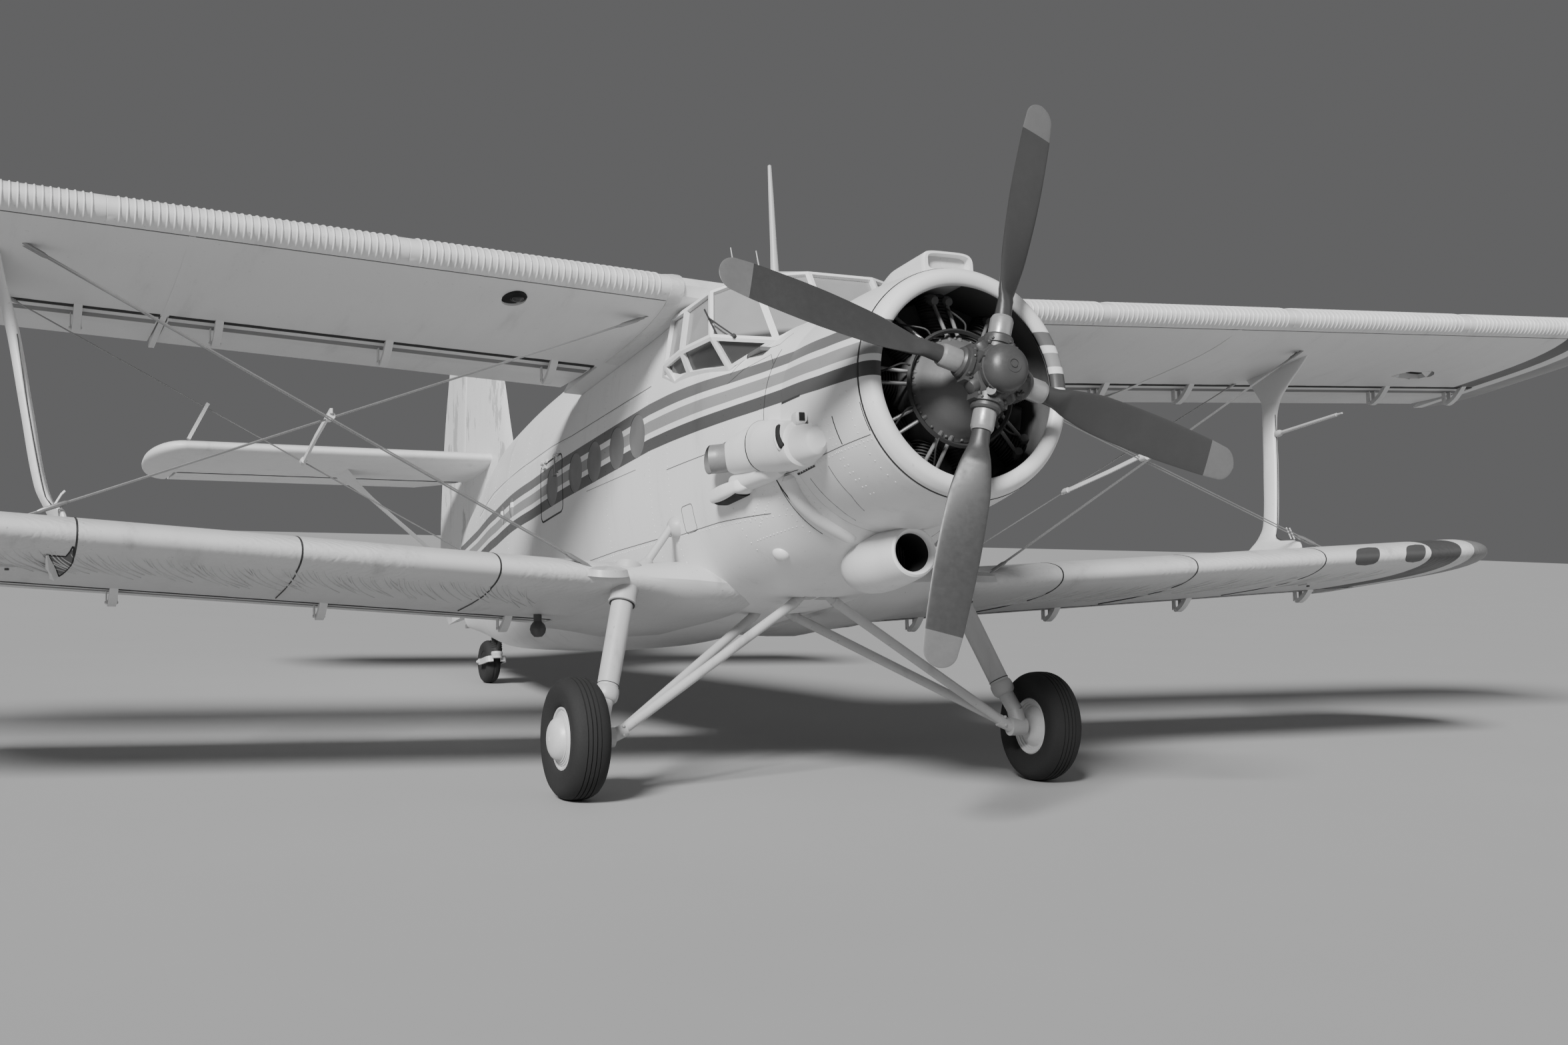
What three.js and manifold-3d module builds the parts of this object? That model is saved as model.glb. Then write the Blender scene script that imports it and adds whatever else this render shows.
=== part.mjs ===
// A parked single-engine utility biplane, standing tail down on its three wheels.
// Millimetres. +Z is up, the nose points along -Y, the port side is +X.
// The airframe is built level, about the propeller hub, and then set tail down.

import * as THREE from 'three';
import { ConvexGeometry } from 'three/addons/geometries/ConvexGeometry.js';
import { mergeVertices } from 'three/addons/utils/BufferGeometryUtils.js';
import Module from 'manifold-3d';

const wasm = await Module();
wasm.setup();

// How the aircraft stands: the hub's height and place, and the tail down angle.
const GROUND_ANGLE = THREE.MathUtils.degToRad(10.2);
const HUB_HEIGHT = 2754;
const HUB_AHEAD_OF_WHEELS = 2100;
const ORIGIN_BEHIND_WHEELS = 3965;

// Wheels.
const WHEEL_RADIUS = 400;
const WHEEL_WIDTH = 260;
const WHEEL_X = 1800;
const RIM_RADIUS = 205;
const AXLE_RADIUS = 36;
const TAIL_WHEEL_RADIUS = 235;
const TAIL_WHEEL_WIDTH = 160;
const WHEELBASE = 8180;

// Gaps: a seated piece, a running pin, and a piece that swings.
const SEAT = 0.4;
const RUN = 0.8;
const SWING = 8;

// Propeller.
const BLADE_TIP = 1800;
const BLADE_COUNT = 4;
const BLADE_LEAN = THREE.MathUtils.degToRad(16);
const HUB_BARREL_RADIUS = 175;
const HUB_BACK = 95;

// Engine and its cowl.
const CYLINDER_COUNT = 9;
const CYLINDER_HEAD = 655;
const CYLINDER_Y = 640;
const COWL_Z = 20;
const COWL_BACK = 1310;
const FIREWALL_Y = 1510;
const FIREWALL_THICK = 12;
const PANEL_THICK = 18;

// Fuselage.
const WALL = 32;
const SPLIT_Y = 6400;
const FLOOR_Z = -740;
const COCKPIT_FRONT = 1780;
const COCKPIT_BACK = 3300;
const STERN_Y = 11300;

// Each row is a fuselage section: place along Y, half width, top, bottom, squareness.
const FUSELAGE = [
  [1300, 762, 782, -742, 2.0],
  [FIREWALL_Y, 789, 795, -818, 2.14],
  [1600, 800, 800, -850, 2.2],
  [1950, 848, 830, -945, 2.5],
  [2400, 885, 1080, -1005, 2.8],
  [2950, 900, 1400, -1035, 3.2],
  [5000, 900, 1445, -1045, 3.0],
  [SPLIT_Y, 850, 1450, -965, 2.8],
  [8000, 680, 1440, -800, 2.6],
  [9400, 440, 1330, -620, 2.4],
  [10600, 230, 1120, -350, 2.2],
  [STERN_Y, 110, 980, -200, 2.0],
];

// A wing: leading edge and trailing edge at the centre line, rise per side, span.
const UPPER = { leY: 2570, leZ: 1185, teY: 4920, teZ: 950, rise: 0.0508, thick: 0.14, camber: 0.022, hinge: 0.66, half: 9090 };
const LOWER = { leY: 2650, leZ: -930, teY: 4660, teZ: -1045, rise: 0.0645, thick: 0.14, camber: 0.022, hinge: 0.72, half: 7120 };
const FUSELAGE_SIDE = 900;

// Control surfaces on the wings, as inner and outer ends along the span.
const UPPER_FLAP = [1000, 4150];
const AILERON = [4210, 8260];
const LOWER_FLAP = [1420, 6420];
const SLAT = [960, 8700];

// Tail surfaces.
const TAILPLANE = { leY: 10040, leZ: 1530, teY: 11880, teZ: 1530, rise: 0, thick: 0.11, camber: 0, hinge: 0.56, half: 3600 };
const RUDDER_HINGE_FOOT = [11400, -120];
const RUDDER_HINGE_HEAD = [10960, 3420];

// Undercarriage places, level.
const AXLE_Y = 2484;
const AXLE_Z = -1945;
const LEG_TOP = [1293, 2780, -850];
const KNEE = [1552, 2558, -1670];
const ANKLE = [1612, 2510, -1830];
const STRUT_APEX = [1478, 2484, -1905];
const BELLY_FITTING_FRONT = [60, 2480, -1020];
const BELLY_FITTING_REAR = [60, 3230, -1035];

// Interplane strut, level: upper and lower ends.
const STRUT_TOP_X = 5330;
const STRUT_FOOT_X = 4900;

// Doors, level: along Y from, to, then up from, to.
const CARGO_DOOR = [4860, 6320, -700, 800];
const EXIT_DOOR = [5255, 5890, 80, 565];
const ROUND_WINDOW_Z = 330;
const ROUND_WINDOW_RADIUS = 165;
const WINDOW_Y = [3500, 3940, 4450, 4910];
const EXIT_WINDOW_Y = 5545;
const CARGO_WINDOW_Y = [5230, 5950];

const COLOURS = {
  skin: [0xd8d8d6, 0.5, 0.1],
  dark: [0x4a4a4a, 0.55, 0.2],
  metal: [0x8f8f8f, 0.4, 0.8],
  rubber: [0x222222, 0.9, 0],
  glass: [0x8a9094, 0.2, 0.0],
  inside: [0x707470, 0.8, 0.0],
};

function material(kind) {
  const [color, roughness, metalness] = COLOURS[kind];
  return new THREE.MeshStandardMaterial({ color, roughness, metalness });
}

// Solids: meshes that are joined and cut.

function toSolid(geometry) {
  const bare = geometry.clone();
  bare.deleteAttribute('normal');
  bare.deleteAttribute('uv');
  const merged = mergeVertices(bare, 1e-3);
  const kept = [];
  const index = merged.index.array;
  for (let i = 0; i < index.length; i += 3) {
    const [a, b, c] = [index[i], index[i + 1], index[i + 2]];
    if (a !== b && b !== c && c !== a) kept.push(a, b, c);
  }
  const vertProperties = new Float32Array(merged.attributes.position.array);
  if (signedVolume(vertProperties, kept) < 0) {
    for (let i = 0; i < kept.length; i += 3) [kept[i], kept[i + 1]] = [kept[i + 1], kept[i]];
  }
  const mesh = new wasm.Mesh({ numProp: 3, vertProperties, triVerts: new Uint32Array(kept) });
  return new wasm.Manifold(mesh);
}

function signedVolume(p, index) {
  let volume = 0;
  for (let i = 0; i < index.length; i += 3) {
    const [a, b, c] = [3 * index[i], 3 * index[i + 1], 3 * index[i + 2]];
    volume += p[a] * (p[b + 1] * p[c + 2] - p[b + 2] * p[c + 1]);
    volume += p[a + 1] * (p[b + 2] * p[c] - p[b] * p[c + 2]);
    volume += p[a + 2] * (p[b] * p[c + 1] - p[b + 1] * p[c]);
  }
  return volume;
}

function toGeometry(solid) {
  const mesh = solid.getMesh();
  const geometry = new THREE.BufferGeometry();
  const count = mesh.vertProperties.length / mesh.numProp;
  const positions = new Float32Array(count * 3);
  for (let i = 0; i < count; i++) {
    for (let k = 0; k < 3; k++) positions[3 * i + k] = mesh.vertProperties[i * mesh.numProp + k];
  }
  geometry.setAttribute('position', new THREE.BufferAttribute(positions, 3));
  geometry.setIndex(Array.from(mesh.triVerts));
  geometry.computeVertexNormals();
  return geometry;
}

function join(...solids) {
  return solids.reduce((whole, piece) => whole.add(piece));
}

// A closed body through rings of equal length; each end is closed across the ring.
function loft(rings) {
  const n = rings[0].length;
  const index = [];
  for (let r = 0; r + 1 < rings.length; r++) {
    for (let i = 0; i < n; i++) {
      const a = r * n + i;
      const b = r * n + ((i + 1) % n);
      index.push(a, b, b + n, a, b + n, a + n);
    }
  }
  const last = (rings.length - 1) * n;
  for (let low = 0, high = n - 1; high - low > 1; low++, high--) {
    index.push(low, high, low + 1);
    index.push(last + low, last + low + 1, last + high);
    if (high - low > 2) {
      index.push(low + 1, high, high - 1);
      index.push(last + low + 1, last + high - 1, last + high);
    }
  }
  const geometry = new THREE.BufferGeometry();
  geometry.setAttribute('position', new THREE.BufferAttribute(new Float32Array(rings.flat(2)), 3));
  geometry.setIndex(index);
  return toSolid(geometry);
}

function box(low, high) {
  const size = high.map((v, i) => v - low[i]);
  const geometry = new THREE.BoxGeometry(...size);
  geometry.translate(...high.map((v, i) => (v + low[i]) / 2));
  return toSolid(geometry);
}

// A round bar from p to q.
function rod(p, q, radius, endRadius = radius, sides = 12) {
  const from = new THREE.Vector3(...p);
  const to = new THREE.Vector3(...q);
  const geometry = new THREE.CylinderGeometry(endRadius, radius, from.distanceTo(to), sides);
  const along = to.clone().sub(from).normalize();
  geometry.applyQuaternion(new THREE.Quaternion().setFromUnitVectors(new THREE.Vector3(0, 1, 0), along));
  geometry.translate(...from.add(to).multiplyScalar(0.5));
  return toSolid(geometry);
}

// A streamlined bar from p to q: its chord lies along Y.
function blade(p, q, chord, thick, endChord = chord) {
  const along = new THREE.Vector3(...q).sub(new THREE.Vector3(...p)).normalize();
  const aft = new THREE.Vector3(0, 1, 0).addScaledVector(along, -along.y).normalize();
  const across = new THREE.Vector3().crossVectors(along, aft);
  const rings = [[p, chord], [q, endChord]].map(([end, width]) => {
    const ring = [];
    for (let i = 0; i < 10; i++) {
      const angle = (i * Math.PI) / 5;
      const point = new THREE.Vector3(...end)
        .addScaledVector(aft, (width / 2) * Math.cos(angle))
        .addScaledVector(across, (thick / 2) * Math.sin(angle));
      ring.push(point.toArray());
    }
    return ring;
  });
  return loft(rings);
}

// A turned piece about a line along Y through the hub; the profile is radius and place.
function turned(profile, sides, z = 0) {
  const points = profile.map(([radius, y]) => new THREE.Vector2(radius, y));
  const geometry = new THREE.LatheGeometry(points, sides);
  geometry.translate(0, 0, z);
  return toSolid(geometry);
}

// A turned piece about a line along X.
function turnedAcross(profile, sides) {
  const points = profile.map(([radius, x]) => new THREE.Vector2(radius, x));
  const geometry = new THREE.LatheGeometry(points, sides);
  geometry.rotateZ(-Math.PI / 2);
  return toSolid(geometry);
}

// Fuselage sections.

function fuselageAt(y) {
  const next = FUSELAGE.findIndex((row) => row[0] >= y);
  const high = FUSELAGE[next < 0 ? FUSELAGE.length - 1 : Math.max(next, 1)];
  const low = FUSELAGE[(next < 0 ? FUSELAGE.length - 1 : Math.max(next, 1)) - 1];
  const t = (y - low[0]) / (high[0] - low[0]);
  return low.map((v, i) => v + t * (high[i] - v));
}

function fuselageRing(y, grow, count = 28) {
  const [, width, top, bottom, square] = fuselageAt(y);
  const middle = (top + bottom) / 2;
  const half = (top - bottom) / 2 + grow;
  const ring = [];
  for (let i = 0; i < count; i++) {
    const angle = (2 * Math.PI * (i + 0.5)) / count;
    const [c, s] = [Math.cos(angle), Math.sin(angle)];
    const x = Math.sign(c) * Math.abs(c) ** (2 / square) * (width + grow);
    const z = Math.sign(s) * Math.abs(s) ** (2 / square) * half;
    ring.push([x, y, middle + z]);
  }
  return ring;
}

function fuselageBody(from, to, grow) {
  const between = FUSELAGE.map((row) => row[0]).filter((y) => y > from + 1 && y < to - 1);
  return loft([from, ...between, to].map((y) => fuselageRing(y, grow)));
}

// Wing sections. u runs from the leading edge, 0, to the trailing edge, 1.

const FOIL_STEPS = [0.72, 0.6, 0.42, 0.27, 0.15, 0.07, 0.02];

function foilHeight(u, wing, upper) {
  const shape = 0.2969 * Math.sqrt(u) - 0.126 * u - 0.3516 * u ** 2 + 0.2843 * u ** 3 - 0.1015 * u ** 4;
  const camber = wing.camber * 4 * u * (1 - u);
  return camber + (upper ? 1 : -1) * (5 * wing.thick * shape + 0.002);
}

function wingPoint(wing, x, u, upper, grow = 0) {
  const chord = Math.hypot(wing.teY - wing.leY, wing.teZ - wing.leZ);
  const height = u <= 0 ? 0 : foilHeight(u, wing, upper) * chord + (upper ? grow : -grow);
  const along = u <= 0 ? -grow : u * (wing.teY - wing.leY) + (u >= 1 ? grow : 0);
  const tilt = (wing.teZ - wing.leZ) / (wing.teY - wing.leY);
  return [x, wing.leY + along - height * tilt, wing.leZ + along * tilt + height + Math.abs(x) * wing.rise];
}

// A ring round the section from the nose back to the place u = end.
function wingRing(wing, x, end, grow = 0) {
  const steps = [end, ...FOIL_STEPS.filter((u) => u < end - 0.05)];
  const upper = steps.map((u) => wingPoint(wing, x, u, true, grow));
  const lower = steps.map((u) => wingPoint(wing, x, u, false, grow)).reverse();
  return [...upper, wingPoint(wing, x, 0, true, grow), ...lower];
}

// The wing's rounded tip: rings that draw in towards the middle of the chord.
function tipRings(wing, side, from) {
  const rings = [];
  const reach = wing.half - from;
  for (const t of [0, 0.45, 0.75, 0.92, 1]) {
    const keep = Math.sqrt(1 - (0.985 * t) ** 2);
    const ring = wingRing(wing, side * (from + t * reach), 1);
    const [cy, cz] = [0.42, 0.42].map((u, i) => {
      const a = wingPoint(wing, side * (from + t * reach), u, true)[i + 1];
      const b = wingPoint(wing, side * (from + t * reach), u, false)[i + 1];
      return (a + b) / 2;
    });
    rings.push(ring.map(([x, y, z]) => [x, cy + (y - cy) * keep, cz + (z - cz) * keep]));
  }
  return rings;
}

// A loft whose end faces are closed from their middle.
function loftRound(rings) {
  const n = rings[0].length;
  const middle = (ring) => [0, 1, 2].map((k) => ring.reduce((sum, p) => sum + p[k], 0) / n);
  const positions = [...rings.flat(), middle(rings[0]), middle(rings[rings.length - 1])];
  const index = [];
  for (let r = 0; r + 1 < rings.length; r++) {
    for (let i = 0; i < n; i++) {
      const a = r * n + i;
      const b = r * n + ((i + 1) % n);
      index.push(a, b, b + n, a, b + n, a + n);
    }
  }
  const last = (rings.length - 1) * n;
  for (let i = 0; i < n; i++) {
    index.push((i + 1) % n, i, rings.length * n);
    index.push(last + i, last + ((i + 1) % n), rings.length * n + 1);
  }
  const geometry = new THREE.BufferGeometry();
  geometry.setAttribute('position', new THREE.BufferAttribute(new Float32Array(positions.flat()), 3));
  geometry.setIndex(index);
  return toSolid(geometry);
}

const level = new THREE.Group();
level.rotation.x = -GROUND_ANGLE;
level.position.set(0, -HUB_AHEAD_OF_WHEELS - ORIGIN_BEHIND_WHEELS, HUB_HEIGHT);

function piece(name, solid, kind) {
  const mesh = new THREE.Mesh(toGeometry(solid), material(kind));
  mesh.name = name;
  level.add(mesh);
  return mesh;
}

const SIDES = [['port', 1], ['starboard', -1]];

// Propeller: four blades in a barrel with round collars, and a dome on its front.

// Each row: distance from the hub's middle, chord, thickness, blade angle in degrees.
const BLADE_SECTIONS = [
  [330, 112, 108, 38],
  [430, 118, 92, 37],
  [560, 184, 62, 32],
  [800, 250, 40, 24],
  [1150, 264, 30, 16.5],
  [1500, 244, 24, 12.5],
  [1700, 212, 20, 11],
  [1775, 150, 16, 10.5],
  [BLADE_TIP, 70, 12, 10.5],
];

function propellerBlade() {
  const rings = BLADE_SECTIONS.map(([z, chord, thick, degrees]) => {
    const pitch = THREE.MathUtils.degToRad(degrees);
    const ring = [];
    for (let i = 0; i < 10; i++) {
      const angle = (i * Math.PI) / 5;
      const [a, b] = [(chord / 2) * Math.cos(angle), (thick / 2) * Math.sin(angle)];
      ring.push([a * Math.cos(pitch) - b * Math.sin(pitch), a * Math.sin(pitch) + b * Math.cos(pitch), z]);
    }
    return ring;
  });
  return loft(rings);
}

function spun(geometrySolid, angle) {
  const geometry = toGeometry(geometrySolid);
  geometry.rotateY(angle);
  return toSolid(geometry);
}

function propeller() {
  let whole = turned([[0, -92], [120, -92], [HUB_BARREL_RADIUS, -60], [HUB_BARREL_RADIUS, 60], [130, HUB_BACK], [0, HUB_BACK]], 24);
  for (let i = 0; i < BLADE_COUNT; i++) {
    const turn = BLADE_LEAN + (i * 2 * Math.PI) / BLADE_COUNT;
    const socket = rod([0, 0, 100], [0, 0, 300], 88, 82, 12);
    const collar = rod([0, 0, 300], [0, 0, 372], 72, 72, 12);
    whole = join(whole, spun(join(socket, collar, propellerBlade()), turn));
  }
  piece('propeller', whole, 'dark');
  const dome = turned([[0, -250], [45, -248], [95, -232], [128, -196], [142, -150], [142, -115], [124, -92.4], [0, -92.4]], 24);
  piece('propeller_dome', dome, 'metal');
}

// Radial engine: crankcase with its nose, nine cylinders, push rod tubes, a rear block.

function engine() {
  const shaftFace = HUB_BACK + SEAT;
  const engineBack = FIREWALL_Y - FIREWALL_THICK - SEAT;
  const nose = [[0, shaftFace], [90, shaftFace], [130, 130], [150, 200], [250, 300], [300, 380]];
  const back = [[330, 480], [330, 800], [260, 860], [260, engineBack], [0, engineBack]];
  let whole = turned([...nose, ...back], 27);
  for (let i = 0; i < CYLINDER_COUNT; i++) {
    const turn = (i * 2 * Math.PI) / CYLINDER_COUNT;
    const barrel = rod([0, CYLINDER_Y, 280], [0, CYLINDER_Y, 520], 88, 88, 10);
    const head = rod([0, CYLINDER_Y, 500], [0, CYLINDER_Y, CYLINDER_HEAD], 112, 96, 10);
    let one = join(barrel, head);
    for (const x of [-46, 46]) {
      one = join(one, rod([x * 0.8, 330, 240], [x, CYLINDER_Y - 92, 610], 13, 13, 5));
      one = join(one, rod([x, CYLINDER_Y - 120, 600], [x, CYLINDER_Y - 20, 600], 30, 30, 5));
    }
    whole = join(whole, spun(one, turn));
  }
  piece('radial_engine', whole, 'metal');
}

// Nose cowl: a ring with a rolled lip.

const COWL_PROFILE = [
  [612, 300], [600, 275], [612, 250], [645, 236], [682, 246], [712, 285], [735, 380], [762, 600],
  [776, 850], [776, 1050], [764, COWL_BACK], [746, COWL_BACK], [756, 1050], [752, 600], [700, 400], [640, 330],
];

function noseCowl() {
  const closed = [...COWL_PROFILE, COWL_PROFILE[0]];
  piece('nose_cowl', turned(closed, 48, COWL_Z), 'skin');
}

// The canopy's corners on the port side, as x, y, z; the starboard side mirrors them.
const CANOPY = {
  centreFoot: [250, 1620, 775],
  centreTop: [250, 1830, 1158],
  cornerFoot: [575, 1700, 615],
  cornerTop: [590, 2000, 1155],
  beltFront: [900, 2060, 710],
  shoulderFront: [825, 2200, 1080],
  blisterFront: [772, 2056, 489],
  beltMiddle: [940, 2500, 720],
  beltAft: [925, 2860, 710],
  shoulderMiddle: [830, 2630, 1070],
  shoulderAft: [830, 2910, 1080],
  footMiddle: [857, 2525, 564],
  footAft: [884, 2756, 544],
  blisterTip: [889, 2982, 657],
  roofMiddle: [330, 2480, 1345],
  roofAft: [330, 2950, 1385],
};
// Points of its lower edge, hidden inside the fuselage.
const CANOPY_ROOT = [[250, 1640, 560], [500, 1740, 440], [700, 2080, 350], [790, 2600, 400], [790, 2950, 450]];
const CANOPY_WALL = 28;
const CANOPY_PANE = 6;
const PANE_BORDER = 24;

// Panes on the port side by their corners; the starboard side mirrors them.
const PANES = [
  ['centreFoot', 'cornerFoot', 'cornerTop', 'centreTop'],
  ['cornerFoot', 'beltFront', 'shoulderFront', 'cornerTop'],
  ['cornerFoot', 'blisterFront', 'beltFront'],
  ['beltFront', 'beltMiddle', 'shoulderMiddle', 'shoulderFront'],
  ['beltMiddle', 'beltAft', 'shoulderAft', 'shoulderMiddle'],
  ['blisterFront', 'footMiddle', 'beltMiddle', 'beltFront'],
  ['footMiddle', 'footAft', 'beltAft', 'beltMiddle'],
  ['footAft', 'blisterTip', 'beltAft'],
  ['cornerTop', 'shoulderFront', 'roofMiddle'],
];

function mirrored([x, y, z], side) {
  return new THREE.Vector3(side * x, y, z);
}

function canopyHull(shift) {
  const corners = [...Object.values(CANOPY), ...CANOPY_ROOT];
  const points = corners.flatMap((corner) => [1, -1].map((side) => mirrored(corner, side).add(shift)));
  return toSolid(new ConvexGeometry(points));
}

// The canopy's outer shape with every face moved in by a depth.
function canopyInside(depth) {
  let inner = canopyHull(new THREE.Vector3());
  const steps = [-1, 0, 1];
  for (const [x, y, z] of steps.flatMap((i) => steps.flatMap((j) => steps.map((k) => [i, j, k])))) {
    if (x || y || z) inner = inner.intersect(canopyHull(new THREE.Vector3(x, y, z).setLength(depth)));
  }
  return inner;
}

// A flat outline's corners, each edge moved in by a border.
function inset(corners, border) {
  const middle = corners.reduce((sum, p) => sum.clone().add(p)).divideScalar(corners.length);
  const normal = corners[1].clone().sub(corners[0]).cross(corners[2].clone().sub(corners[0])).normalize();
  const edges = corners.map((p, i) => {
    const along = corners[(i + 1) % corners.length].clone().sub(p).normalize();
    const inward = normal.clone().cross(along);
    if (inward.dot(middle.clone().sub(p)) < 0) inward.negate();
    return { point: p.clone().addScaledVector(inward, border), along, inward };
  });
  const moved = edges.map((edge, i) => {
    const before = edges[(i + edges.length - 1) % edges.length];
    const reach = before.point.clone().sub(edge.point).dot(before.inward) / edge.along.dot(before.inward);
    return edge.point.clone().addScaledVector(edge.along, reach);
  });
  return { moved, normal };
}

function paneCut(corners) {
  const { moved, normal } = inset(corners, PANE_BORDER);
  const reach = 2 * CANOPY_WALL;
  const points = moved.flatMap((p) => [reach, -reach].map((d) => p.clone().addScaledVector(normal, d)));
  return toSolid(new ConvexGeometry(points));
}

function paneCuts() {
  const { centreFoot, centreTop } = CANOPY;
  const centre = [[centreFoot, -1], [centreFoot, 1], [centreTop, 1], [centreTop, -1]];
  const cuts = [paneCut(centre.map(([corner, side]) => mirrored(corner, side)))];
  for (const side of [1, -1]) {
    for (const pane of PANES) cuts.push(paneCut(pane.map((name) => mirrored(CANOPY[name], side))));
  }
  return join(...cuts);
}

function wingBlock(wing, grow, reach) {
  return loft([wingRing(wing, -reach, 1, grow), wingRing(wing, 0, 1, grow), wingRing(wing, reach, 1, grow)]);
}

function windowCut(sign, y, z = ROUND_WINDOW_Z) {
  return rod([sign * 700, y, z], [sign * 1100, y, z], ROUND_WINDOW_RADIUS, ROUND_WINDOW_RADIUS, 16);
}

function shellBetween(from, to, outerGrow, innerGrow) {
  const between = FUSELAGE.map((row) => row[0]).filter((y) => y > from - 59 && y < to + 59);
  const stations = [from - 60, ...between, to + 60];
  const inner = loft(stations.map((y) => fuselageRing(y, innerGrow)));
  return fuselageBody(from, to, outerGrow).subtract(inner);
}

// A door's hinges: knuckles on the door round a pin that two lugs hold to the fuselage.
const HINGE_PIN_RADIUS = 8;
const KNUCKLE_RADIUS = 17;

function surfaceX(y, z) {
  const [, width, top, bottom, square] = fuselageAt(y);
  const off = Math.abs(z - (top + bottom) / 2) / ((top - bottom) / 2);
  return width * (1 - off ** square) ** (1 / square);
}

// A box from one side place to another; sign mirrors it to starboard.
function sideBox(sign, [x0, x1], [y0, y1], [z0, z1]) {
  const [low, high] = [sign * x0, sign * x1].sort((a, b) => a - b);
  return box([low, y0, z0], [high, y1, z1]);
}

function doorHinge(sign, { x, z, places }) {
  const pins = [];
  const knuckles = [];
  const bores = [];
  const line = (y, half, radius) => rod([sign * x, y - half, z], [sign * x, y + half, z], radius, radius, 10);
  for (const y of places) {
    const skin = surfaceX(y, z) - WALL / 2;
    pins.push(line(y, 62, HINGE_PIN_RADIUS));
    pins.push(sideBox(sign, [skin, x], [y - 62, y - 42], [z - 5, z + 28]));
    pins.push(sideBox(sign, [skin, x], [y + 42, y + 62], [z - 5, z + 28]));
    knuckles.push(line(y, 34, KNUCKLE_RADIUS));
    knuckles.push(sideBox(sign, [skin, x], [y - 34, y + 34], [z - 48, z - 9]));
    bores.push(line(y, 80, HINGE_PIN_RADIUS + RUN));
  }
  return { pins: join(...pins), knuckles: join(...knuckles), bores: join(...bores) };
}

function doorBox(sign, [y0, y1, z0, z1], shrink) {
  const x = [sign * 500, sign * 1100].sort((a, b) => a - b);
  return box([x[0], y0 + shrink, z0 + shrink], [x[1], y1 - shrink, z1 - shrink]);
}

const DOOR_HINGES = {
  cargo: { x: 896, z: CARGO_DOOR[3] + 6, places: [5100, 6080] },
  exit: { x: 898, z: EXIT_DOOR[3] + 6, places: [5400, 5740] },
};

function fuselageAndDoors() {
  const cargo = doorHinge(1, DOOR_HINGES.cargo);
  const exit = doorHinge(-1, DOOR_HINGES.exit);
  const shell = shellBetween(FIREWALL_Y + SEAT, SPLIT_Y, 0, -WALL);
  const cargoHole = doorBox(1, CARGO_DOOR, 0);
  const exitHole = doorBox(-1, EXIT_DOOR, 0);

  let cabin = shell.subtract(canopyInside(CANOPY_WALL));
  cabin = cabin.subtract(wingBlock(UPPER, 1, FUSELAGE_SIDE + 80));
  cabin = cabin.subtract(cargoHole).subtract(exitHole);
  for (const y of WINDOW_Y) cabin = cabin.subtract(windowCut(-1, y));
  for (const y of WINDOW_Y.slice(0, 3)) cabin = cabin.subtract(windowCut(1, y));
  cabin = cabin.add(cargo.pins).add(exit.pins);
  piece('fuselage_cabin', largest(cabin), 'skin');

  let cargoDoor = shell.intersect(doorBox(1, CARGO_DOOR, SWING - 2)).add(cargo.knuckles).subtract(cargo.bores);
  for (const y of CARGO_WINDOW_Y) cargoDoor = cargoDoor.subtract(windowCut(1, y));
  piece('cargo_door_port', cargoDoor, 'skin');
  let exitDoor = shell.intersect(doorBox(-1, EXIT_DOOR, SWING - 2)).add(exit.knuckles).subtract(exit.bores);
  exitDoor = exitDoor.subtract(windowCut(-1, EXIT_WINDOW_Y));
  piece('emergency_exit_starboard', exitDoor, 'skin');

  const pane = shellBetween(3250, 5180, -WALL - SEAT, -WALL - 6);
  piece('cabin_glazing_starboard', pane.intersect(box([-1000, 3260, 130], [-500, 5170, 530])), 'glass');
  piece('cabin_glazing_port', pane.intersect(box([500, 3260, 130], [1000, 4640, 530])), 'glass');
}

function canopy() {
  const around = join(wingBlock(UPPER, SEAT, FUSELAGE_SIDE + 80), fuselageBody(FIREWALL_Y + SEAT, 3200, SEAT));
  const frame = canopyHull(new THREE.Vector3()).subtract(canopyInside(CANOPY_WALL)).subtract(around);
  piece('canopy_frame', largest(frame.subtract(paneCuts())), 'skin');
  const liner = canopyInside(CANOPY_WALL + SEAT).subtract(canopyInside(CANOPY_WALL + SEAT + CANOPY_PANE));
  piece('canopy_glass', largest(liner.subtract(around)), 'glass');
}

// The biggest connected part of a solid: what a cut leaves loose is dropped.
function largest(solid) {
  const parts = solid.decompose();
  return parts.reduce((best, part) => (part.volume() > best.volume() ? part : best));
}

function cabinInside() {
  const room = fuselageBody(FIREWALL_Y + 20, SPLIT_Y - 1, -WALL - SEAT);
  const floor = (from, to) => room.intersect(box([-900, from, FLOOR_Z - 24], [900, to, FLOOR_Z]));
  piece('cockpit_floor', floor(COCKPIT_FRONT, COCKPIT_BACK), 'inside');
  piece('cabin_floor', floor(COCKPIT_BACK + SEAT, SPLIT_Y - 1), 'inside');
  const panel = box([-700, 1900, 100], [700, 1950, 560]);
  const coaming = box([-700, 1700, 540], [700, 1960, 565]);
  piece('instrument_panel', room.intersect(join(panel, coaming)), 'inside');
  for (const [name, side] of SIDES) {
    const x = side * 420;
    const base = box([x - 210, 2800, FLOOR_Z + SEAT], [x + 210, 3180, FLOOR_Z + 380]);
    const cushion = box([x - 225, 2740, FLOOR_Z + 380], [x + 225, 3200, FLOOR_Z + 470]);
    const back = box([x - 215, 3170, FLOOR_Z + 400], [x + 215, 3260, FLOOR_Z + 1150]);
    piece(`pilot_seat_${name}`, join(base, cushion, back), 'inside');
  }
  const bulkhead = fuselageBody(FIREWALL_Y - FIREWALL_THICK, FIREWALL_Y - SEAT, -PANEL_THICK - SEAT);
  piece('firewall', bulkhead, 'metal');
}

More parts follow.
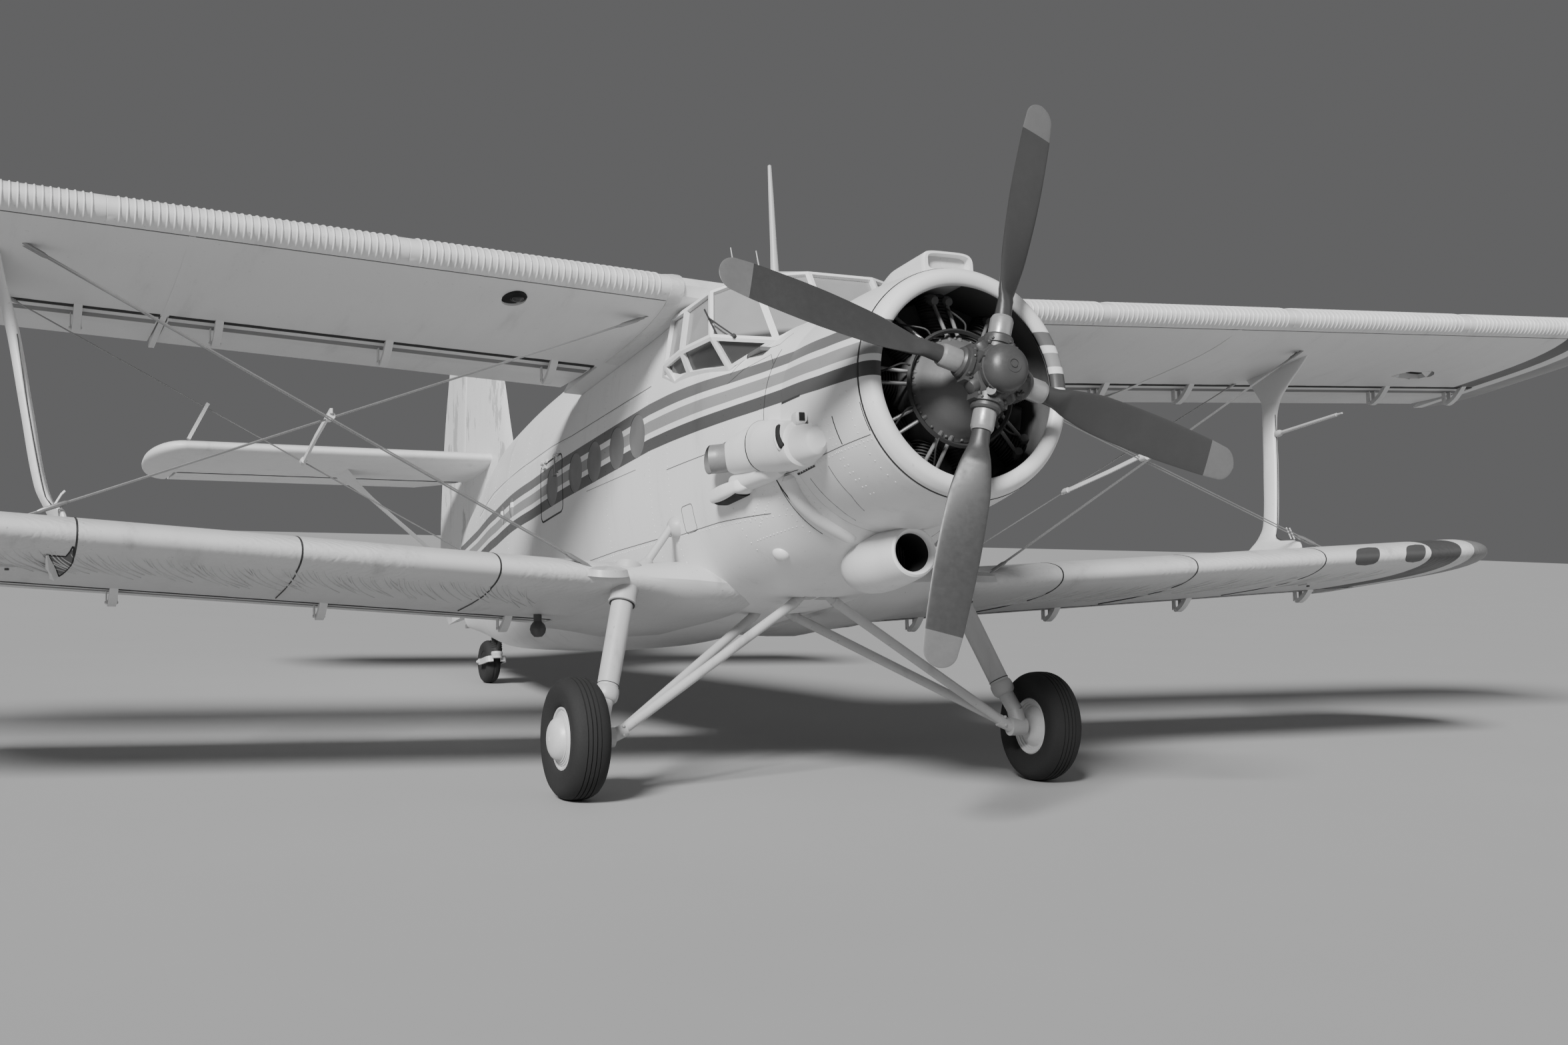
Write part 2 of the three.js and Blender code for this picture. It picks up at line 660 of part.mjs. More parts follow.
function engineBay() {
  piece('engine_bay_panels', shellBetween(COWL_BACK + SEAT, FIREWALL_Y, 0, -PANEL_THICK), 'skin');
}

function tailFuselage() {
  const solid = fuselageBody(SPLIT_Y + SEAT, STERN_Y, 0);
  return solid.subtract(behindRudderLine(RUDDER_NOSE + SWING));
}

// The pin along a control surface's hinge line, and the bore that clears its corners as it turns.
const ROD_RADIUS = 12;
const ROD_SIDES = 12;
const ROD_CLEARANCE = 0.4;
const BORE_RADIUS = (ROD_RADIUS + ROD_CLEARANCE) / Math.cos(Math.PI / ROD_SIDES);

// Rudder and fin: heights along the fin, with leading edge and trailing edge places.
const RUDDER_NOSE = 58;
const FIN_ROWS = [
  { z: 900, le: 9050, te: 12500, thick: 150 },
  { z: 1500, le: 9450, te: 12400, thick: 150 },
  { z: 2300, le: 9740, te: 12180, thick: 140 },
  { z: 3000, le: 9990, te: 11900, thick: 120 },
  { z: 3300, le: 10130, te: 11760, thick: 100 },
];
const RUDDER_ROWS = [
  { z: -60, te: 12180 },
  { z: 100, te: 12400 },
  { z: 500, te: 12510 },
  { z: 900, te: 12500 },
  { z: 1500, te: 12400 },
  { z: 2300, te: 12180 },
  { z: 3000, te: 11900 },
  { z: 3290, te: 11770 },
];
const FIN_CAP = [[3320, 1], [3420, 0.93], [3510, 0.76], [3570, 0.5], [3600, 0.2]];

function hingeYAt(z) {
  const [y0, z0] = RUDDER_HINGE_FOOT;
  const [y1, z1] = RUDDER_HINGE_HEAD;
  return y0 + ((z - z0) * (y1 - y0)) / (z1 - z0);
}

// A block that covers all of the rudder's side of its hinge line, moved forward by a margin.
function behindRudderLine(margin) {
  const outline = [[-800, hingeYAt(-800) - margin], [3310, hingeYAt(3310) - margin], [3310, 13200], [-800, 13200]];
  return loft([-700, 700].map((x) => outline.map(([z, y]) => [x, y, z])));
}

function finRing({ z, le, te, thick }, grow) {
  const marks = [[0, 0.12], [0.04, 0.55], [0.15, 0.9], [0.35, 1], [0.62, 0.86], [1, 0.1]];
  const point = ([u, t], side) => [side * ((t * thick) / 2 + grow), le + u * (te - le) + (u === 0 ? -grow : 0), z];
  return [...marks.map((m) => point(m, 1)), ...marks.map((m) => point(m, -1)).reverse()];
}

function fin(grow) {
  const last = FIN_ROWS[FIN_ROWS.length - 1];
  const cap = FIN_CAP.map(([z, keep]) => {
    const middle = (last.le + last.te) / 2;
    const half = ((last.te - last.le) / 2) * (keep * 0.85 + 0.13);
    return { z, le: middle - half, te: middle + half, thick: last.thick * Math.max(keep, 0.25) };
  });
  const body = loft([...FIN_ROWS, ...cap].map((row) => finRing(row, grow)));
  return body.subtract(behindRudderLine(RUDDER_NOSE + SWING));
}

function rudderRod(radius) {
  const foot = [0, hingeYAt(-200), -200];
  const head = [0, hingeYAt(3400), 3400];
  return rod(foot, head, radius, radius, ROD_SIDES);
}

function rudder() {
  const rings = RUDDER_ROWS.map(({ z, te }) => {
    const y = hingeYAt(z);
    const nose = [];
    for (let i = 0; i <= 4; i++) {
      const angle = (i * Math.PI) / 4;
      nose.push([RUDDER_NOSE * Math.cos(angle), y - RUDDER_NOSE * Math.sin(angle), z]);
    }
    return [[6, te, z], [40, y + (te - y) * 0.45, z], ...nose, [-40, y + (te - y) * 0.45, z], [-6, te, z]];
  });
  return loftRound(rings).subtract(rudderRod(BORE_RADIUS));
}

function tailGroup() {
  const stern = tailFuselage();
  const bracket = box([-22, hingeYAt(-150) - 260, -190], [22, hingeYAt(-150) + 20, -150]);
  const foot = rod([0, hingeYAt(-190), -190], [0, hingeYAt(60), 60], ROD_RADIUS, ROD_RADIUS, ROD_SIDES);
  piece('fuselage_tail', join(stern, bracket, foot), 'skin');
  const finSolid = fin(0).subtract(fuselageBody(8500, STERN_Y + 200, SEAT));
  const head = rod([0, hingeYAt(3050), 3050], [0, hingeYAt(3400), 3400], ROD_RADIUS, ROD_RADIUS, ROD_SIDES);
  piece('fin', join(largest(finSolid), head), 'skin');
  piece('rudder', rudder(), 'skin');

  const finGrown = fin(SEAT);
  for (const [name, side] of SIDES) {
    const wing = { ...TAILPLANE };
    const span = [60, 3240];
    let plane = loft([wingRing(wing, side * 20, wing.hinge), wingRing(wing, side * (span[1] + 31), wing.hinge)]);
    plane = join(plane, loft(tipRings(wing, side, span[1] + 30)));
    plane = plane.subtract(finGrown);
    const [rodFrom, rodTo] = [150, span[1] + 60].map((x) => axisAt(wing, side * x));
    const bracketBox = [side * 110, side * 140].sort((a, b) => a - b);
    const arm = box([bracketBox[0], rodFrom[1] - 90, rodFrom[2] - 14], [bracketBox[1], rodFrom[1] + 16, rodFrom[2] + 14]);
    const bar = rod([side * 112, rodFrom[1], rodFrom[2]], rodTo, ROD_RADIUS, ROD_RADIUS, ROD_SIDES);
    piece(`tailplane_${name}`, join(largest(plane), arm, bar), 'skin');
    hingedSurface(wing, side, [168, span[1]], `elevator_${name}`, 'skin', [168, 480]);
  }
}

// Where a wing's hinge line is at the place x.
function axisAt(wing, x) {
  const u = hingeMark(wing);
  const a = wingPoint(wing, x, u, true);
  const b = wingPoint(wing, x, u, false);
  return a.map((v, i) => (v + b[i]) / 2);
}

function chordOf(wing) {
  return Math.hypot(wing.teY - wing.leY, wing.teZ - wing.leZ);
}

function depthAt(wing, u) {
  return (foilHeight(u, wing, true) - foilHeight(u, wing, false)) * chordOf(wing);
}

// The hinge line lies one nose radius and a swing gap behind the wing's rear face.
function hingeMark(wing) {
  const radius = depthAt(wing, wing.hinge + 0.04) / 2;
  return wing.hinge + (radius + SWING) / chordOf(wing);
}

// A hinged surface about its own hinge line, along local X. trim: inner end at nose and tail.
function hingedSurface(wing, side, [inner, outer], name, kind, trim) {
  const u = hingeMark(wing);
  const radius = depthAt(wing, u) / 2;
  const length = (1 - u) * chordOf(wing);
  const from = axisAt(wing, side * inner);
  const to = axisAt(wing, side * outer);
  const span = Math.hypot(to[0] - from[0], to[2] - from[2]);
  const tilt = Math.atan2(wing.leZ - wing.teZ, wing.teY - wing.leY);
  const ring = [];
  for (let i = 0; i <= 4; i++) {
    const angle = Math.PI / 2 + (i * Math.PI) / 4;
    ring.push([radius * Math.cos(angle), radius * Math.sin(angle)]);
  }
  ring.push([length * 0.5, -radius * 0.6], [length, -5], [length, 5], [length * 0.5, radius * 0.66]);
  const turn = ([y, z]) => [y * Math.cos(tilt) + z * Math.sin(tilt), z * Math.cos(tilt) - y * Math.sin(tilt)];
  const rings = [0, span].map((x, end) => ring.map((point) => {
    const slant = trim && end === 0 ? (Math.max(point[0], 0) / length) * (trim[1] - trim[0]) : 0;
    return [side * (x + slant), ...turn(point)];
  }));
  const bore = rod([-side * 40, 0, 0], [side * (span + 40), 0, 0], BORE_RADIUS, BORE_RADIUS, ROD_SIDES);
  const mesh = piece(name, loftRound(rings).subtract(bore), kind);
  mesh.position.set(...from);
  mesh.rotation.y = -side * Math.atan(wing.rise);
  return mesh;
}

// Wings: the fixed part in front of the hinges, ribs of full chord, and a rounded tip.

function fixedWing(wing, side, root, ribs, tipFrom, slat) {
  const end = wing.hinge;
  let solid = loft([wingRing(wing, side * root, end), wingRing(wing, side * (tipFrom + 1), end)]);
  for (const [from, to] of ribs) {
    solid = solid.add(loft([wingRing(wing, side * from, 1), wingRing(wing, side * to, 1)]));
  }
  solid = solid.add(loft(tipRings(wing, side, tipFrom)));
  const [a, b] = [ribs[0][0] + 20, tipFrom + 40].map((x) => axisAt(wing, side * x));
  solid = solid.add(rod(a, b, ROD_RADIUS, ROD_RADIUS, ROD_SIDES));
  if (slat) {
    const bed = loft([slat[0] - SWING, slat[1] + SWING].map((x) => slatRing(wing, side * x, 40, -SLAT_THICK - 6, 0.004)));
    solid = solid.subtract(bed);
  }
  return largest(solid);
}

const SLAT_UPPER = [0.16, 0.09, 0.04, 0.012];
const SLAT_LOWER = [0.018, 0.045];
const SLAT_THICK = 26;

// The slat: a curved nose piece that lies on the wing's leading edge.
function slatRing(wing, x, outGrow, inGrow, over) {
  const marks = [
    ...SLAT_UPPER.map((u, i) => [i === 0 ? u + over : u, true]),
    [0, true],
    ...SLAT_LOWER.map((u, i) => [i === SLAT_LOWER.length - 1 ? u + over : u, false]),
  ];
  const outer = marks.map(([u, upper]) => wingPoint(wing, x, u, upper, outGrow));
  const inner = marks.map(([u, upper]) => wingPoint(wing, x, u, upper, inGrow)).reverse();
  return [...outer, ...inner];
}

const MID_RIB = [[4160, 4200]];
const TIE_DOWN = { x: 5200, y: 3300, half: 60, deep: 16 };

// A flat pad under the lower wing, where a tie down ring screws in.
function tieDownPad(side) {
  const u = (TIE_DOWN.y - LOWER.leY) / (LOWER.teY - LOWER.leY);
  const skin = wingPoint(LOWER, TIE_DOWN.x, u, false)[2];
  const { half, deep, x, y } = TIE_DOWN;
  return sideBox(side, [x - half, x + half], [y - half, y + half], [skin - deep, skin + 40]);
}

function wings() {
  const shell = fuselageBody(FIREWALL_Y, 6000, SEAT);
  piece('upper_wing_centre', loft([-FUSELAGE_SIDE, 0, FUSELAGE_SIDE].map((x) => wingRing(UPPER, x, 1))), 'skin');
  for (const [name, side] of SIDES) {
    const upperRibs = [[FUSELAGE_SIDE + SEAT, UPPER_FLAP[0] - 30], ...MID_RIB];
    const upper = fixedWing(UPPER, side, FUSELAGE_SIDE + SEAT, upperRibs, AILERON[1] + 30, SLAT);
    piece(`upper_wing_${name}`, upper, 'skin');
    const slat = loft([SLAT[0], SLAT[1]].map((x) => slatRing(UPPER, side * x, 0, -SLAT_THICK, 0)));
    piece(`slat_${name}`, slat, 'skin');
    hingedSurface(UPPER, side, UPPER_FLAP, `upper_flap_${name}`, 'skin');
    hingedSurface(UPPER, side, AILERON, `aileron_${name}`, 'skin');
    const lowerRibs = [[FUSELAGE_SIDE - 120, LOWER_FLAP[0] - 30]];
    const lower = fixedWing(LOWER, side, FUSELAGE_SIDE - 120, lowerRibs, LOWER_FLAP[1] + 30).add(tieDownPad(side));
    piece(`lower_wing_${name}`, largest(lower.subtract(shell)), 'skin');
    hingedSurface(LOWER, side, LOWER_FLAP, `lower_flap_${name}`, 'skin');
  }
}

// A wing's outer shape, grown by the seat gap, to trim what stands on it.
function wingGrown(wing, side, from, to) {
  return loft([from, to].map((x) => wingRing(wing, side * x, 1, SEAT)));
}

function strutsAndStays() {
  for (const [name, side] of SIDES) {
    const s = (x, y, z) => [side * x, y, z];
    const upper = wingGrown(UPPER, side, 700, 8000);
    const lower = wingGrown(LOWER, side, 700, 6500);
    const neckTop = s(STRUT_TOP_X - 132, 3548, 900);
    const neckFoot = s(STRUT_FOOT_X + 102, 3468, -230);
    let strut = join(
      blade(neckFoot, neckTop, 165, 62),
      blade(s(STRUT_TOP_X - 138, 3568, 860), s(STRUT_TOP_X + 20, 3010, 1460), 90, 52, 90),
      blade(s(STRUT_TOP_X - 138, 3528, 860), s(STRUT_TOP_X + 10, 4150, 1400), 90, 52, 90),
      blade(s(STRUT_FOOT_X + 110, 3490, -170), s(STRUT_FOOT_X - 20, 3000, -520), 90, 60, 90),
      blade(s(STRUT_FOOT_X + 110, 3450, -170), s(STRUT_FOOT_X - 20, 3880, -520), 90, 60, 90),
    );
    strut = strut.subtract(upper).subtract(lower);
    const between = box([-6000, 2000, -600], [6000, 5000, 1600]);
    piece(`interplane_strut_${name}`, largest(strut.intersect(between)), 'skin');

    const stayRadius = 8;
    const shell = fuselageBody(FIREWALL_Y, 6000, SEAT);
    const strutGrown = blade(neckFoot, neckTop, 166, 63);
    const flying = rod(s(1530, 2690, -815), s(5240, 3060, 1330), stayRadius, stayRadius, 6);
    const landing = rod(s(990, 2925, 1085), s(5110, 3000, -467), stayRadius, stayRadius, 6);
    for (const [kind, wire] of [['flying', flying], ['landing', landing]]) {
      const cut = wire.subtract(upper).subtract(lower).subtract(shell).subtract(strutGrown);
      piece(`${kind}_stay_${name}`, largest(cut), 'metal');
    }
  }
}

// Undercarriage.

// A place on the leg's upper tube, from its top, 0, to the knee, 1.
function alongLeg(t) {
  return LEG_TOP.map((v, i) => v + t * (KNEE[i] - v));
}

function mainGear() {
  for (const [name, side] of SIDES) {
    const s = (x, y, z) => [side * x, y, z];
    const shell = fuselageBody(FIREWALL_Y, 6000, SEAT);
    const lower = wingGrown(LOWER, side, 700, 6500);
    const [ankle, knee] = [s(...ANKLE), s(...KNEE)];
    const legSolid = (grow) => join(
      rod(s(...LEG_TOP), knee, 76 + grow, 72 + grow, 16),
      rod(s(...LEG_TOP), s(...alongLeg(0.22)), 92 + grow, 90 + grow, 16),
      rod(s(...alongLeg(0.95)), s(...alongLeg(1.01)), 80 + grow, 80 + grow, 16),
      rod(knee, ankle, 56 + grow, 56 + grow, 16),
      rod(ankle, s(WHEEL_X - 185, AXLE_Y, AXLE_Z), 60 + grow, 60 + grow, 12),
      rod(s(WHEEL_X - 262 - grow, AXLE_Y, AXLE_Z), s(WHEEL_X - 150, AXLE_Y, AXLE_Z), 64 + grow, 64 + grow, 16),
      rod(s(WHEEL_X - 200, AXLE_Y, AXLE_Z), s(WHEEL_X + 60, AXLE_Y, AXLE_Z), AXLE_RADIUS, AXLE_RADIUS, 16),
    );
    const leg = legSolid(0).subtract(shell).subtract(lower);
    piece(`main_leg_${name}`, largest(leg), 'skin');
    const end = s(...STRUT_APEX);
    let struts = join(
      rod(s(BELLY_FITTING_FRONT[0], BELLY_FITTING_FRONT[1], BELLY_FITTING_FRONT[2] + 60), end, 34, 34, 10),
      rod(s(BELLY_FITTING_REAR[0], BELLY_FITTING_REAR[1], BELLY_FITTING_REAR[2] + 60), end, 34, 34, 10),
      rod(s(STRUT_APEX[0] - 20, STRUT_APEX[1], STRUT_APEX[2] - 12), s(WHEEL_X - 200, AXLE_Y, AXLE_Z), 40, 40, 10),
    );
    struts = struts.subtract(shell).subtract(legSolid(1));
    piece(`belly_struts_${name}`, largest(struts), 'skin');
    wheel(name, side);
  }
}

const TYRE_PROFILE = [
  [RIM_RADIUS + 1, -92], [250, -118], [330, -130], [372, -108], [394, -66], [WHEEL_RADIUS, -20],
  [WHEEL_RADIUS, 20], [394, 66], [372, 108], [330, 130], [250, 118], [RIM_RADIUS + 1, 92],
];

function wheel(name, side) {
  const tyre = turnedAcross([...TYRE_PROFILE, TYRE_PROFILE[0]], 28);
  const hubProfile = [
    [0, 182], [70, 176], [118, 156], [146, 120], [152, 78], [192, 84], [RIM_RADIUS + 0.6, 90],
    [RIM_RADIUS + 0.6, -90], [190, -84], [150, -60], [90, -100], [AXLE_RADIUS + RUN, -100],
    [AXLE_RADIUS + RUN, 72], [0, 72],
  ];
  const hub = turnedAcross(hubProfile.map(([r, x]) => [r, side * x]), 28);
  for (const [kind, solid, look] of [['tyre', tyre, 'rubber'], ['hub', hub, 'metal']]) {
    piece(`main_${kind}_${name}`, solid, look).position.set(side * WHEEL_X, AXLE_Y, AXLE_Z);
  }
}

// Tail wheel: a leg under the stern, a swivelling fork behind it and the wheel.

function groundToLevel(y, z) {
  const [dy, dz] = [y + HUB_AHEAD_OF_WHEELS, z - HUB_HEIGHT];
  const [c, s] = [Math.cos(GROUND_ANGLE), Math.sin(GROUND_ANGLE)];
  return [dy * c - dz * s, dy * s + dz * c];
}

function tailGear() {
  const [wheelY, wheelZ] = groundToLevel(WHEELBASE, TAIL_WHEEL_RADIUS);
  const pivotY = wheelY - 300;
  const crownZ = wheelZ + 80;
  const shell = fuselageBody(9000, STERN_Y, SEAT);
  const leg = rod([0, pivotY, crownZ + SEAT], [0, pivotY, crownZ + 300], 55, 60, 16).subtract(shell);
  piece('tail_leg', largest(leg), 'metal');
  const half = TAIL_WHEEL_WIDTH / 2 + 14;
  let fork = rod([0, pivotY, crownZ], [0, pivotY, crownZ - 70], 58, 58, 16);
  for (const side of [-1, 1]) {
    const arm = [side * half, side * (half + 22)].sort((a, b) => a - b);
    fork = fork.add(box([arm[0], pivotY - 30, crownZ - 110], [arm[1], wheelY + 34, crownZ - 50]));
  }
  fork = fork.add(box([-half - 22, pivotY - 45, crownZ - 110], [half + 22, pivotY + 45, crownZ - 45]));
  fork = fork.add(rod([-half - 30, wheelY, wheelZ], [half + 30, wheelY, wheelZ], 20, 20, 12));
  piece('tail_fork', fork, 'metal');
  const profile = [
    [21, -52], [60, -54], [118, -62], [170, -78], [210, -68], [TAIL_WHEEL_RADIUS, -26],
    [TAIL_WHEEL_RADIUS, 26], [210, 68], [170, 78], [118, 62], [60, 54], [21, 52],
  ];
  const tyre = turnedAcross([...profile, profile[0]], 20);
  piece('tail_wheel', tyre, 'rubber').position.set(0, wheelY, wheelZ);
}

function tailStruts() {
  for (const [name, side] of SIDES) {
    const plane = loft([200, 3200].map((x) => wingRing(TAILPLANE, side * x, 1, SEAT)));
    const shell = fuselageBody(9000, STERN_Y, SEAT);
    const strut = blade([side * 1630, 10740, 1560], [side * 120, 10530, 120], 165, 46);
    const cut = strut.subtract(plane).subtract(shell);
    piece(`tail_strut_${name}`, largest(cut), 'skin');
  }
}

// Scoops and exhaust, seated on the cowl and the panels behind it.

function cowlGrown() {
  const outer = COWL_PROFILE.slice(3, 11).map(([r, y]) => [r + 1, y === COWL_BACK ? y + SEAT : y]);
  return turned([[0, 230], [645, 230], ...outer, [0, COWL_BACK + SEAT]], 48, COWL_Z);
}

function squareRing(y, x, z, halfX, halfZ, square, count = 16) {
  const ring = [];
  for (let i = 0; i < count; i++) {
    const angle = (2 * Math.PI * (i + 0.5)) / count;
    const [c, s] = [Math.cos(angle), Math.sin(angle)];
    ring.push([
      x + Math.sign(c) * Math.abs(c) ** (2 / square) * halfX, y,
      z + Math.sign(s) * Math.abs(s) ** (2 / square) * halfZ,
    ]);
  }
  return ring;
}

function scoops() {
  const cowl = cowlGrown();
  const bay = fuselageBody(COWL_BACK, 3000, SEAT);
  const top = loft([
    squareRing(430, 0, 735, 175, 75, 5), squareRing(900, 0, 740, 172, 72, 5), squareRing(1180, 0, 755, 120, 30, 4),
  ]);
  const mouth = loft([squareRing(380, 0, 745, 150, 45, 5), squareRing(700, 0, 752, 130, 35, 5)]);
  piece('carburettor_scoop', largest(top.subtract(mouth).subtract(cowl)), 'skin');
  const chin = loft([
    squareRing(1040, 0, -900, 140, 140, 2), squareRing(1080, 0, -900, 168, 168, 2), squareRing(1300, 0, -905, 195, 190, 2.2),
    squareRing(1640, 0, -920, 190, 165, 2.2), squareRing(1850, 0, -935, 120, 85, 2),
  ]);
  const throat = loft([squareRing(1000, 0, -900, 122, 122, 2), squareRing(1480, 0, -910, 118, 112, 2)]);
  piece('oil_cooler_scoop', largest(chin.subtract(throat).subtract(cowl).subtract(bay)), 'skin');
  const stack = loft([
    squareRing(1020, -760, -120, 40, 60, 2), squareRing(1130, -780, -130, 145, 140, 2.2),
    squareRing(1480, -800, -135, 152, 150, 2.2), squareRing(1640, -855, -138, 120, 115, 2),
    squareRing(1700, -890, -140, 104, 102, 2), squareRing(1940, -920, -142, 96, 94, 2),
  ]);
  const bore = loft([squareRing(1720, -893, -141, 86, 85, 2), squareRing(1990, -924, -142, 87, 86, 2)]);
  piece('exhaust_stack', largest(stack.subtract(cowl).subtract(bay).subtract(bore)), 'skin');
}

function build() {
  propeller();
  engine();
  noseCowl();
  engineBay();
  fuselageAndDoors();
  canopy();
  cabinInside();
  wings();
  strutsAndStays();
  mainGear();
  tailGear();
  tailGroup();
  tailStruts();
  scoops();
}

build();

export default level;
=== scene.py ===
import math
import random

import bmesh
import bpy
import numpy as np
from mathutils import Matrix, Vector


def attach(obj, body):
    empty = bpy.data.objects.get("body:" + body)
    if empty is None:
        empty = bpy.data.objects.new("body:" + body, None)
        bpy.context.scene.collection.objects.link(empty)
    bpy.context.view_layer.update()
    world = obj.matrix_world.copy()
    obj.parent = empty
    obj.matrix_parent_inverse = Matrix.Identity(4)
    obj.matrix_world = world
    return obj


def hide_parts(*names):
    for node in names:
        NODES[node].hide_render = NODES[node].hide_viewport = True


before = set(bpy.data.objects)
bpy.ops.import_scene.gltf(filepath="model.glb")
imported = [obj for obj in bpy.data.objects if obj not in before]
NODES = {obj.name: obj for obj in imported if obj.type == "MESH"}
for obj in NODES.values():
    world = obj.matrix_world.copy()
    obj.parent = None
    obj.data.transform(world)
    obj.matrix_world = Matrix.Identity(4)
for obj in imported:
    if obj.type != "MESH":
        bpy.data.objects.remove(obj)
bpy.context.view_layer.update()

# The level airframe: its origin is the propeller hub, y runs aft, z up, port is +x.
TILT = math.radians(10.2)
HUB = Vector((0, -6.065, 2.754))
LEVEL = Matrix.Translation(HUB) @ Matrix.Rotation(-TILT, 4, "X")
SIDES = (("port", 1), ("starboard", -1))


# Materials

class Look:
    """A node material. Its places are in the level frame, in metres."""

    def __init__(self, name, tone, rough=0.5, metal=0.0, spec=0.5):
        self.material = bpy.data.materials.new(name)
        self.material.use_nodes = True
        self.tree = self.material.node_tree
        self.shader = self.tree.nodes["Principled BSDF"]
        self.shader.inputs["Base Color"].default_value = (tone, tone, tone, 1)
        self.shader.inputs["Roughness"].default_value = rough
        self.shader.inputs["Metallic"].default_value = metal
        self.shader.inputs["Specular IOR Level"].default_value = spec
        where = self.tree.nodes.new("ShaderNodeTexCoord")
        turn = self.tree.nodes.new("ShaderNodeMapping")
        turn.vector_type = "TEXTURE"
        turn.inputs["Location"].default_value = HUB
        turn.inputs["Rotation"].default_value = (-TILT, 0, 0)
        self.link(where.outputs["Object"], turn.inputs["Vector"])
        self.place = turn.outputs["Vector"]
        split = self.tree.nodes.new("ShaderNodeSeparateXYZ")
        self.link(self.place, split.inputs[0])
        self.x, self.y, self.z = split.outputs

    def link(self, a, b):
        self.tree.links.new(a, b)

    def put(self, value, socket):
        if hasattr(value, "is_output"):
            self.link(value, socket)
        else:
            socket.default_value = value

    def math(self, operation, a, b=0.0):
        node = self.tree.nodes.new("ShaderNodeMath")
        node.operation = operation
        self.put(a, node.inputs[0])
        self.put(b, node.inputs[1])
        return node.outputs[0]

    def noise(self, scale, detail=3.0, stretch=(1, 1, 1), rough=0.55):
        squeeze = self.tree.nodes.new("ShaderNodeMapping")
        squeeze.inputs["Scale"].default_value = stretch
        self.link(self.place, squeeze.inputs["Vector"])
        node = self.tree.nodes.new("ShaderNodeTexNoise")
        node.inputs["Scale"].default_value = scale
        node.inputs["Detail"].default_value = detail
        node.inputs["Roughness"].default_value = rough
        self.link(squeeze.outputs[0], node.inputs["Vector"])
        return node.outputs["Fac"]

    def ramp(self, value, stops, kind="LINEAR"):
        node = self.tree.nodes.new("ShaderNodeValToRGB")
        ramp = node.color_ramp
        ramp.interpolation = kind
        while len(ramp.elements) < len(stops):
            ramp.elements.new(1.0)
        for element, (place, tone) in zip(ramp.elements, stops):
            element.position = place
            element.color = (tone, tone, tone, 1)
        self.link(value, node.inputs[0])
        return node.outputs[0]

    def scaled(self, value, low, high):
        """A value from 0 to 1 laid onto the span from low to high."""
        node = self.tree.nodes.new("ShaderNodeMapRange")
        node.inputs["To Min"].default_value = low
        node.inputs["To Max"].default_value = high
        self.link(value, node.inputs[0])
        return node.outputs[0]

    def product(self, *values):
        whole = values[0]
        for value in values[1:]:
            whole = self.math("MULTIPLY", whole, value)
        return whole

    def tone(self, value):
        self.link(value, self.shader.inputs["Base Color"])

    def rough(self, value):
        self.link(value, self.shader.inputs["Roughness"])

    def bump(self, height, depth, strength=0.6):
        node = self.tree.nodes.new("ShaderNodeBump")
        node.inputs["Strength"].default_value = strength
        node.inputs["Distance"].default_value = depth
        self.link(height, node.inputs["Height"])
        self.link(node.outputs[0], self.shader.inputs["Normal"])


# The paint bands: each row is a place along the fuselage and the foot of the lowest band.
BAND_FOOT = [
    (0.0, 0.005), (0.3, 0.015), (0.75, 0.038), (1.0, 0.06), (1.3, 0.087), (1.8, 0.106), (2.25, 0.122),
    (2.9, 0.152), (3.25, 0.167), (6.2, 0.167), (7.0, 0.186), (7.85, 0.191), (8.6, 0.218), (9.5, 0.262),
    (11.6, 0.4),
]
# Heights above that foot where the tone changes.
BAND_STEPS = [
    (0.0, "low"), (0.087, "gap"), (0.132, "middle"), (0.217, "gap"), (0.262, "high"), (0.347, "gap"),
]
BAND_TONES = {"low": 0.10, "middle": 0.36, "high": 0.17, "gap": 1.0}
LENGTH = 12.0
BAND_SPAN = 0.5


def bands(look):
    """The tones of the paint bands, by height above their foot."""
    foot = look.ramp(look.math("DIVIDE", look.y, LENGTH), [(y / LENGTH, z) for y, z in BAND_FOOT])
    above = look.math("DIVIDE", look.math("SUBTRACT", look.z, foot), BAND_SPAN)
    shifted = look.math("ADD", look.math("MULTIPLY", above, 0.5), 0.5)
    stops = [(0.0, 1.0)] + [((step / BAND_SPAN) * 0.5 + 0.5, BAND_TONES[kind]) for step, kind in BAND_STEPS]
    return look.ramp(shifted, stops, "CONSTANT")


def line_mask(look, value, span, places, width):
    """White, with thin dark lines where the value passes each place."""
    stops = [(0.0, 1.0)]
    for place in places:
        stops += [((place - width / 2) / span, 0.0), ((place + width / 2) / span, 1.0)]
    return look.ramp(look.math("DIVIDE", value, span), stops, "CONSTANT")


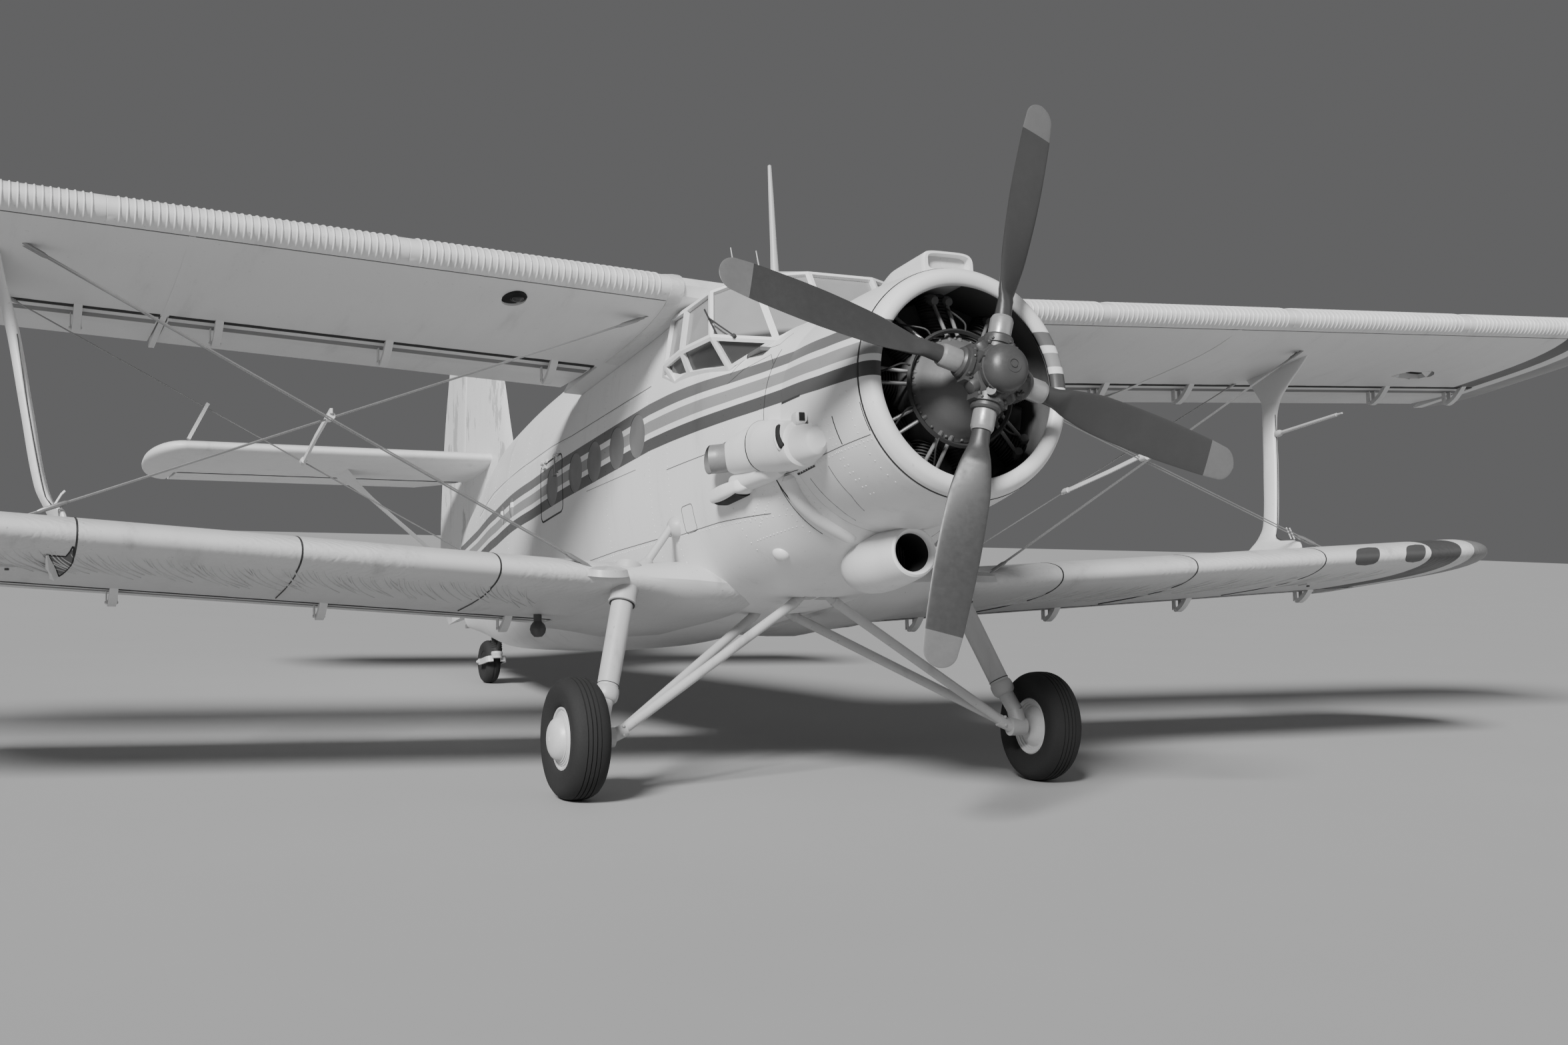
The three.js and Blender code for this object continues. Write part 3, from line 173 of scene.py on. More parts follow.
def paint(name, tone, banded=False, lines=(), streak="z", dirt=0.05, rough=0.42, leaf_shadow=False,
          wrinkles=False, tip=None):
    """Outdoor paint with streaks and specks, and on demand bands, seams, a tip mark, patches of painted
    leaf shadow, wrinkles.
    """
    look = Look(name, tone, rough)
    broad = look.scaled(look.noise(0.7, 4), 0.97, 1.03)
    stretch = {"z": (3, 3, 0.5), "y": (3, 0.5, 3)}[streak]
    streaks = look.ramp(look.noise(1.3, 6, stretch, 0.65),
                        [(0.26, 1.0 - 3.5 * dirt), (0.4, 1.0 - 0.5 * dirt), (0.5, 1.0)])
    specks = look.ramp(look.noise(38, 2), [(0.24, 1.0 - 4 * dirt), (0.30, 1.0)])
    whole = look.product(broad, streaks, specks)
    if banded:
        whole = look.product(whole, bands(look))
    height = look.noise(30, 2)
    if lines:
        seams = line_mask(look, look.y, LENGTH, lines, 0.004)
        whole = look.product(whole, look.scaled(seams, 0.35, 1.0))
        height = look.math("ADD", look.math("MULTIPLY", height, 0.08), seams)
    if tip:
        out = look.math("DIVIDE", look.math("ABSOLUTE", look.x), SPAN)
        stops = [(0.0, 1.0), (tip[0] / SPAN, 0.1), (tip[1] / SPAN, 1.0), (tip[2] / SPAN, 0.3)]
        whole = look.product(whole, look.ramp(out, stops, "CONSTANT"))
    # Darker patches: painted shadow of leaves.
    if leaf_shadow:
        whole = look.product(whole, look.ramp(look.noise(1.5, 7, (2.2, 1.6, 0.5), 0.7),
                                              [(0.54, 1.0), (0.56, 0.66), (0.66, 0.6)]))
    if wrinkles:
        wave = look.tree.nodes.new("ShaderNodeTexWave")
        wave.bands_direction = "DIAGONAL"
        for socket, value in (("Scale", 9), ("Distortion", 7), ("Detail", 3), ("Detail Scale", 1.4)):
            wave.inputs[socket].default_value = value
        look.link(look.place, wave.inputs["Vector"])
        folds = look.product(wave.outputs["Fac"], look.ramp(look.noise(0.8, 2), [(0.42, 0.0), (0.56, 1.0)]))
        height = look.math("ADD", look.math("MULTIPLY", height, 0.1), folds)
    look.tone(look.math("MULTIPLY", whole, tone))
    look.rough(look.scaled(look.noise(3, 4), rough - 0.10, rough + 0.14))
    look.bump(height, 0.003 if wrinkles else 0.0022 if lines else 0.0006,
              0.5 if lines or wrinkles else 0.25)
    return look.material


def plain(name, tone, rough, metal=0.0, grain=60, spread=0.15, depth=0.0008, spec=0.5):
    """A surface with a fine grain and a slightly uneven tone."""
    look = Look(name, tone, rough, metal, spec)
    whole = look.product(look.scaled(look.noise(4, 4), 1 - spread, 1 + spread),
                         look.scaled(look.noise(grain, 3), 0.92, 1.06))
    look.tone(look.math("MULTIPLY", whole, tone))
    look.rough(look.scaled(look.noise(grain * 0.5, 3), max(rough - 0.12, 0.05), min(rough + 0.12, 1)))
    look.bump(look.noise(grain, 4), depth, 0.35)
    return look.material


WHITE = 0.74
SEAMS = [2.05, 2.95, 3.25, 4.2, 5.0, 6.35, 7.2, 7.95, 8.8, 9.6, 10.4]
SKIN = paint("paint", WHITE)
FUSELAGE_PAINT = paint("fuselage_paint", WHITE, banded=True, lines=SEAMS)
COWL_PAINT = paint("cowl_paint", WHITE, banded=True, dirt=0.04)
SPAN = 10.0
UPPER_WING_PAINT = paint("upper_wing_paint", 0.64, streak="y", dirt=0.05, tip=(8.0, 8.24, 8.36))
WING_PAINT = paint("wing_paint", 0.64, streak="y", dirt=0.05)
SLAT_PAINT = paint("slat_paint", 0.66, streak="y", dirt=0.09)
TAIL_PAINT = paint("tail_paint", 0.66, dirt=0.07)
# The fin and rudder carry darker patches of painted leaf shadow.
FIN_PAINT = paint("fin_paint", 0.70, dirt=0.07, leaf_shadow=True)
LOWER_PAINT = paint("lower_wing_paint", 0.56, streak="y", dirt=0.08, wrinkles=True, tip=(6.0, 6.34, 6.5))
GEAR_PAINT = paint("gear_paint", 0.46, dirt=0.09)
BLADE = plain("blade_paint", 0.045, 0.42, grain=45, depth=0.0004)
BLADE_TIP = plain("blade_tip_paint", 0.13, 0.45, grain=45, depth=0.0004)
HUB_METAL = plain("hub_metal", 0.085, 0.42, 0.35, grain=90)
COLLAR = plain("collar_metal", 0.33, 0.35, 0.4, grain=80)
CASTING = plain("crankcase_casting", 0.12, 0.6, 0.15, grain=110, depth=0.0012)
CYLINDER = plain("cylinder_metal", 0.045, 0.6, 0.4, grain=120)
PIPE = plain("pushrod_tube", 0.30, 0.4, 0.5, grain=70)
# Near black for the insides of openings, gaps and hollows: painted shade.
PAINTED_SHADE = plain("painted_recess_shade", 0.012, 0.8)
STEEL = plain("steel", 0.30, 0.38, 0.7, grain=90)
RUBBER = plain("tyre_rubber", 0.022, 0.8, grain=140, depth=0.0015, spec=0.3)
HUB_CAP = plain("hub_cap_paint", 0.58, 0.45, 0.1, grain=60)
# Near black rubber and joints; along the slat's lower edge it is painted shadow.
SEAL_AND_SHADE = plain("rubber_seal_and_shade", 0.03, 0.6)
GAP_SHADE = plain("gap_shade", 0.20, 0.7)
BURNT = plain("burnt_pipe", 0.26, 0.45, 0.35, grain=60, spread=0.4)
LENS = plain("lamp_lens", 0.02, 0.06)
# Dark grey lining; the long tear under the lower starboard wing uses it as painted shade.
LINING_AND_SHADE = plain("cabin_lining", 0.12, 0.7)
CLOTH = plain("seat_cloth", 0.06, 0.9, grain=260, depth=0.001)
# Opaque grey panes; their uneven tone is partly random and partly painted reflections.
WINDOW = plain("window_panel", 0.15, 0.4, grain=20, spread=0.2, depth=0.0003)


BELT_HEIGHT = 0.7


def glazing(name, tone, rough, alpha):
    """Glass, which is darker below the belt of the canopy."""
    look = Look(name, tone, rough)
    stops = [(0.0, 0.2), (BELT_HEIGHT / 2 - 0.01, 0.22), (BELT_HEIGHT / 2 + 0.01, 1.0)]
    pane = look.ramp(look.math("DIVIDE", look.z, 2.0), stops)
    look.tone(look.product(look.scaled(look.noise(2.2, 3), 0.75, 1.2), pane, tone))
    look.rough(look.scaled(look.noise(9, 3), rough, rough + 0.12))
    look.shader.inputs["Alpha"].default_value = alpha
    return look.material


GLASS = glazing("canopy_glass", 0.34, 0.06, 0.8)

# What the name of a solid says about its look; the first word that fits counts.
LOOKS = [
    ("canopy_glass", GLASS), ("cabin_glazing", WINDOW), ("instrument_panel", LINING_AND_SHADE), ("floor", STEEL),
    ("firewall", STEEL), ("_stay_", STEEL), ("pilot_seat", CLOTH), ("belly_struts", GEAR_PAINT),
    ("main_leg", GEAR_PAINT), ("main_tyre", RUBBER), ("main_hub", HUB_CAP),
    ("interplane_strut", WING_PAINT), ("wing", WING_PAINT), ("flap", WING_PAINT), ("aileron", WING_PAINT),
    ("slat", WING_PAINT), ("fin", TAIL_PAINT), ("rudder", TAIL_PAINT), ("tailplane", TAIL_PAINT),
    ("elevator", TAIL_PAINT), ("tail_strut", TAIL_PAINT),
]
for node_name, node in NODES.items():
    kind = next((look for word, look in LOOKS if word in node_name), SKIN)
    node.data.materials.clear()
    node.data.materials.append(kind)


# Shapes

WELD = 2e-5


def turns(count, first=0.0):
    """The angles of evenly spaced places around a circle."""
    return [2 * math.pi * (i + first) / count for i in range(count)]


def signed_power(value, power):
    """A power that keeps the sign of the value."""
    return math.copysign(abs(value) ** power, value)


def heading(path, i):
    """The way along a path at one of its points."""
    return (path[min(i + 1, len(path) - 1)] - path[max(i - 1, 0)]).normalized()


def axes(x, y, z):
    """The turn that lays the three axes along these directions."""
    return Matrix((x, y, z)).transposed()


def linked(name, data):
    """A new object in the scene."""
    thing = bpy.data.objects.new(name, data)
    bpy.context.scene.collection.objects.link(thing)
    return thing


def cleaned(mesh):
    """Joins the double points of a mesh and turns its faces outwards."""
    work = bmesh.new()
    work.from_mesh(mesh)
    bmesh.ops.remove_doubles(work, verts=work.verts, dist=WELD)
    bmesh.ops.recalc_face_normals(work, faces=work.faces)
    work.to_mesh(mesh)
    work.free()
    return mesh


def cross_frame(direction):
    """The direction as a unit vector, and two more at right angles to it."""
    along = Vector(direction).normalized()
    side = along.orthogonal().normalized()
    return along, side, along.cross(side)


class Shape:
    """Points and faces of one piece, with a material number for each face."""

    def __init__(self):
        self.points, self.faces, self.kinds = [], [], []
        self.kind = 0

    def add(self, points, faces):
        start = len(self.points)
        self.points += [tuple(p) for p in points]
        self.faces += [tuple(i + start for i in face) for face in faces]
        self.kinds += [self.kind] * len(faces)
        return self

    def loft(self, rings, low_cap=True, high_cap=True, closed=True):
        n = len(rings[0])
        points = [p for ring in rings for p in ring]
        span = n if closed else n - 1
        faces = []
        for r in range(len(rings) - 1):
            for i in range(span):
                a, b = r * n + i, r * n + (i + 1) % n
                faces.append((a, b, b + n, a + n))
        if low_cap:
            faces.append(tuple(reversed(range(n))))
        if high_cap:
            faces.append(tuple(range((len(rings) - 1) * n, len(rings) * n)))
        return self.add(points, faces)

    def lathe(self, profile, centre, direction, sides, closed=False):
        """A profile of (radius, place along) turned about a line."""
        along, side, other = cross_frame(direction)
        centre = Vector(centre)
        rings = []
        for radius, place in profile:
            spot, reach = centre + along * place, max(radius, 1e-5)
            rings.append([spot + (side * math.cos(a) + other * math.sin(a)) * reach for a in turns(sides)])
        if closed:
            rings.append(rings[0])
        return self.loft(rings, not closed, not closed)

    def rod(self, p, q, radius, end=None, sides=12):
        p, q = Vector(p), Vector(q)
        return self.lathe([(radius, 0), (radius if end is None else end, (q - p).length)], p, q - p, sides)

    def tube(self, path, radius, sides=8):
        path = [Vector(p) for p in path]
        radii = radius if isinstance(radius, (list, tuple)) else [radius] * len(path)
        _, side, _ = cross_frame(path[1] - path[0])
        rings = []
        for i, p in enumerate(path):
            along = heading(path, i)
            side = (side - along * side.dot(along)).normalized()
            other = along.cross(side)
            rings.append([p + (side * math.cos(a) + other * math.sin(a)) * radii[i] for a in turns(sides)])
        return self.loft(rings)

    def block(self, low, high, turn=None, place=(0, 0, 0)):
        corners = [(x, y, z) for x in (low[0], high[0]) for y in (low[1], high[1])
                   for z in (low[2], high[2])]
        if turn is not None:
            corners = [turn @ Vector(c) + Vector(place) for c in corners]
        faces = [(0, 1, 3, 2), (4, 6, 7, 5), (0, 4, 5, 1), (2, 3, 7, 6), (0, 2, 6, 4), (1, 5, 7, 3)]
        return self.add(corners, faces)

    def stud(self, place, normal, radius, height, sides=6):
        """A low round head, for a rivet or a bolt."""
        return self.lathe([(radius, -0.001), (radius * 0.8, height * 0.7), (radius * 0.3, height)],
                          place, normal, sides)

    def done(self, name, looks, body, replaces=(), smooth=True, sharp=35):
        mesh = bpy.data.meshes.new(name)
        mesh.from_pydata(self.points, [], self.faces)
        looks = looks if isinstance(looks, (list, tuple)) else [looks]
        for look in looks:
            mesh.materials.append(look)
        mesh.polygons.foreach_set("material_index", self.kinds)
        mesh.transform(LEVEL)
        return finish_piece(name, mesh, body, replaces, smooth, sharp)


def finish_piece(name, mesh, body, replaces=(), smooth=True, sharp=35):
    """A mesh as a piece that rides on a body."""
    cleaned(mesh)
    if smooth:
        mesh.shade_smooth()
        mesh.set_sharp_from_angle(angle=math.radians(sharp))
    piece = linked(name, mesh)
    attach(piece, body)
    if replaces:
        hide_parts(*replaces)
    return piece


def scratch(shape):
    """A shape as a loose object in the level frame, to cut with."""
    mesh = bpy.data.meshes.new("scratch")
    mesh.from_pydata(shape.points, [], shape.faces)
    return linked("scratch", cleaned(mesh))


def combined(base, cutters, operation="DIFFERENCE"):
    """The base object after boolean steps; the cutters are used up."""
    for cutter in cutters:
        step = base.modifiers.new("cut", "BOOLEAN")
        step.object = cutter
        step.operation = operation
        step.solver = "EXACT"
    graph = bpy.context.evaluated_depsgraph_get()
    mesh = bpy.data.meshes.new_from_object(base.evaluated_get(graph))
    for cutter in cutters:
        bpy.data.objects.remove(cutter)
    base.modifiers.clear()
    base.data = mesh
    return base


def settle(base, name, look, body, replaces=()):
    """A loose level object becomes a piece of the part."""
    mesh = base.data
    mesh.name = name
    mesh.materials.clear()
    mesh.materials.append(look)
    mesh.transform(LEVEL)
    bpy.data.objects.remove(base)
    return finish_piece(name, mesh, body, replaces)


def smooth_table(rows, place):
    """A row of the table at a place, by a smooth curve that never overshoots the rows."""
    xs = [row[0] for row in rows]
    place = min(max(place, xs[0]), xs[-1])
    k = max(i for i in range(len(xs) - 1) if xs[i] <= place)
    h = xs[k + 1] - xs[k]
    t = (place - xs[k]) / h
    out = [place]
    for c in range(1, len(rows[0])):
        v = [row[c] for row in rows]
        slopes = [(v[i + 1] - v[i]) / (xs[i + 1] - xs[i]) for i in range(len(xs) - 1)]

        def tangent(i):
            if i in (0, len(xs) - 1):
                return slopes[0 if i == 0 else -1]
            a, b = slopes[i - 1], slopes[i]
            return 0.0 if a * b <= 0 else 2 * a * b / (a + b)

        m0, m1 = tangent(k), tangent(k + 1)
        if place <= xs[0]:
            out.append(v[0])
            continue
        out.append((2 * t**3 - 3 * t**2 + 1) * v[k] + (t**3 - 2 * t**2 + t) * h * m0
                   + (3 * t**2 - 2 * t**3) * v[k + 1] + (t**3 - t**2) * h * m1)
    return out


def curve_through(points, steps):
    """A smooth path through points."""
    points = [Vector(p) for p in points]
    ends = [points[0] * 2 - points[1]] + points + [points[-1] * 2 - points[-2]]
    path = []
    for i in range(1, len(ends) - 2):
        a, b, c, d = ends[i - 1:i + 3]
        for s in range(steps):
            t = s / steps
            path.append(0.5 * ((2 * b) + (c - a) * t + (2 * a - 5 * b + 4 * c - d) * t * t
                               + (3 * b - a - 3 * c + d) * t**3))
    path.append(points[-1])
    return path


# The fuselage

# Each row is a section: place along, half width, top, bottom, squareness.
FUSELAGE = [
    (1.3, 0.762, 0.782, -0.742, 2.0), (1.51, 0.789, 0.795, -0.818, 2.14), (1.6, 0.8, 0.8, -0.85, 2.2),
    (1.95, 0.848, 0.83, -0.945, 2.5), (2.4, 0.885, 1.08, -1.005, 2.8), (2.95, 0.9, 1.4, -1.035, 3.2),
    (5.0, 0.9, 1.445, -1.045, 3.0), (6.4, 0.85, 1.45, -0.965, 2.8), (8.0, 0.68, 1.44, -0.8, 2.6),
    (9.4, 0.44, 1.33, -0.62, 2.4), (10.6, 0.23, 1.12, -0.35, 2.2), (11.3, 0.11, 0.98, -0.2, 2.0),
]
SPLIT_Y, FIREWALL_Y, STERN_Y = 6.4, 1.51, 11.3
WALL = 0.032
RING = 96


def fuselage_ring(y, grow=0.0):
    """A section of the fuselage, grown or shrunk on all sides."""
    _, width, top, bottom, square = smooth_table(FUSELAGE, y)
    middle, half = (top + bottom) / 2, (top - bottom) / 2 + grow
    return [(signed_power(math.cos(a), 2 / square) * (width + grow), y,
             middle + signed_power(math.sin(a), 2 / square) * half) for a in turns(RING, 0.5)]


def fuselage_side(y, z):
    """The half width of the skin at a height."""
    _, width, top, bottom, square = smooth_table(FUSELAGE, y)
    off = min(abs(z - (top + bottom) / 2) / ((top - bottom) / 2), 0.999)
    return width * (1 - off**square) ** (1 / square)


COWL_Z, COWL_END, BAY_WALL = 0.02, 1.31, 0.018
# The cowl's outer side from its front edge aft. Each row: radius, place along.
COWL_FRONT = [(0.645, 0.236), (0.682, 0.246), (0.712, 0.285), (0.722, 0.32)]
COWL_BACK = [(0.7255, 0.331), (0.735, 0.38), (0.762, 0.6), (0.776, 0.85), (0.776, 1.05), (0.764, 1.31)]


def cowl_outline():
    """The cowl's outer curve as places along and radii."""
    fine = [p for rows in (COWL_FRONT, COWL_BACK) for p in curve_through([(r, y, 0) for r, y in rows], 5)]
    return [p.y for p in fine], [p.x for p in fine]


COWL_PLACES, COWL_RADII = cowl_outline()


def skin_point(y, z, side, lift=0.0):
    """A place on the outer skin of cowl or fuselage, and the way out from it."""
    def x_at(yy, zz):
        if yy < COWL_END:
            radius = float(np.interp(yy, COWL_PLACES, COWL_RADII))
            return math.sqrt(max(radius**2 - (zz - COWL_Z) ** 2, 1e-6))
        return fuselage_side(yy, zz)
    e = 0.004
    x = x_at(y, z)
    across = (x_at(y + e, z) - x_at(y - e, z)) / (2 * e)
    upward = (x_at(y, z + e) - x_at(y, z - e)) / (2 * e)
    normal = Vector((1, -across, -upward)).normalized()
    normal.x *= side
    return Vector((side * x, y, z)) + normal * lift, normal


def tube_shell(y0, y1):
    """The hollow shell between two places."""
    count = max(int((y1 - y0) / 0.09), 2)
    places = [y0 + (y1 - y0) * i / count for i in range(count + 1)]
    outer = [fuselage_ring(y) for y in places]
    inner = [fuselage_ring(y, -WALL) for y in reversed(places)]
    return Shape().loft(outer + inner + [outer[0]], False, False)


# The canopy's corners on the port side, and points of its hidden lower edge.
CANOPY = {
    "centreFoot": (0.25, 1.62, 0.775), "centreTop": (0.25, 1.83, 1.158), "cornerFoot": (0.575, 1.7, 0.615),
    "cornerTop": (0.59, 2.0, 1.155), "beltFront": (0.9, 2.06, 0.71), "shoulderFront": (0.825, 2.2, 1.08),
    "blisterFront": (0.772, 2.056, 0.489), "beltMiddle": (0.94, 2.5, 0.72), "beltAft": (0.925, 2.86, 0.71),
    "shoulderMiddle": (0.83, 2.63, 1.07), "shoulderAft": (0.83, 2.91, 1.08),
    "footMiddle": (0.857, 2.525, 0.564), "footAft": (0.884, 2.756, 0.544),
    "blisterTip": (0.889, 2.982, 0.657), "roofMiddle": (0.33, 2.48, 1.345), "roofAft": (0.33, 2.95, 1.385),
}
CANOPY_ROOT = [
    (0.25, 1.64, 0.56), (0.5, 1.74, 0.44), (0.7, 2.08, 0.35), (0.79, 2.6, 0.4), (0.79, 2.95, 0.45),
]
CANOPY_WALL = 0.028


def canopy_cutter():
    """The room inside the canopy: its hull with every face moved in by the wall."""
    hull = bmesh.new()
    for x, y, z in [*CANOPY.values(), *CANOPY_ROOT]:
        for side in (1, -1):
            hull.verts.new((side * x, y, z))
    bmesh.ops.convex_hull(hull, input=hull.verts)
    planes = [(f.calc_center_median() - f.normal * CANOPY_WALL, f.normal.copy()) for f in hull.faces]
    hull.free()
    room = bmesh.new()
    bmesh.ops.create_cube(room, size=6)
    bmesh.ops.translate(room, verts=room.verts, vec=(0, 2, 0.8))
    for place, normal in planes:
        geometry = room.verts[:] + room.edges[:] + room.faces[:]
        bmesh.ops.bisect_plane(room, geom=geometry, dist=1e-6, plane_co=place,
                               plane_no=normal, clear_outer=True)
        rim = [e for e in room.edges if e.is_boundary]
        if rim:
            bmesh.ops.holes_fill(room, edges=rim)
    shape = Shape()
    room.verts.index_update()
    shape.add([v.co[:] for v in room.verts], [tuple(v.index for v in f.verts) for f in room.faces])
    room.free()
    return scratch(shape)


UPPER = {
    "leY": 2.57, "leZ": 1.185, "teY": 4.92, "teZ": 0.95, "rise": 0.0508, "thick": 0.14, "camber": 0.022,
    "hinge": 0.66, "half": 9.09,
}
LOWER = {
    "leY": 2.65, "leZ": -0.93, "teY": 4.66, "teZ": -1.045, "rise": 0.0645, "thick": 0.14, "camber": 0.022,
    "hinge": 0.72, "half": 7.12,
}
TAILPLANE = {
    "leY": 10.04, "leZ": 1.53, "teY": 11.88, "teZ": 1.53, "rise": 0, "thick": 0.11, "camber": 0,
    "hinge": 0.56, "half": 3.6,
}


def chord_of(wing):
    """The straight distance from the leading edge to the trailing edge."""
    return math.hypot(wing["teY"] - wing["leY"], wing["teZ"] - wing["leZ"])


def foil_height(u, wing, upper):
    """How far a wing's skin lies from its chord line, as a share of the chord."""
    shape = 0.2969 * math.sqrt(u) - 0.126 * u - 0.3516 * u**2 + 0.2843 * u**3 - 0.1015 * u**4
    blunt = 0.002 * min(1.0, u / 0.01)
    return wing["camber"] * 4 * u * (1 - u) + (1 if upper else -1) * (5 * wing["thick"] * shape + blunt)


def wing_point(wing, x, u, upper, grow=0.0):
    """A place on a wing's skin at a share of the chord, or that far outside it."""
    u = max(u, 0.0)
    full = min(1.0, u / 0.02)
    rise_here = foil_height(u, wing, upper) * chord_of(wing) + (grow if upper else -grow) * full
    along = u * (wing["teY"] - wing["leY"]) - grow * (1 - full)
    slope = (wing["teZ"] - wing["leZ"]) / (wing["teY"] - wing["leY"])
    return (x, wing["leY"] + along - rise_here * slope, wing["leZ"] + along * slope + rise_here
            + abs(x) * wing["rise"])


def wing_ring(wing, x, end, grow=0.0):
    """A wing's section at x, up to a share of the chord."""
    marks = [end * (1 - math.cos(math.pi / 2 * i / 20)) for i in range(21)]
    upper = [wing_point(wing, x, u, True, grow) for u in reversed(marks)]
    lower = [wing_point(wing, x, u, False, grow) for u in marks[1:]]
    return upper + lower


def window_cutter(side, y):
    """A round hole through one side wall."""
    inner, outer = ((side * x, y, WINDOW_Z) for x in (0.7, 1.1))
    return scratch(Shape().rod(inner, outer, WINDOW_RADIUS, sides=40))


def corner_arcs(y0, y1, z0, z1, inset, radius, steps):
    """The outline of a box with rounded corners, whose centres lie inside it by the inset."""
    low_y, high_y, low_z, high_z = y0 + inset, y1 - inset, z0 + inset, z1 - inset
    centres = ((high_y, high_z), (low_y, high_z), (low_y, low_z), (high_y, low_z))
    return [(cy + radius * math.cos(a), cz + radius * math.sin(a))
            for quarter, (cy, cz) in enumerate(centres)
            for a in (math.pi / 2 * (quarter + i / steps) for i in range(steps + 1))]


def side_box(side, y0, y1, z0, z1, shrink=0.0):
    """A block through one side wall, with rounded corners."""
    points = corner_arcs(y0, y1, z0, z1, DOOR_CORNER, DOOR_CORNER - shrink, 5)
    rings = [[(side * x, y, z) for y, z in points] for x in (0.5, 1.1)]
    return scratch(Shape().loft(rings))


# The doors: front, back, foot, top.
CARGO_DOOR = (4.86, 6.32, -0.7, 0.8)
EXIT_DOOR = (5.255, 5.89, 0.08, 0.565)
WINDOW_Z, WINDOW_RADIUS = 0.33, 0.165
WINDOW_Y = (3.5, 3.94, 4.45, 4.91)
EXIT_WINDOW_Y = 5.545
CARGO_WINDOW_Y = (5.23, 5.95)
DOOR_GAP, DOOR_CORNER = 0.006, 0.06


def hinge_knuckles(shape, side, x, z, places):
    """The moving half of a door's hinges."""
    for y in places:
        shape.rod((side * x, y - 0.034, z), (side * x, y + 0.034, z), 0.017, sides=16)
        left, right = sorted((side * (fuselage_side(y, z) - 0.016), side * x))
        shape.block((left, y - 0.034, z - 0.048), (right, y + 0.034, z - 0.009))


def hinge_lugs(shape, side, x, z, places):
    """The fixed half of a door's hinges, with the pins."""
    for y in places:
        left, right = sorted((side * (fuselage_side(y, z) - 0.016), side * x))
        for end in (-0.052, 0.052):
            shape.block((left, y + end - 0.01, z - 0.005), (right, y + end + 0.01, z + 0.028))
        shape.rod((side * x, y - 0.062, z), (side * x, y + 0.062, z), 0.008, sides=10)


CARGO_HINGE = (0.896, CARGO_DOOR[3] + 0.006, (5.1, 6.08))
EXIT_HINGE = (0.898, EXIT_DOOR[3] + 0.006, (5.4, 5.74))


def fuselage():
    """The cabin with its openings, both doors, the tail section and the foot bracket of the rudder."""
    cabin = scratch(tube_shell(FIREWALL_Y + 0.0004, SPLIT_Y))
    wing_block = Shape().loft([wing_ring(UPPER, x, 1.0, 0.002) for x in (-0.98, 0, 0.98)])
    cutters = [canopy_cutter(), scratch(wing_block), side_box(1, *CARGO_DOOR), side_box(-1, *EXIT_DOOR)]
    cutters += [window_cutter(-1, y) for y in WINDOW_Y] + [window_cutter(1, y) for y in WINDOW_Y[:3]]
    settle(combined(cabin, cutters), "cabin_skin", FUSELAGE_PAINT, "airframe", ("fuselage_cabin",))
    lugs = Shape()
    hinge_lugs(lugs, 1, *CARGO_HINGE)
    hinge_lugs(lugs, -1, *EXIT_HINGE)
    lugs.done("door_hinge_lugs", SKIN, "airframe")

    for name, side, door, windows, hinge, body in (
        ("cargo_door_port", 1, CARGO_DOOR, CARGO_WINDOW_Y, CARGO_HINGE, "cargo_door_body"),
        ("emergency_exit_starboard", -1, EXIT_DOOR, (EXIT_WINDOW_Y,), EXIT_HINGE, "emergency_exit_body"),
    ):
        leaf = combined(scratch(tube_shell(4.7, SPLIT_Y)),
                        [side_box(side, *door, shrink=DOOR_GAP)], "INTERSECT")
        leaf = combined(leaf, [window_cutter(side, y) for y in windows])
        settle(leaf, name + "_skin", FUSELAGE_PAINT, body, (name,))
        knuckles = Shape()
        hinge_knuckles(knuckles, side, *hinge)
        for y in windows:
            x = fuselage_side(y, WINDOW_Z) - WALL - 0.004
            knuckles.kind = 1
            knuckles.lathe([(WINDOW_RADIUS + 0.02, 0), (WINDOW_RADIUS + 0.02, 0.004), (0.0, 0.004)],
                           (side * x, y, WINDOW_Z), (-side, 0, 0), 32)
            knuckles.kind = 0
        knuckles.done(name + "_fittings", [SKIN, WINDOW], body)

    places = [SPLIT_Y + 0.0004 + (STERN_Y - SPLIT_Y) * i / 48 for i in range(49)]
    stern = scratch(Shape().loft([fuselage_ring(y) for y in places]))
    hinge_cut = Shape().block((-0.7, 0, -0.8), (0.7, 1.8, 3.4))
    hinge_cut.points = [(x, y + rudder_line(z) - 0.066, z) for x, y, z in hinge_cut.points]
    combined(stern, [scratch(hinge_cut)])
    settle(stern, "stern_skin", FUSELAGE_PAINT, "airframe", ("fuselage_tail",))
    bracket = Shape()
    bracket.block((-0.022, rudder_line(-0.15) - 0.26, -0.19), (0.022, rudder_line(-0.15) + 0.02, -0.15))
    bracket.rod((0, rudder_line(-0.19), -0.19), (0, rudder_line(0.06), 0.06), 0.012)
    bracket.done("rudder_foot_bracket", STEEL, "airframe")


RUDDER_FOOT = (11.4, -0.12)
RUDDER_HEAD = (10.96, 3.42)


def rudder_line(z):
    """Where the rudder's hinge line is at a height."""
    (y0, z0), (y1, z1) = RUDDER_FOOT, RUDDER_HEAD
    return y0 + (z - z0) * (y1 - y0) / (z1 - z0)


# Nose cowl: a ring with a rolled lip, a groove behind the lip and a liner of painted shade inside

COWL_LIP = [(0.612, 0.3), (0.6, 0.275), (0.612, 0.25), *COWL_FRONT]
COWL_INSIDE = [(0.746, 1.31), (0.756, 1.05), (0.752, 0.6), (0.7, 0.4), (0.64, 0.33), (0.612, 0.3)]


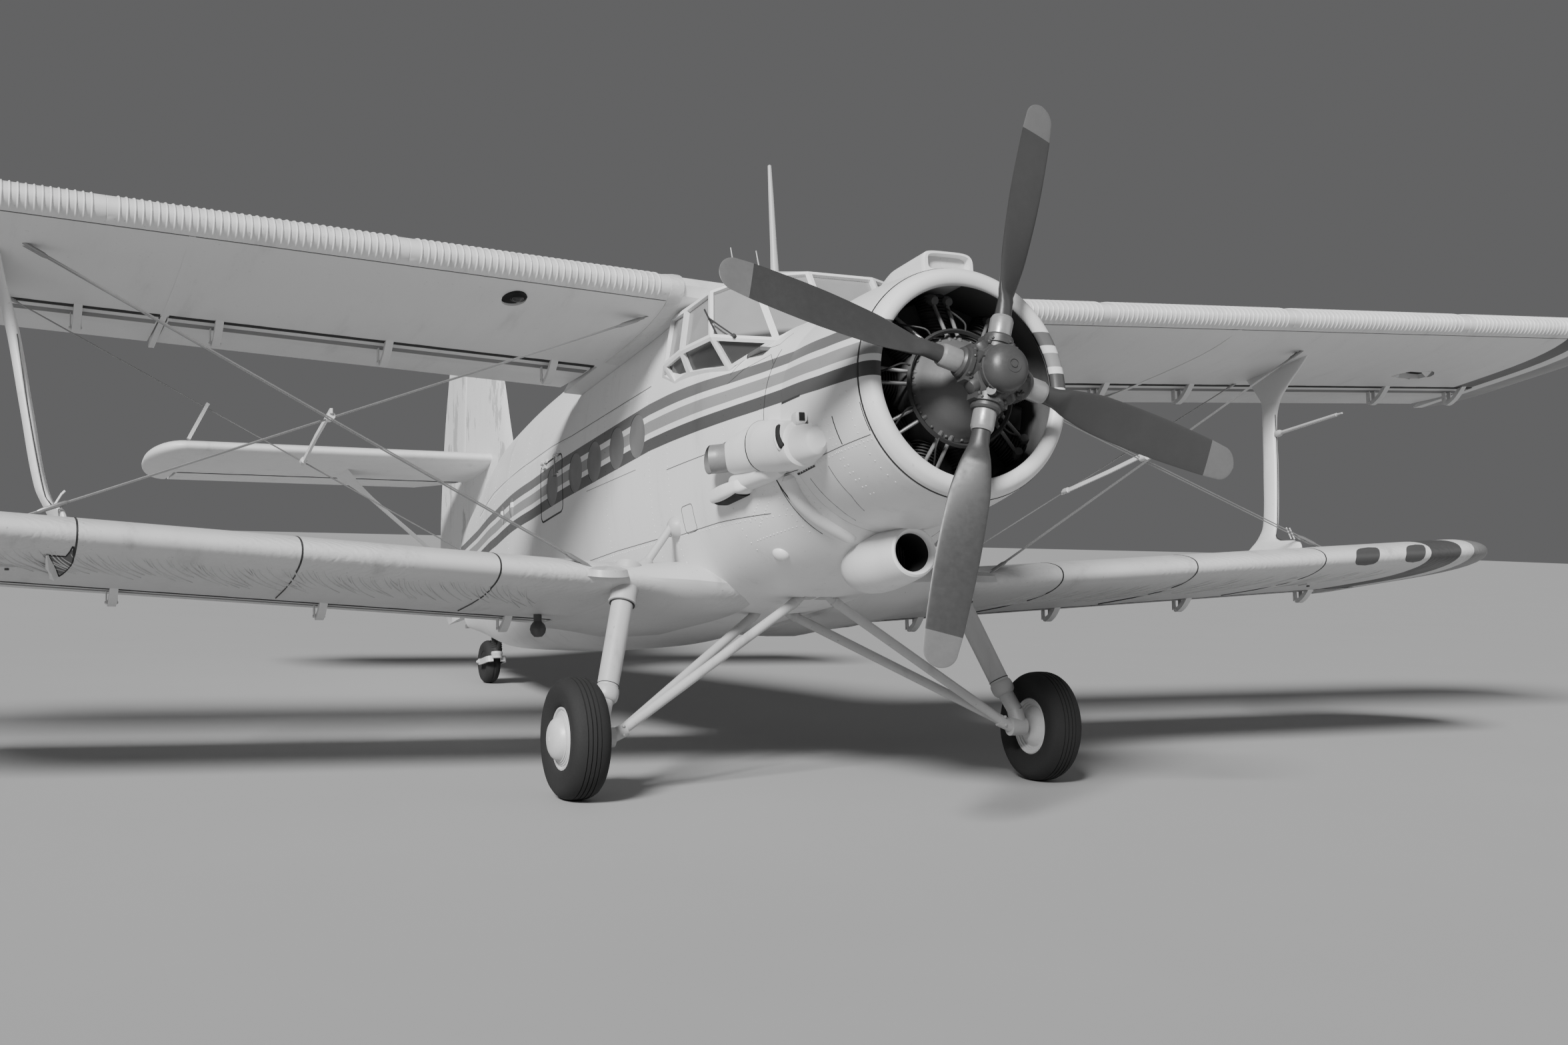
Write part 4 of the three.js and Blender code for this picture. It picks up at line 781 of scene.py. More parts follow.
def nose_cowl():
    """The cowl ring and the short skin behind it."""
    lip = curve_through([(r, y, 0) for r, y in COWL_LIP], 5)
    back = curve_through([(r, y, 0) for r, y in COWL_BACK], 5)
    inside = curve_through([(r, y, 0) for r, y in COWL_INSIDE], 3)
    groove = [Vector((0.7165, 0.3225, 0)), Vector((0.7165, 0.3285, 0))]
    profile = [(p.x, p.y) for p in [*lip, *groove, *back, *inside]]
    ring = Shape().lathe(profile, (0, 0, COWL_Z), (0, 1, 0), 144, closed=True)
    # A liner just inside the inner wall, in painted shade.
    ring.kind = 1
    shade_liner = [(0.738, 1.3), (0.751, 1.05), (0.747, 0.6), (0.695, 0.4), (0.634, 0.336)]
    ring.lathe([(r - 0.003, y) for r, y in shade_liner] + shade_liner[::-1], (0, 0, COWL_Z), (0, 1, 0), 96, closed=True)
    ring.done("cowl_ring", [COWL_PAINT, GAP_SHADE], "airframe", ("nose_cowl",))
    bay = Shape()
    places = [1.3105, 1.36, 1.41, 1.46, 1.5098]
    outer = [fuselage_ring(y) for y in places]
    inner = [fuselage_ring(y, -BAY_WALL) for y in reversed(places)]
    bay.loft(outer + inner + [outer[0]], False, False)
    bay.done("engine_bay_skin", COWL_PAINT, "airframe", ("engine_bay_panels",))


# Propeller

# Each row: height, chord, thickness, pitch in degrees.
BLADE_ROWS = [
    (0.33, 0.112, 0.108, 38), (0.43, 0.118, 0.092, 37), (0.56, 0.184, 0.062, 32), (0.8, 0.25, 0.04, 24),
    (1.15, 0.264, 0.03, 16.5), (1.5, 0.244, 0.024, 12.5), (1.7, 0.212, 0.02, 11),
    (1.775, 0.15, 0.016, 10.5), (1.8, 0.07, 0.012, 10.5),
]
BLADE_END = [1.715, 1.73, 1.745, 1.758, 1.77, 1.78, 1.788, 1.794, 1.798, 1.8]
BLADE_LEAN = math.radians(16)
TIP_FROM = 1.6


def spun(point, angle):
    """A point turned about the propeller shaft."""
    x, y, z = point
    return (x * math.cos(angle) + z * math.sin(angle), y, -x * math.sin(angle) + z * math.cos(angle))


def blade_ring(z):
    """A section of the upright blade at a height."""
    _, chord, thick, degrees = smooth_table(BLADE_ROWS, z)
    if z > 1.7:
        chord = 0.212 * math.sqrt(max(1 - ((z - 1.7) / 0.1003) ** 2, 0.0)) * 0.985 + 0.004
    pitch = math.radians(degrees)
    ring = []
    for angle in turns(28):
        a, b = chord / 2 * math.cos(angle), thick / 2 * math.sin(angle)
        b *= 1.0 if z < 0.5 else (1 - 0.35 * math.cos(angle)) if b > 0 else 0.45
        ring.append((a * math.cos(pitch) - b * math.sin(pitch),
                     a * math.sin(pitch) + b * math.cos(pitch), z))
    return ring


def propeller():
    """The four blades, the hub with its collars and lugs, and the dome."""
    blades = Shape()
    heights = [BLADE_ROWS[0][0] + 0.04 * i for i in range(35)] + BLADE_END
    dark = [h for h in heights if h < TIP_FROM] + [TIP_FROM]
    bright = [TIP_FROM] + [h for h in heights if h > TIP_FROM]
    for turn in (BLADE_LEAN + quarter for quarter in turns(4)):
        blades.kind = 0
        blades.loft([[spun(p, turn) for p in blade_ring(z)] for z in dark], True, False)
        blades.kind = 1
        blades.loft([[spun(p, turn) for p in blade_ring(z)] for z in bright], False, True)
    blades.done("propeller_blades", [BLADE, BLADE_TIP], "propeller_body", ("propeller",))
    hub = Shape()
    hub.lathe([(0.0, -0.092), (0.1, -0.092), (0.15, -0.08), (0.172, -0.055), (0.178, 0),
               (0.172, 0.055), (0.14, 0.09), (0.13, 0.095), (0, 0.095)], (0, 0, 0), (0, 1, 0), 48)
    for turn in (BLADE_LEAN + quarter for quarter in turns(4)):
        way = Vector(spun((0, 0, 1), turn))
        hub.kind = 0
        hub.lathe([(0.095, 0.1), (0.095, 0.17), (0.105, 0.175), (0.105, 0.2), (0.09, 0.205)],
                  (0, 0, 0), way, 32)
        hub.kind = 1
        hub.lathe([(0.068, 0.23), (0.0705, 0.24), (0.0705, 0.345), (0.067, 0.352), (0.062, 0.365)],
                  (0, 0, 0), way, 36)
        hub.kind = 0
        hub.lathe([(0.09, 0.2), (0.092, 0.225), (0.084, 0.238), (0.07, 0.242)], (0, 0, 0), way, 32)
        flank = Vector(spun((1, 0, 0), turn))
        lug = axes(flank, Vector((0, 1, 0)), way)
        for s in (-1, 1):
            hub.block((s * 0.085 - 0.03, -0.05, 0.13), (s * 0.085 + 0.03, 0.035, 0.2), lug)
            hub.stud(flank * 0.085 * s + way * 0.165 + Vector((0, -0.05, 0)), (0, -1, 0), 0.018, 0.016, 6)
        hub.rod(way * 0.15 + Vector((0, -0.07, 0)), way * 0.15 + Vector((0, -0.12, 0)) + flank * 0.05,
                0.02, 0.03, 12)
        for k in range(6):
            spot = Matrix.Rotation(k * math.pi / 3, 3, way) @ way.orthogonal().normalized()
            hub.stud(way * 0.187 + spot * 0.104, spot, 0.011, 0.012, 6)
        between = Vector(spun((0, 0, 1), turn + math.pi / 4))
        hub.lathe([(0.05, 0.13), (0.055, 0.17), (0.045, 0.2), (0.0, 0.212)], (0, -0.02, 0), between, 20)
        hub.stud(between * 0.12 + Vector((0, -0.085, 0)), (0, -1, 0), 0.016, 0.02, 6)
    hub.done("propeller_hub", [HUB_METAL, COLLAR], "propeller_body")
    dome = Shape()
    dome.lathe([(0.142, -0.093), (0.1425, -0.12), (0.149, -0.121), (0.149, -0.132),
                (0.1425, -0.134), (0.1415, -0.16), (0.135, -0.185), (0.121, -0.208), (0.1, -0.226),
                (0.074, -0.238), (0.05, -0.2435), (0.048, -0.247), (0.03, -0.249), (0.029, -0.2445),
                (0.021, -0.2445), (0.02, -0.25), (0.008, -0.25), (0.0, -0.2498)],
               (0, 0, 0), (0, 1, 0), 48)
    for angle in turns(8):
        dome.stud((0.1455 * math.cos(angle), -0.1265, 0.1455 * math.sin(angle)),
                  (math.cos(angle), 0, math.sin(angle)), 0.007, 0.007)
    dome.done("propeller_dome_skin", HUB_METAL, "propeller_body", ("propeller_dome",))


# Radial engine

def engine():
    """The crankcase, nine finned cylinders with push rods and leads, pipes, and near-black plates of
    painted shade between and behind the cylinders.
    """
    body = Shape()
    body.lathe([(0, 0.0955), (0.09, 0.0955), (0.092, 0.12), (0.13, 0.13), (0.15, 0.2), (0.2, 0.25),
                (0.25, 0.3), (0.285, 0.345), (0.305, 0.38), (0.33, 0.4), (0.33, 0.8), (0.26, 0.86),
                (0.26, 1.497), (0, 1.497)], (0, 0, 0), (0, 1, 0), 54)
    for angle in turns(18, 0.5):
        body.stud((0.318 * math.cos(angle), 0.392, 0.318 * math.sin(angle)), (0, -1, 0), 0.011, 0.014)
    body.kind = 3
    body.lathe([(0.345, 0.36), (0.36, 0.345), (0.375, 0.36), (0.36, 0.375)], (0, 0, 0),
               (0, 1, 0), 54, closed=True)
    for turn in turns(9):
        way = Vector(spun((0, 0, 1), turn))
        middle = Vector((0, 0.64, 0))
        body.kind = 1
        profile = [(0.088, 0.3)]
        for k in range(9):
            z = 0.335 + k * 0.02
            profile += [(0.086, z), (0.106, z + 0.002), (0.106, z + 0.006), (0.086, z + 0.008)]
        for k in range(6):
            z = 0.52 + k * 0.02
            wide = 0.122 - 0.002 * k
            profile += [(0.096, z), (wide, z + 0.002), (wide, z + 0.007), (0.096, z + 0.009)]
        profile += [(0.09, 0.648), (0.0, 0.655)]
        body.lathe(profile, middle, way, 28)
        across = Vector(spun((1, 0, 0), turn))
        for s in (-1, 1):
            foot = Vector((0, 0.40, 0)) + way * 0.31 + across * (0.037 * s)
            head = Vector((0, 0.548, 0)) + way * 0.6 + across * (0.05 * s)
            body.kind = 2
            body.rod(foot, head, 0.0125, sides=10)
            body.kind = 0
            body.lathe([(0.02, -0.02), (0.02, 0.03), (0.014, 0.035)], foot, head - foot, 10)
            body.lathe([(0.026, -0.03), (0.034, -0.01), (0.034, 0.06), (0.02, 0.072)],
                       head - Vector((0, 0.01, 0)),
                       Vector((0, 1, 0)) + way * 0.4, 12)
        body.kind = 3
        plug = Vector((0, 0.5, 0)) + way * 0.57
        ring_spot = Vector((0, 0.355, 0)) + Vector(spun((0, 0, 1), turn + 0.16)) * 0.365
        path = curve_through([ring_spot, ring_spot + way * 0.06 + Vector((0, 0.01, 0)),
                              plug - way * 0.05 - Vector((0, 0.05, 0)), plug + Vector((0, 0.06, 0))], 4)
        body.tube(path, 0.006, 6)
        body.kind = 1
        gap = Vector(spun((0, 0, 1), turn + math.pi / 9))
        body.tube(curve_through([Vector((0, 0.84, 0)) + gap * 0.25, Vector((0, 0.8, 0)) + gap * 0.45,
                                 Vector((0, 0.76, 0)) + gap * 0.6], 4), 0.03, 10)
        blocked = Vector((0, 0.62, 0)) + gap * 0.47
        turned = axes(Vector(spun((1, 0, 0), turn + math.pi / 9)), Vector((0, 1, 0)), gap)
        # A near-black plate between two cylinders: painted shade.
        body.kind = 4
        body.block((-0.075, 0.0, -0.1), (0.075, 0.006, 0.13), turned, blocked)
    # A near-black ring plate behind the cylinders: painted shade.
    body.kind = 4
    body.lathe([(0.3, 0.86), (0.7, 0.86), (0.7, 0.866), (0.3, 0.866)], (0, 0, 0),
               (0, 1, 0), 54, closed=True)
    body.done("engine", [CASTING, CYLINDER, PIPE, SEAL_AND_SHADE, PAINTED_SHADE], "airframe", ("radial_engine",))


fuselage()
nose_cowl()
propeller()
engine()


# Wings

UPPER_FLAP, AILERON, LOWER_FLAP, ELEVATOR = (1.0, 4.15), (4.21, 8.26), (1.42, 6.42), (0.168, 3.24)
SLAT_SPAN = (0.96, 8.7)
SLAT_JOINTS = (0.96, 2.81, 4.7, 6.7, 8.7)
# The shares of the chord where a slat ends, above and below.
SLAT_TOP, SLAT_FOOT = 0.16, 0.045
SLAT_THICK, SLAT_BED = 0.026, 0.032
RIDGE_PITCH, RIDGE_HEIGHT = 0.047, 0.0078
RIDGE = ((-0.008, 0), (-0.0045, 0.7), (0, 1), (0.0045, 0.7), (0.008, 0))
RIB_PITCH, FABRIC_SAG = 0.31, 0.004
# The room between moving and fixed surfaces, and the radius of the hinge rods.
SWING = 0.008
ROD = 0.012
# The share of the chord where the tailplane's root rib ends, clear of the rudder.
TAIL_RIB_END = 0.62
# How far beyond its outer moving surface a wing keeps its full chord.
TIP_MARGIN = 0.03
UPPER_ROOT, LOWER_ROOT, TAIL_ROOT = 0.9004, 0.78, 0.02
# The tie down pads under the lower wings: place across and along, and half their width.
PAD = (5.2, 3.3, 0.06)


def sunk(curve, depths):
    """An open curve of (y, z) moved inwards by a depth for each point."""
    out = []
    for i, (y, z) in enumerate(curve):
        (ya, za), (yb, zb) = curve[max(i - 1, 0)], curve[min(i + 1, len(curve) - 1)]
        size = math.hypot(yb - ya, zb - za)
        out.append((y - (zb - za) / size * depths[i], z + (yb - ya) / size * depths[i]))
    return out


def nose_curve(wing, x, top, foot):
    """The (y, z) curve around a wing's nose, between marks on its upper and lower sides."""
    upper = [wing_point(wing, x, top * (i / 12) ** 2, True) for i in range(12, -1, -1)]
    lower = [wing_point(wing, x, foot * (i / 7) ** 2, False) for i in range(1, 8)]
    return [p[1:] for p in upper + lower]


def drawn_in(wing, x, curve, tip_from):
    """The ring at x, which shrinks about the middle of the chord towards the wing's round tip."""
    t = min(max(abs(x) - tip_from, 0) / (wing["half"] - tip_from), 1)
    keep = math.sqrt(1 - (0.985 * t) ** 2)
    middle = [(a + b) / 2 for a, b in zip(wing_point(wing, x, 0.42, True),
                                          wing_point(wing, x, 0.42, False))]
    return [(x, middle[1] + (y - middle[1]) * keep, middle[2] + (z - middle[2]) * keep) for y, z in curve]


def rib_stations(low, high, pitch=RIB_PITCH):
    """Places along a span with the sag of the cloth there, 0 on a rib and 1 between two."""
    count = max(round((high - low) / pitch), 1)
    step = (high - low) / count
    stations = [(low, 0), (low + 0.015, 0)]
    for i in range(1, count + 1):
        x = low + i * step
        stations += [(x - step / 2, 1), (x - 0.015, 0), (min(x + 0.015, high), 0)]
    return stations[:-1] if stations[-1][0] - stations[-2][0] < 1e-6 else stations


def fixed_wing(wing, side, root, ribs, tip_from, slat):
    """A wing up to its hinge line, with its root and outer ribs, its round tip and the hinge rod."""
    shape = Shape()

    def ring(x, end, sag):
        hidden = slat and SLAT_SPAN[0] - SWING < x < SLAT_SPAN[1] + SWING
        nose = nose_curve(wing, side * x, SLAT_TOP, SLAT_FOOT)
        if hidden:
            nose = sunk(nose, [SLAT_BED] * len(nose))
        above, below = SLAT_TOP + 0.004, SLAT_FOOT + 0.004
        uppers = [above + (end - above) * i / 9 for i in range(9, -1, -1)]
        lowers = [below + (end - below) * (i / 11) ** 1.3 for i in range(12)]
        fall = -FABRIC_SAG * sag
        upper = [wing_point(wing, side * x, u, True, fall * (0.2 < u < end - 0.02))[1:] for u in uppers]
        lower = [wing_point(wing, side * x, u, False, fall * (0.1 < u < end - 0.02))[1:] for u in lowers]
        return drawn_in(wing, side * x, upper + nose + lower, tip_from)

    stations = [(x, wing["hinge"], sag) for x, sag in rib_stations(root, tip_from)]
    if slat:
        stations += [(SLAT_SPAN[0] - SWING + e, wing["hinge"], 0) for e in (-0.0004, 0.0004)]
        stations += [(SLAT_SPAN[1] + SWING + e, 1.0, 0) for e in (-0.0004, 0.0004)]
    reach = wing["half"] - tip_from
    stations += [(tip_from + 0.0005 + t * (reach - 0.0005), 1.0, 0)
                 for t in (0, 0.15, 0.3, 0.45, 0.58, 0.7, 0.8, 0.88, 0.94, 0.98, 1)]
    shape.loft([ring(*station) for station in sorted(stations)])
    for low, high in ribs:
        shape.loft([wing_ring(wing, side * x, TAIL_RIB_END if wing is TAILPLANE else 1.0)
                    for x in (low, high)])
    shape.rod(axis_at(wing, side * (ribs[0][0] + 0.02)), axis_at(wing, side * (tip_from + 0.04)), ROD)
    return shape


def depth_at(wing, u):
    """A wing's whole depth at a share of the chord."""
    return (foil_height(u, wing, True) - foil_height(u, wing, False)) * chord_of(wing)


def hinge_mark(wing):
    """The share of the chord where the hinge line lies."""
    return wing["hinge"] + (depth_at(wing, wing["hinge"] + 0.04) / 2 + SWING) / chord_of(wing)


def axis_at(wing, x):
    """The hinge line's place at x."""
    u = hinge_mark(wing)
    return (Vector(wing_point(wing, x, u, True)) + Vector(wing_point(wing, x, u, False))) / 2


def hinged(wing, side, span, name, look, slant=0.0):
    """A flap or other hinged surface: a round nose about its axis, and sagging cloth between ribs."""
    u = hinge_mark(wing)
    radius, length = depth_at(wing, u) / 2, (1 - u) * chord_of(wing)
    tilt = math.atan2(wing["leZ"] - wing["teZ"], wing["teY"] - wing["leY"])
    shape = Shape()

    def half_depth(y, middle=0.6):
        return smooth_table([(0, radius), (length / 2, radius * middle), (length, 0.004)], y)[1]

    def tilted(axis, y, z):
        return (axis.y + y * math.cos(tilt) + z * math.sin(tilt),
                axis.z + z * math.cos(tilt) - y * math.sin(tilt))

    def ring(x, sag):
        axis = axis_at(wing, side * x)
        fall = FABRIC_SAG * 0.7 * sag
        points = [(radius * math.cos(a), radius * math.sin(a))
                  for a in (math.pi * (0.5 + i / 12) for i in range(13))]
        for share, deeper in ((0.12, 0), (0.278, 0), (0.282, 0.002), (0.45, 0.002), (0.65, 0.002),
                              (0.85, 0.001), (1, 0)):
            y = share * length
            points.append((y, -half_depth(y) + deeper + fall * (0.3 < share < 0.9)))
        for share in (1, 0.85, 0.65, 0.45, 0.25, 0.1):
            y = share * length
            points.append((y, half_depth(y, 0.66) - fall * (0.3 < share < 0.9)))
        out = []
        for y, z in points:
            off = slant * max(y, 0) / length * max(0, 1 - (x - span[0]) / 0.5)
            out.append((side * (x + off), *tilted(axis, y, z)))
        return out

    shape.loft([ring(*station) for station in rib_stations(*span)])
    shape.done(name + "_skin", look, name + "_body", (name,))
    if wing is not TAILPLANE:
        shade = Shape()
        rings = []
        for x in (span[0] + 0.01, span[1] - 0.01):
            axis = axis_at(wing, side * x)
            strip = [(y, -half_depth(y)) for y in (0.0, 0.05, 0.1)]
            rings.append([(side * x, *tilted(axis, y, z + lift))
                          for lift, row in ((-0.0015, strip), (0.003, strip[::-1])) for y, z in row])
        shade.loft(rings)
        shade.done(name + "_nose_shade", GAP_SHADE, name + "_body")


def sweep(shape, path, across, half_width, half_thick):
    """A flat bar along a path; its width runs along `across`."""
    path, across = [Vector(p) for p in path], Vector(across).normalized()
    rings = []
    for i, p in enumerate(path):
        off = heading(path, i).cross(across).normalized()
        rings.append([p + across * half_width * a + off * half_thick * b
                      for a, b in ((-1, -1), (1, -1), (1, 1), (-1, 1))])
    shape.loft(rings)


# The bracket's path aft and up from the hinge line, in radii of the surface's nose.
HOOK_PATH = [(-1.75, -0.7), (-1.2, -1.22), (-0.55, -1.72), (0.1, -2.02), (0.5, -2.1), (0.72, -1.98)]


def hinge_hooks(wing, side, places, name):
    """Bent hinge brackets below the hinge line, each with a fork on the moving surface."""
    fixed, forks = Shape(), Shape()
    radius = depth_at(wing, hinge_mark(wing)) / 2
    for x in places:
        axis = axis_at(wing, side * x)
        path = curve_through([axis + Vector((0, y * radius, z * radius)) for y, z in HOOK_PATH], 4)
        sweep(fixed, path, (1, 0, 0), 0.028, 0.02)
        fixed.block((-0.045, -0.09, -0.006), (0.045, 0.03, 0.004), Matrix.Identity(3),
                    path[0] + Vector((0, -0.02, 0.004)))
        for off in (-0.034, 0.034):
            spot = axis + Vector((off, 0, 0))
            sweep(forks, [spot + Vector((0, y * radius, z * radius))
                          for y, z in ((0.55, -0.8), (0.62, -1.4), (0.66, -2.1))],
                  (0, 1, 0), 0.024, 0.004)
        bolt = axis + Vector((0, 0.66 * radius, -1.98 * radius))
        forks.rod(bolt - Vector((0.044, 0, 0)), bolt + Vector((0.044, 0, 0)), 0.009)
    fixed.done(name + "_hinge_hooks", WING_PAINT, "airframe")
    forks.done(name + "_hinge_forks", WING_PAINT, name + "_body")


def slat(side, name):
    """A leading edge slat in four lengths, with raised ridges and a near-black rod of painted shadow along
    its lower edge.
    """
    shape, shadow_rod = Shape(), Shape()
    stations = []
    for low, high in zip(SLAT_JOINTS, SLAT_JOINTS[1:]):
        stations += [(low, -0.004), (low + 0.004, 0), (low + 0.06, 0)]
        count = int((high - low - 0.14) / RIDGE_PITCH) + 1
        first = (low + high - (count - 1) * RIDGE_PITCH) / 2
        for i in range(count):
            centre = first + i * RIDGE_PITCH
            stations += [(centre + w, RIDGE_HEIGHT * h) for w, h in RIDGE]
        stations += [(high - 0.06, 0), (high - 0.004, 0)]
    stations.append((SLAT_SPAN[1], 0))
    rings = []
    for x, lift in stations:
        curve = nose_curve(UPPER, side * x, SLAT_TOP, SLAT_FOOT)
        n = len(curve)
        share = [1 if 1 <= i < n - 2 else 0.3 if i == 0 or i == n - 2 else 0 for i in range(n)]
        outer = sunk(curve, [-lift * s for s in share])
        thick = [SLAT_THICK * min(1, 0.25 + min(i, n - 1 - i) / 4) for i in range(n)]
        rings.append(drawn_in(UPPER, side * x, outer + sunk(curve, thick)[::-1], AILERON[1] + TIP_MARGIN))
    shape.loft(rings)
    shape.done(f"slat_{name}_skin", SLAT_PAINT, f"slat_{name}_body", (f"slat_{name}",))
    # A near-black rod along the slat's lower edge: painted shadow in the crease below it.
    ends = [Vector(wing_point(UPPER, side * x, SLAT_FOOT, False)) + Vector((0, 0.004, 0.004))
            for x in (SLAT_SPAN[0], AILERON[1])]
    shadow_rod.rod(*ends, 0.006, sides=8)
    shadow_rod.done(f"slat_{name}_edge", SEAL_AND_SHADE, f"slat_{name}_body")


def gap_shade_strip(wing, side, span, name):
    """A near-black strip of painted shade along the rear lower edge, in front of a hinged surface, where
    the gap lies.
    """
    rings = []
    below = Vector((0, 0, -0.0015))
    for x in span:
        edge, before = (Vector(wing_point(wing, side * x, wing["hinge"] + e, False)) for e in (0, -0.02))
        along = (edge - before).normalized()
        front, back = edge - along * 0.03, edge + along * 0.034
        rings.append([front + below, edge + below, back, back + Vector((0, 0, 0.003)),
                      front + Vector((0, 0, 0.01))])
    Shape().loft(rings).done(name + "_gap_shade_strip", PAINTED_SHADE, "airframe")


# Places across of the hinge brackets of the upper flaps, the ailerons and the lower flaps.
HOOKS_UPPER = (1.33, 2.6, 3.81)
HOOKS_AILERON = (4.75, 5.82, 7.12, 8.12)
HOOKS_LOWER = (1.75, 3.1, 4.5, 5.9)


def ragged(cx, cy, size, seed):
    """The uneven outline of a torn hole."""
    rng = random.Random(seed)
    ring = []
    for angle in turns(13):
        reach = size * rng.uniform(0.6, 1.25)
        ring.append((cx + math.cos(angle) * reach * 1.5, cy + math.sin(angle) * reach))
    return ring


def lower_skin(wing, x, y):
    """The underside's height at a place, by the chord mark."""
    u = (y - wing["leY"]) / (wing["teY"] - wing["leY"])
    return wing_point(wing, x, u, False)[2]


# Under the upper wings: the landing lamp with its well to starboard, and the torn hole to port.
LAMP = (-2.003, 2.908)
LAMP_WELL = (0.085, 0.12)
TEAR = (7.13, 3.68)
TEAR_REACH, TEAR_SEED = 0.165, 4
CLOTH_THICK = 0.002
# The long tear. Each row: place along, and the places across of its two edges.
LOWER_TEAR = [
    (2.735, -4.858, -4.853), (2.82, -4.87, -4.846), (2.9, -4.885, -4.84), (2.905, -4.984, -4.84),
    (3.0, -4.962, -4.838), (3.1, -4.945, -4.84), (3.2, -4.928, -4.846), (3.31, -4.912, -4.853),
    (3.45, -4.895, -4.864), (3.57, -4.882, -4.876),
]
# The cloth that hangs beside it. Each row: place along, its two edges across, how far it hangs.
LOWER_FLAP_OF_CLOTH = [
    (2.885, -4.985, -5.0, 0.01), (3.0, -4.962, -4.995, 0.03), (3.12, -4.94, -4.988, 0.05),
    (3.25, -4.92, -4.965, 0.04), (3.42, -4.9, -4.945, 0.045), (3.6, -4.88, -4.935, 0.03),
]


def lamp_outline(share=1.0):
    """The rim of the lamp's well, or a share of it."""
    return [(LAMP[0] + LAMP_WELL[0] * share * math.cos(a), LAMP[1] + LAMP_WELL[1] * share * math.sin(a))
            for a in turns(32)]


def wings():
    """Both pairs of wings and the tailplanes, with everything that moves on them."""
    for name, side in SIDES:
        ribs = [(UPPER_ROOT, UPPER_FLAP[0] - 0.03), (4.16, 4.2)]
        base = scratch(fixed_wing(UPPER, side, UPPER_ROOT, ribs, AILERON[1] + TIP_MARGIN, True))
        spot, outline, depth = LAMP, lamp_outline(), 0.085
        if side > 0:
            spot, outline, depth = TEAR, ragged(*TEAR, TEAR_REACH, TEAR_SEED), 0.06
        skin = lower_skin(UPPER, *spot)
        cutter = scratch(Shape().loft([[(x, y, skin + z) for x, y in outline] for z in (-0.1, depth)]))
        settle(combined(base, [cutter]), f"upper_wing_{name}_skin", UPPER_WING_PAINT, "airframe",
               (f"upper_wing_{name}",))
        lower_ribs = [(LOWER_ROOT, LOWER_FLAP[0] - 0.03)]
        lower = fixed_wing(LOWER, side, LOWER_ROOT, lower_ribs, LOWER_FLAP[1] + TIP_MARGIN, False)
        (x, y, half), pad = PAD, lower_skin(LOWER, *PAD[:2])
        lower.block((side * x - half, y - half, pad - 0.016), (side * x + half, y + half, pad + 0.03))
        lower.done(f"lower_wing_{name}_skin", LOWER_PAINT, "airframe", (f"lower_wing_{name}",))
        slat(side, name)
        hinged(UPPER, side, UPPER_FLAP, f"upper_flap_{name}", WING_PAINT)
        hinged(UPPER, side, AILERON, f"aileron_{name}", WING_PAINT)
        hinged(LOWER, side, LOWER_FLAP, f"lower_flap_{name}", WING_PAINT)
        hinge_hooks(UPPER, side, HOOKS_UPPER, f"upper_flap_{name}")
        hinge_hooks(UPPER, side, HOOKS_AILERON, f"aileron_{name}")
        hinge_hooks(LOWER, side, HOOKS_LOWER, f"lower_flap_{name}")
        fixed_wing(TAILPLANE, side, TAIL_ROOT, [(0.06, 0.1)], ELEVATOR[1] + TIP_MARGIN, False).done(
            f"tailplane_{name}_skin", TAIL_PAINT, "airframe", (f"tailplane_{name}",))
        hinged(TAILPLANE, side, ELEVATOR, f"elevator_{name}", TAIL_PAINT, 0.312)
        for wing, span, label in ((UPPER, UPPER_FLAP, "upper_flap"), (UPPER, AILERON, "aileron"),
                                  (LOWER, LOWER_FLAP, "lower_flap"), (TAILPLANE, ELEVATOR, "elevator")):
            gap_shade_strip(wing, side, span, f"{label}_{name}")
        root = Shape()
        for wing, rows, end in (
            (LOWER, ((1.36, 0.001), (1.2, 0.01), (1.05, 0.022), (0.95, 0.036), (0.85, 0.046), (0.6, 0.03),
                     (0.35, 0.0)), 0.97),
            (UPPER, ((0.955, 0.004), (0.93, 0.007), (0.9, 0.012), (0.86, 0.012)), 0.6),
        ):
            root.loft([wing_ring(wing, side * x, end, grow) for x, grow in rows])
        root.done(f"wing_root_fairing_{name}", LOWER_PAINT, "airframe")


def landing_lamp():
    """A lamp in a well, for the starboard side alone."""
    skin = lower_skin(UPPER, *LAMP)
    lamp = Shape()
    way, centre = (0, 0.3, 1), (LAMP[0] + 0.025, LAMP[1] - 0.015, skin)
    lamp.lathe([(0.0, -0.018), (0.025, -0.014), (0.042, 0.0), (0.05, 0.02), (0.0, 0.03)], centre, way, 32)
    lamp.kind = 1
    lamp.lathe([(0.048, 0.008), (0.056, 0.004), (0.056, 0.07), (0.048, 0.07)], centre, way, 32, closed=True)
    # The well's walls and floor, near black: painted shade inside the well.
    lamp.kind = 2
    rims = []
    for share, z in ((0.995, 0.003), (0.995, 0.078), (0.01, 0.078), (0.01, 0.082),
                     (1.03, 0.082), (1.03, 0.003)):
        rims.append([(x, y, skin + z) for x, y in lamp_outline(share)])
    lamp.loft(rims, closed=True)
    lamp.done("wing_landing_lamp", [LENS, SEAL_AND_SHADE, PAINTED_SHADE], "airframe")


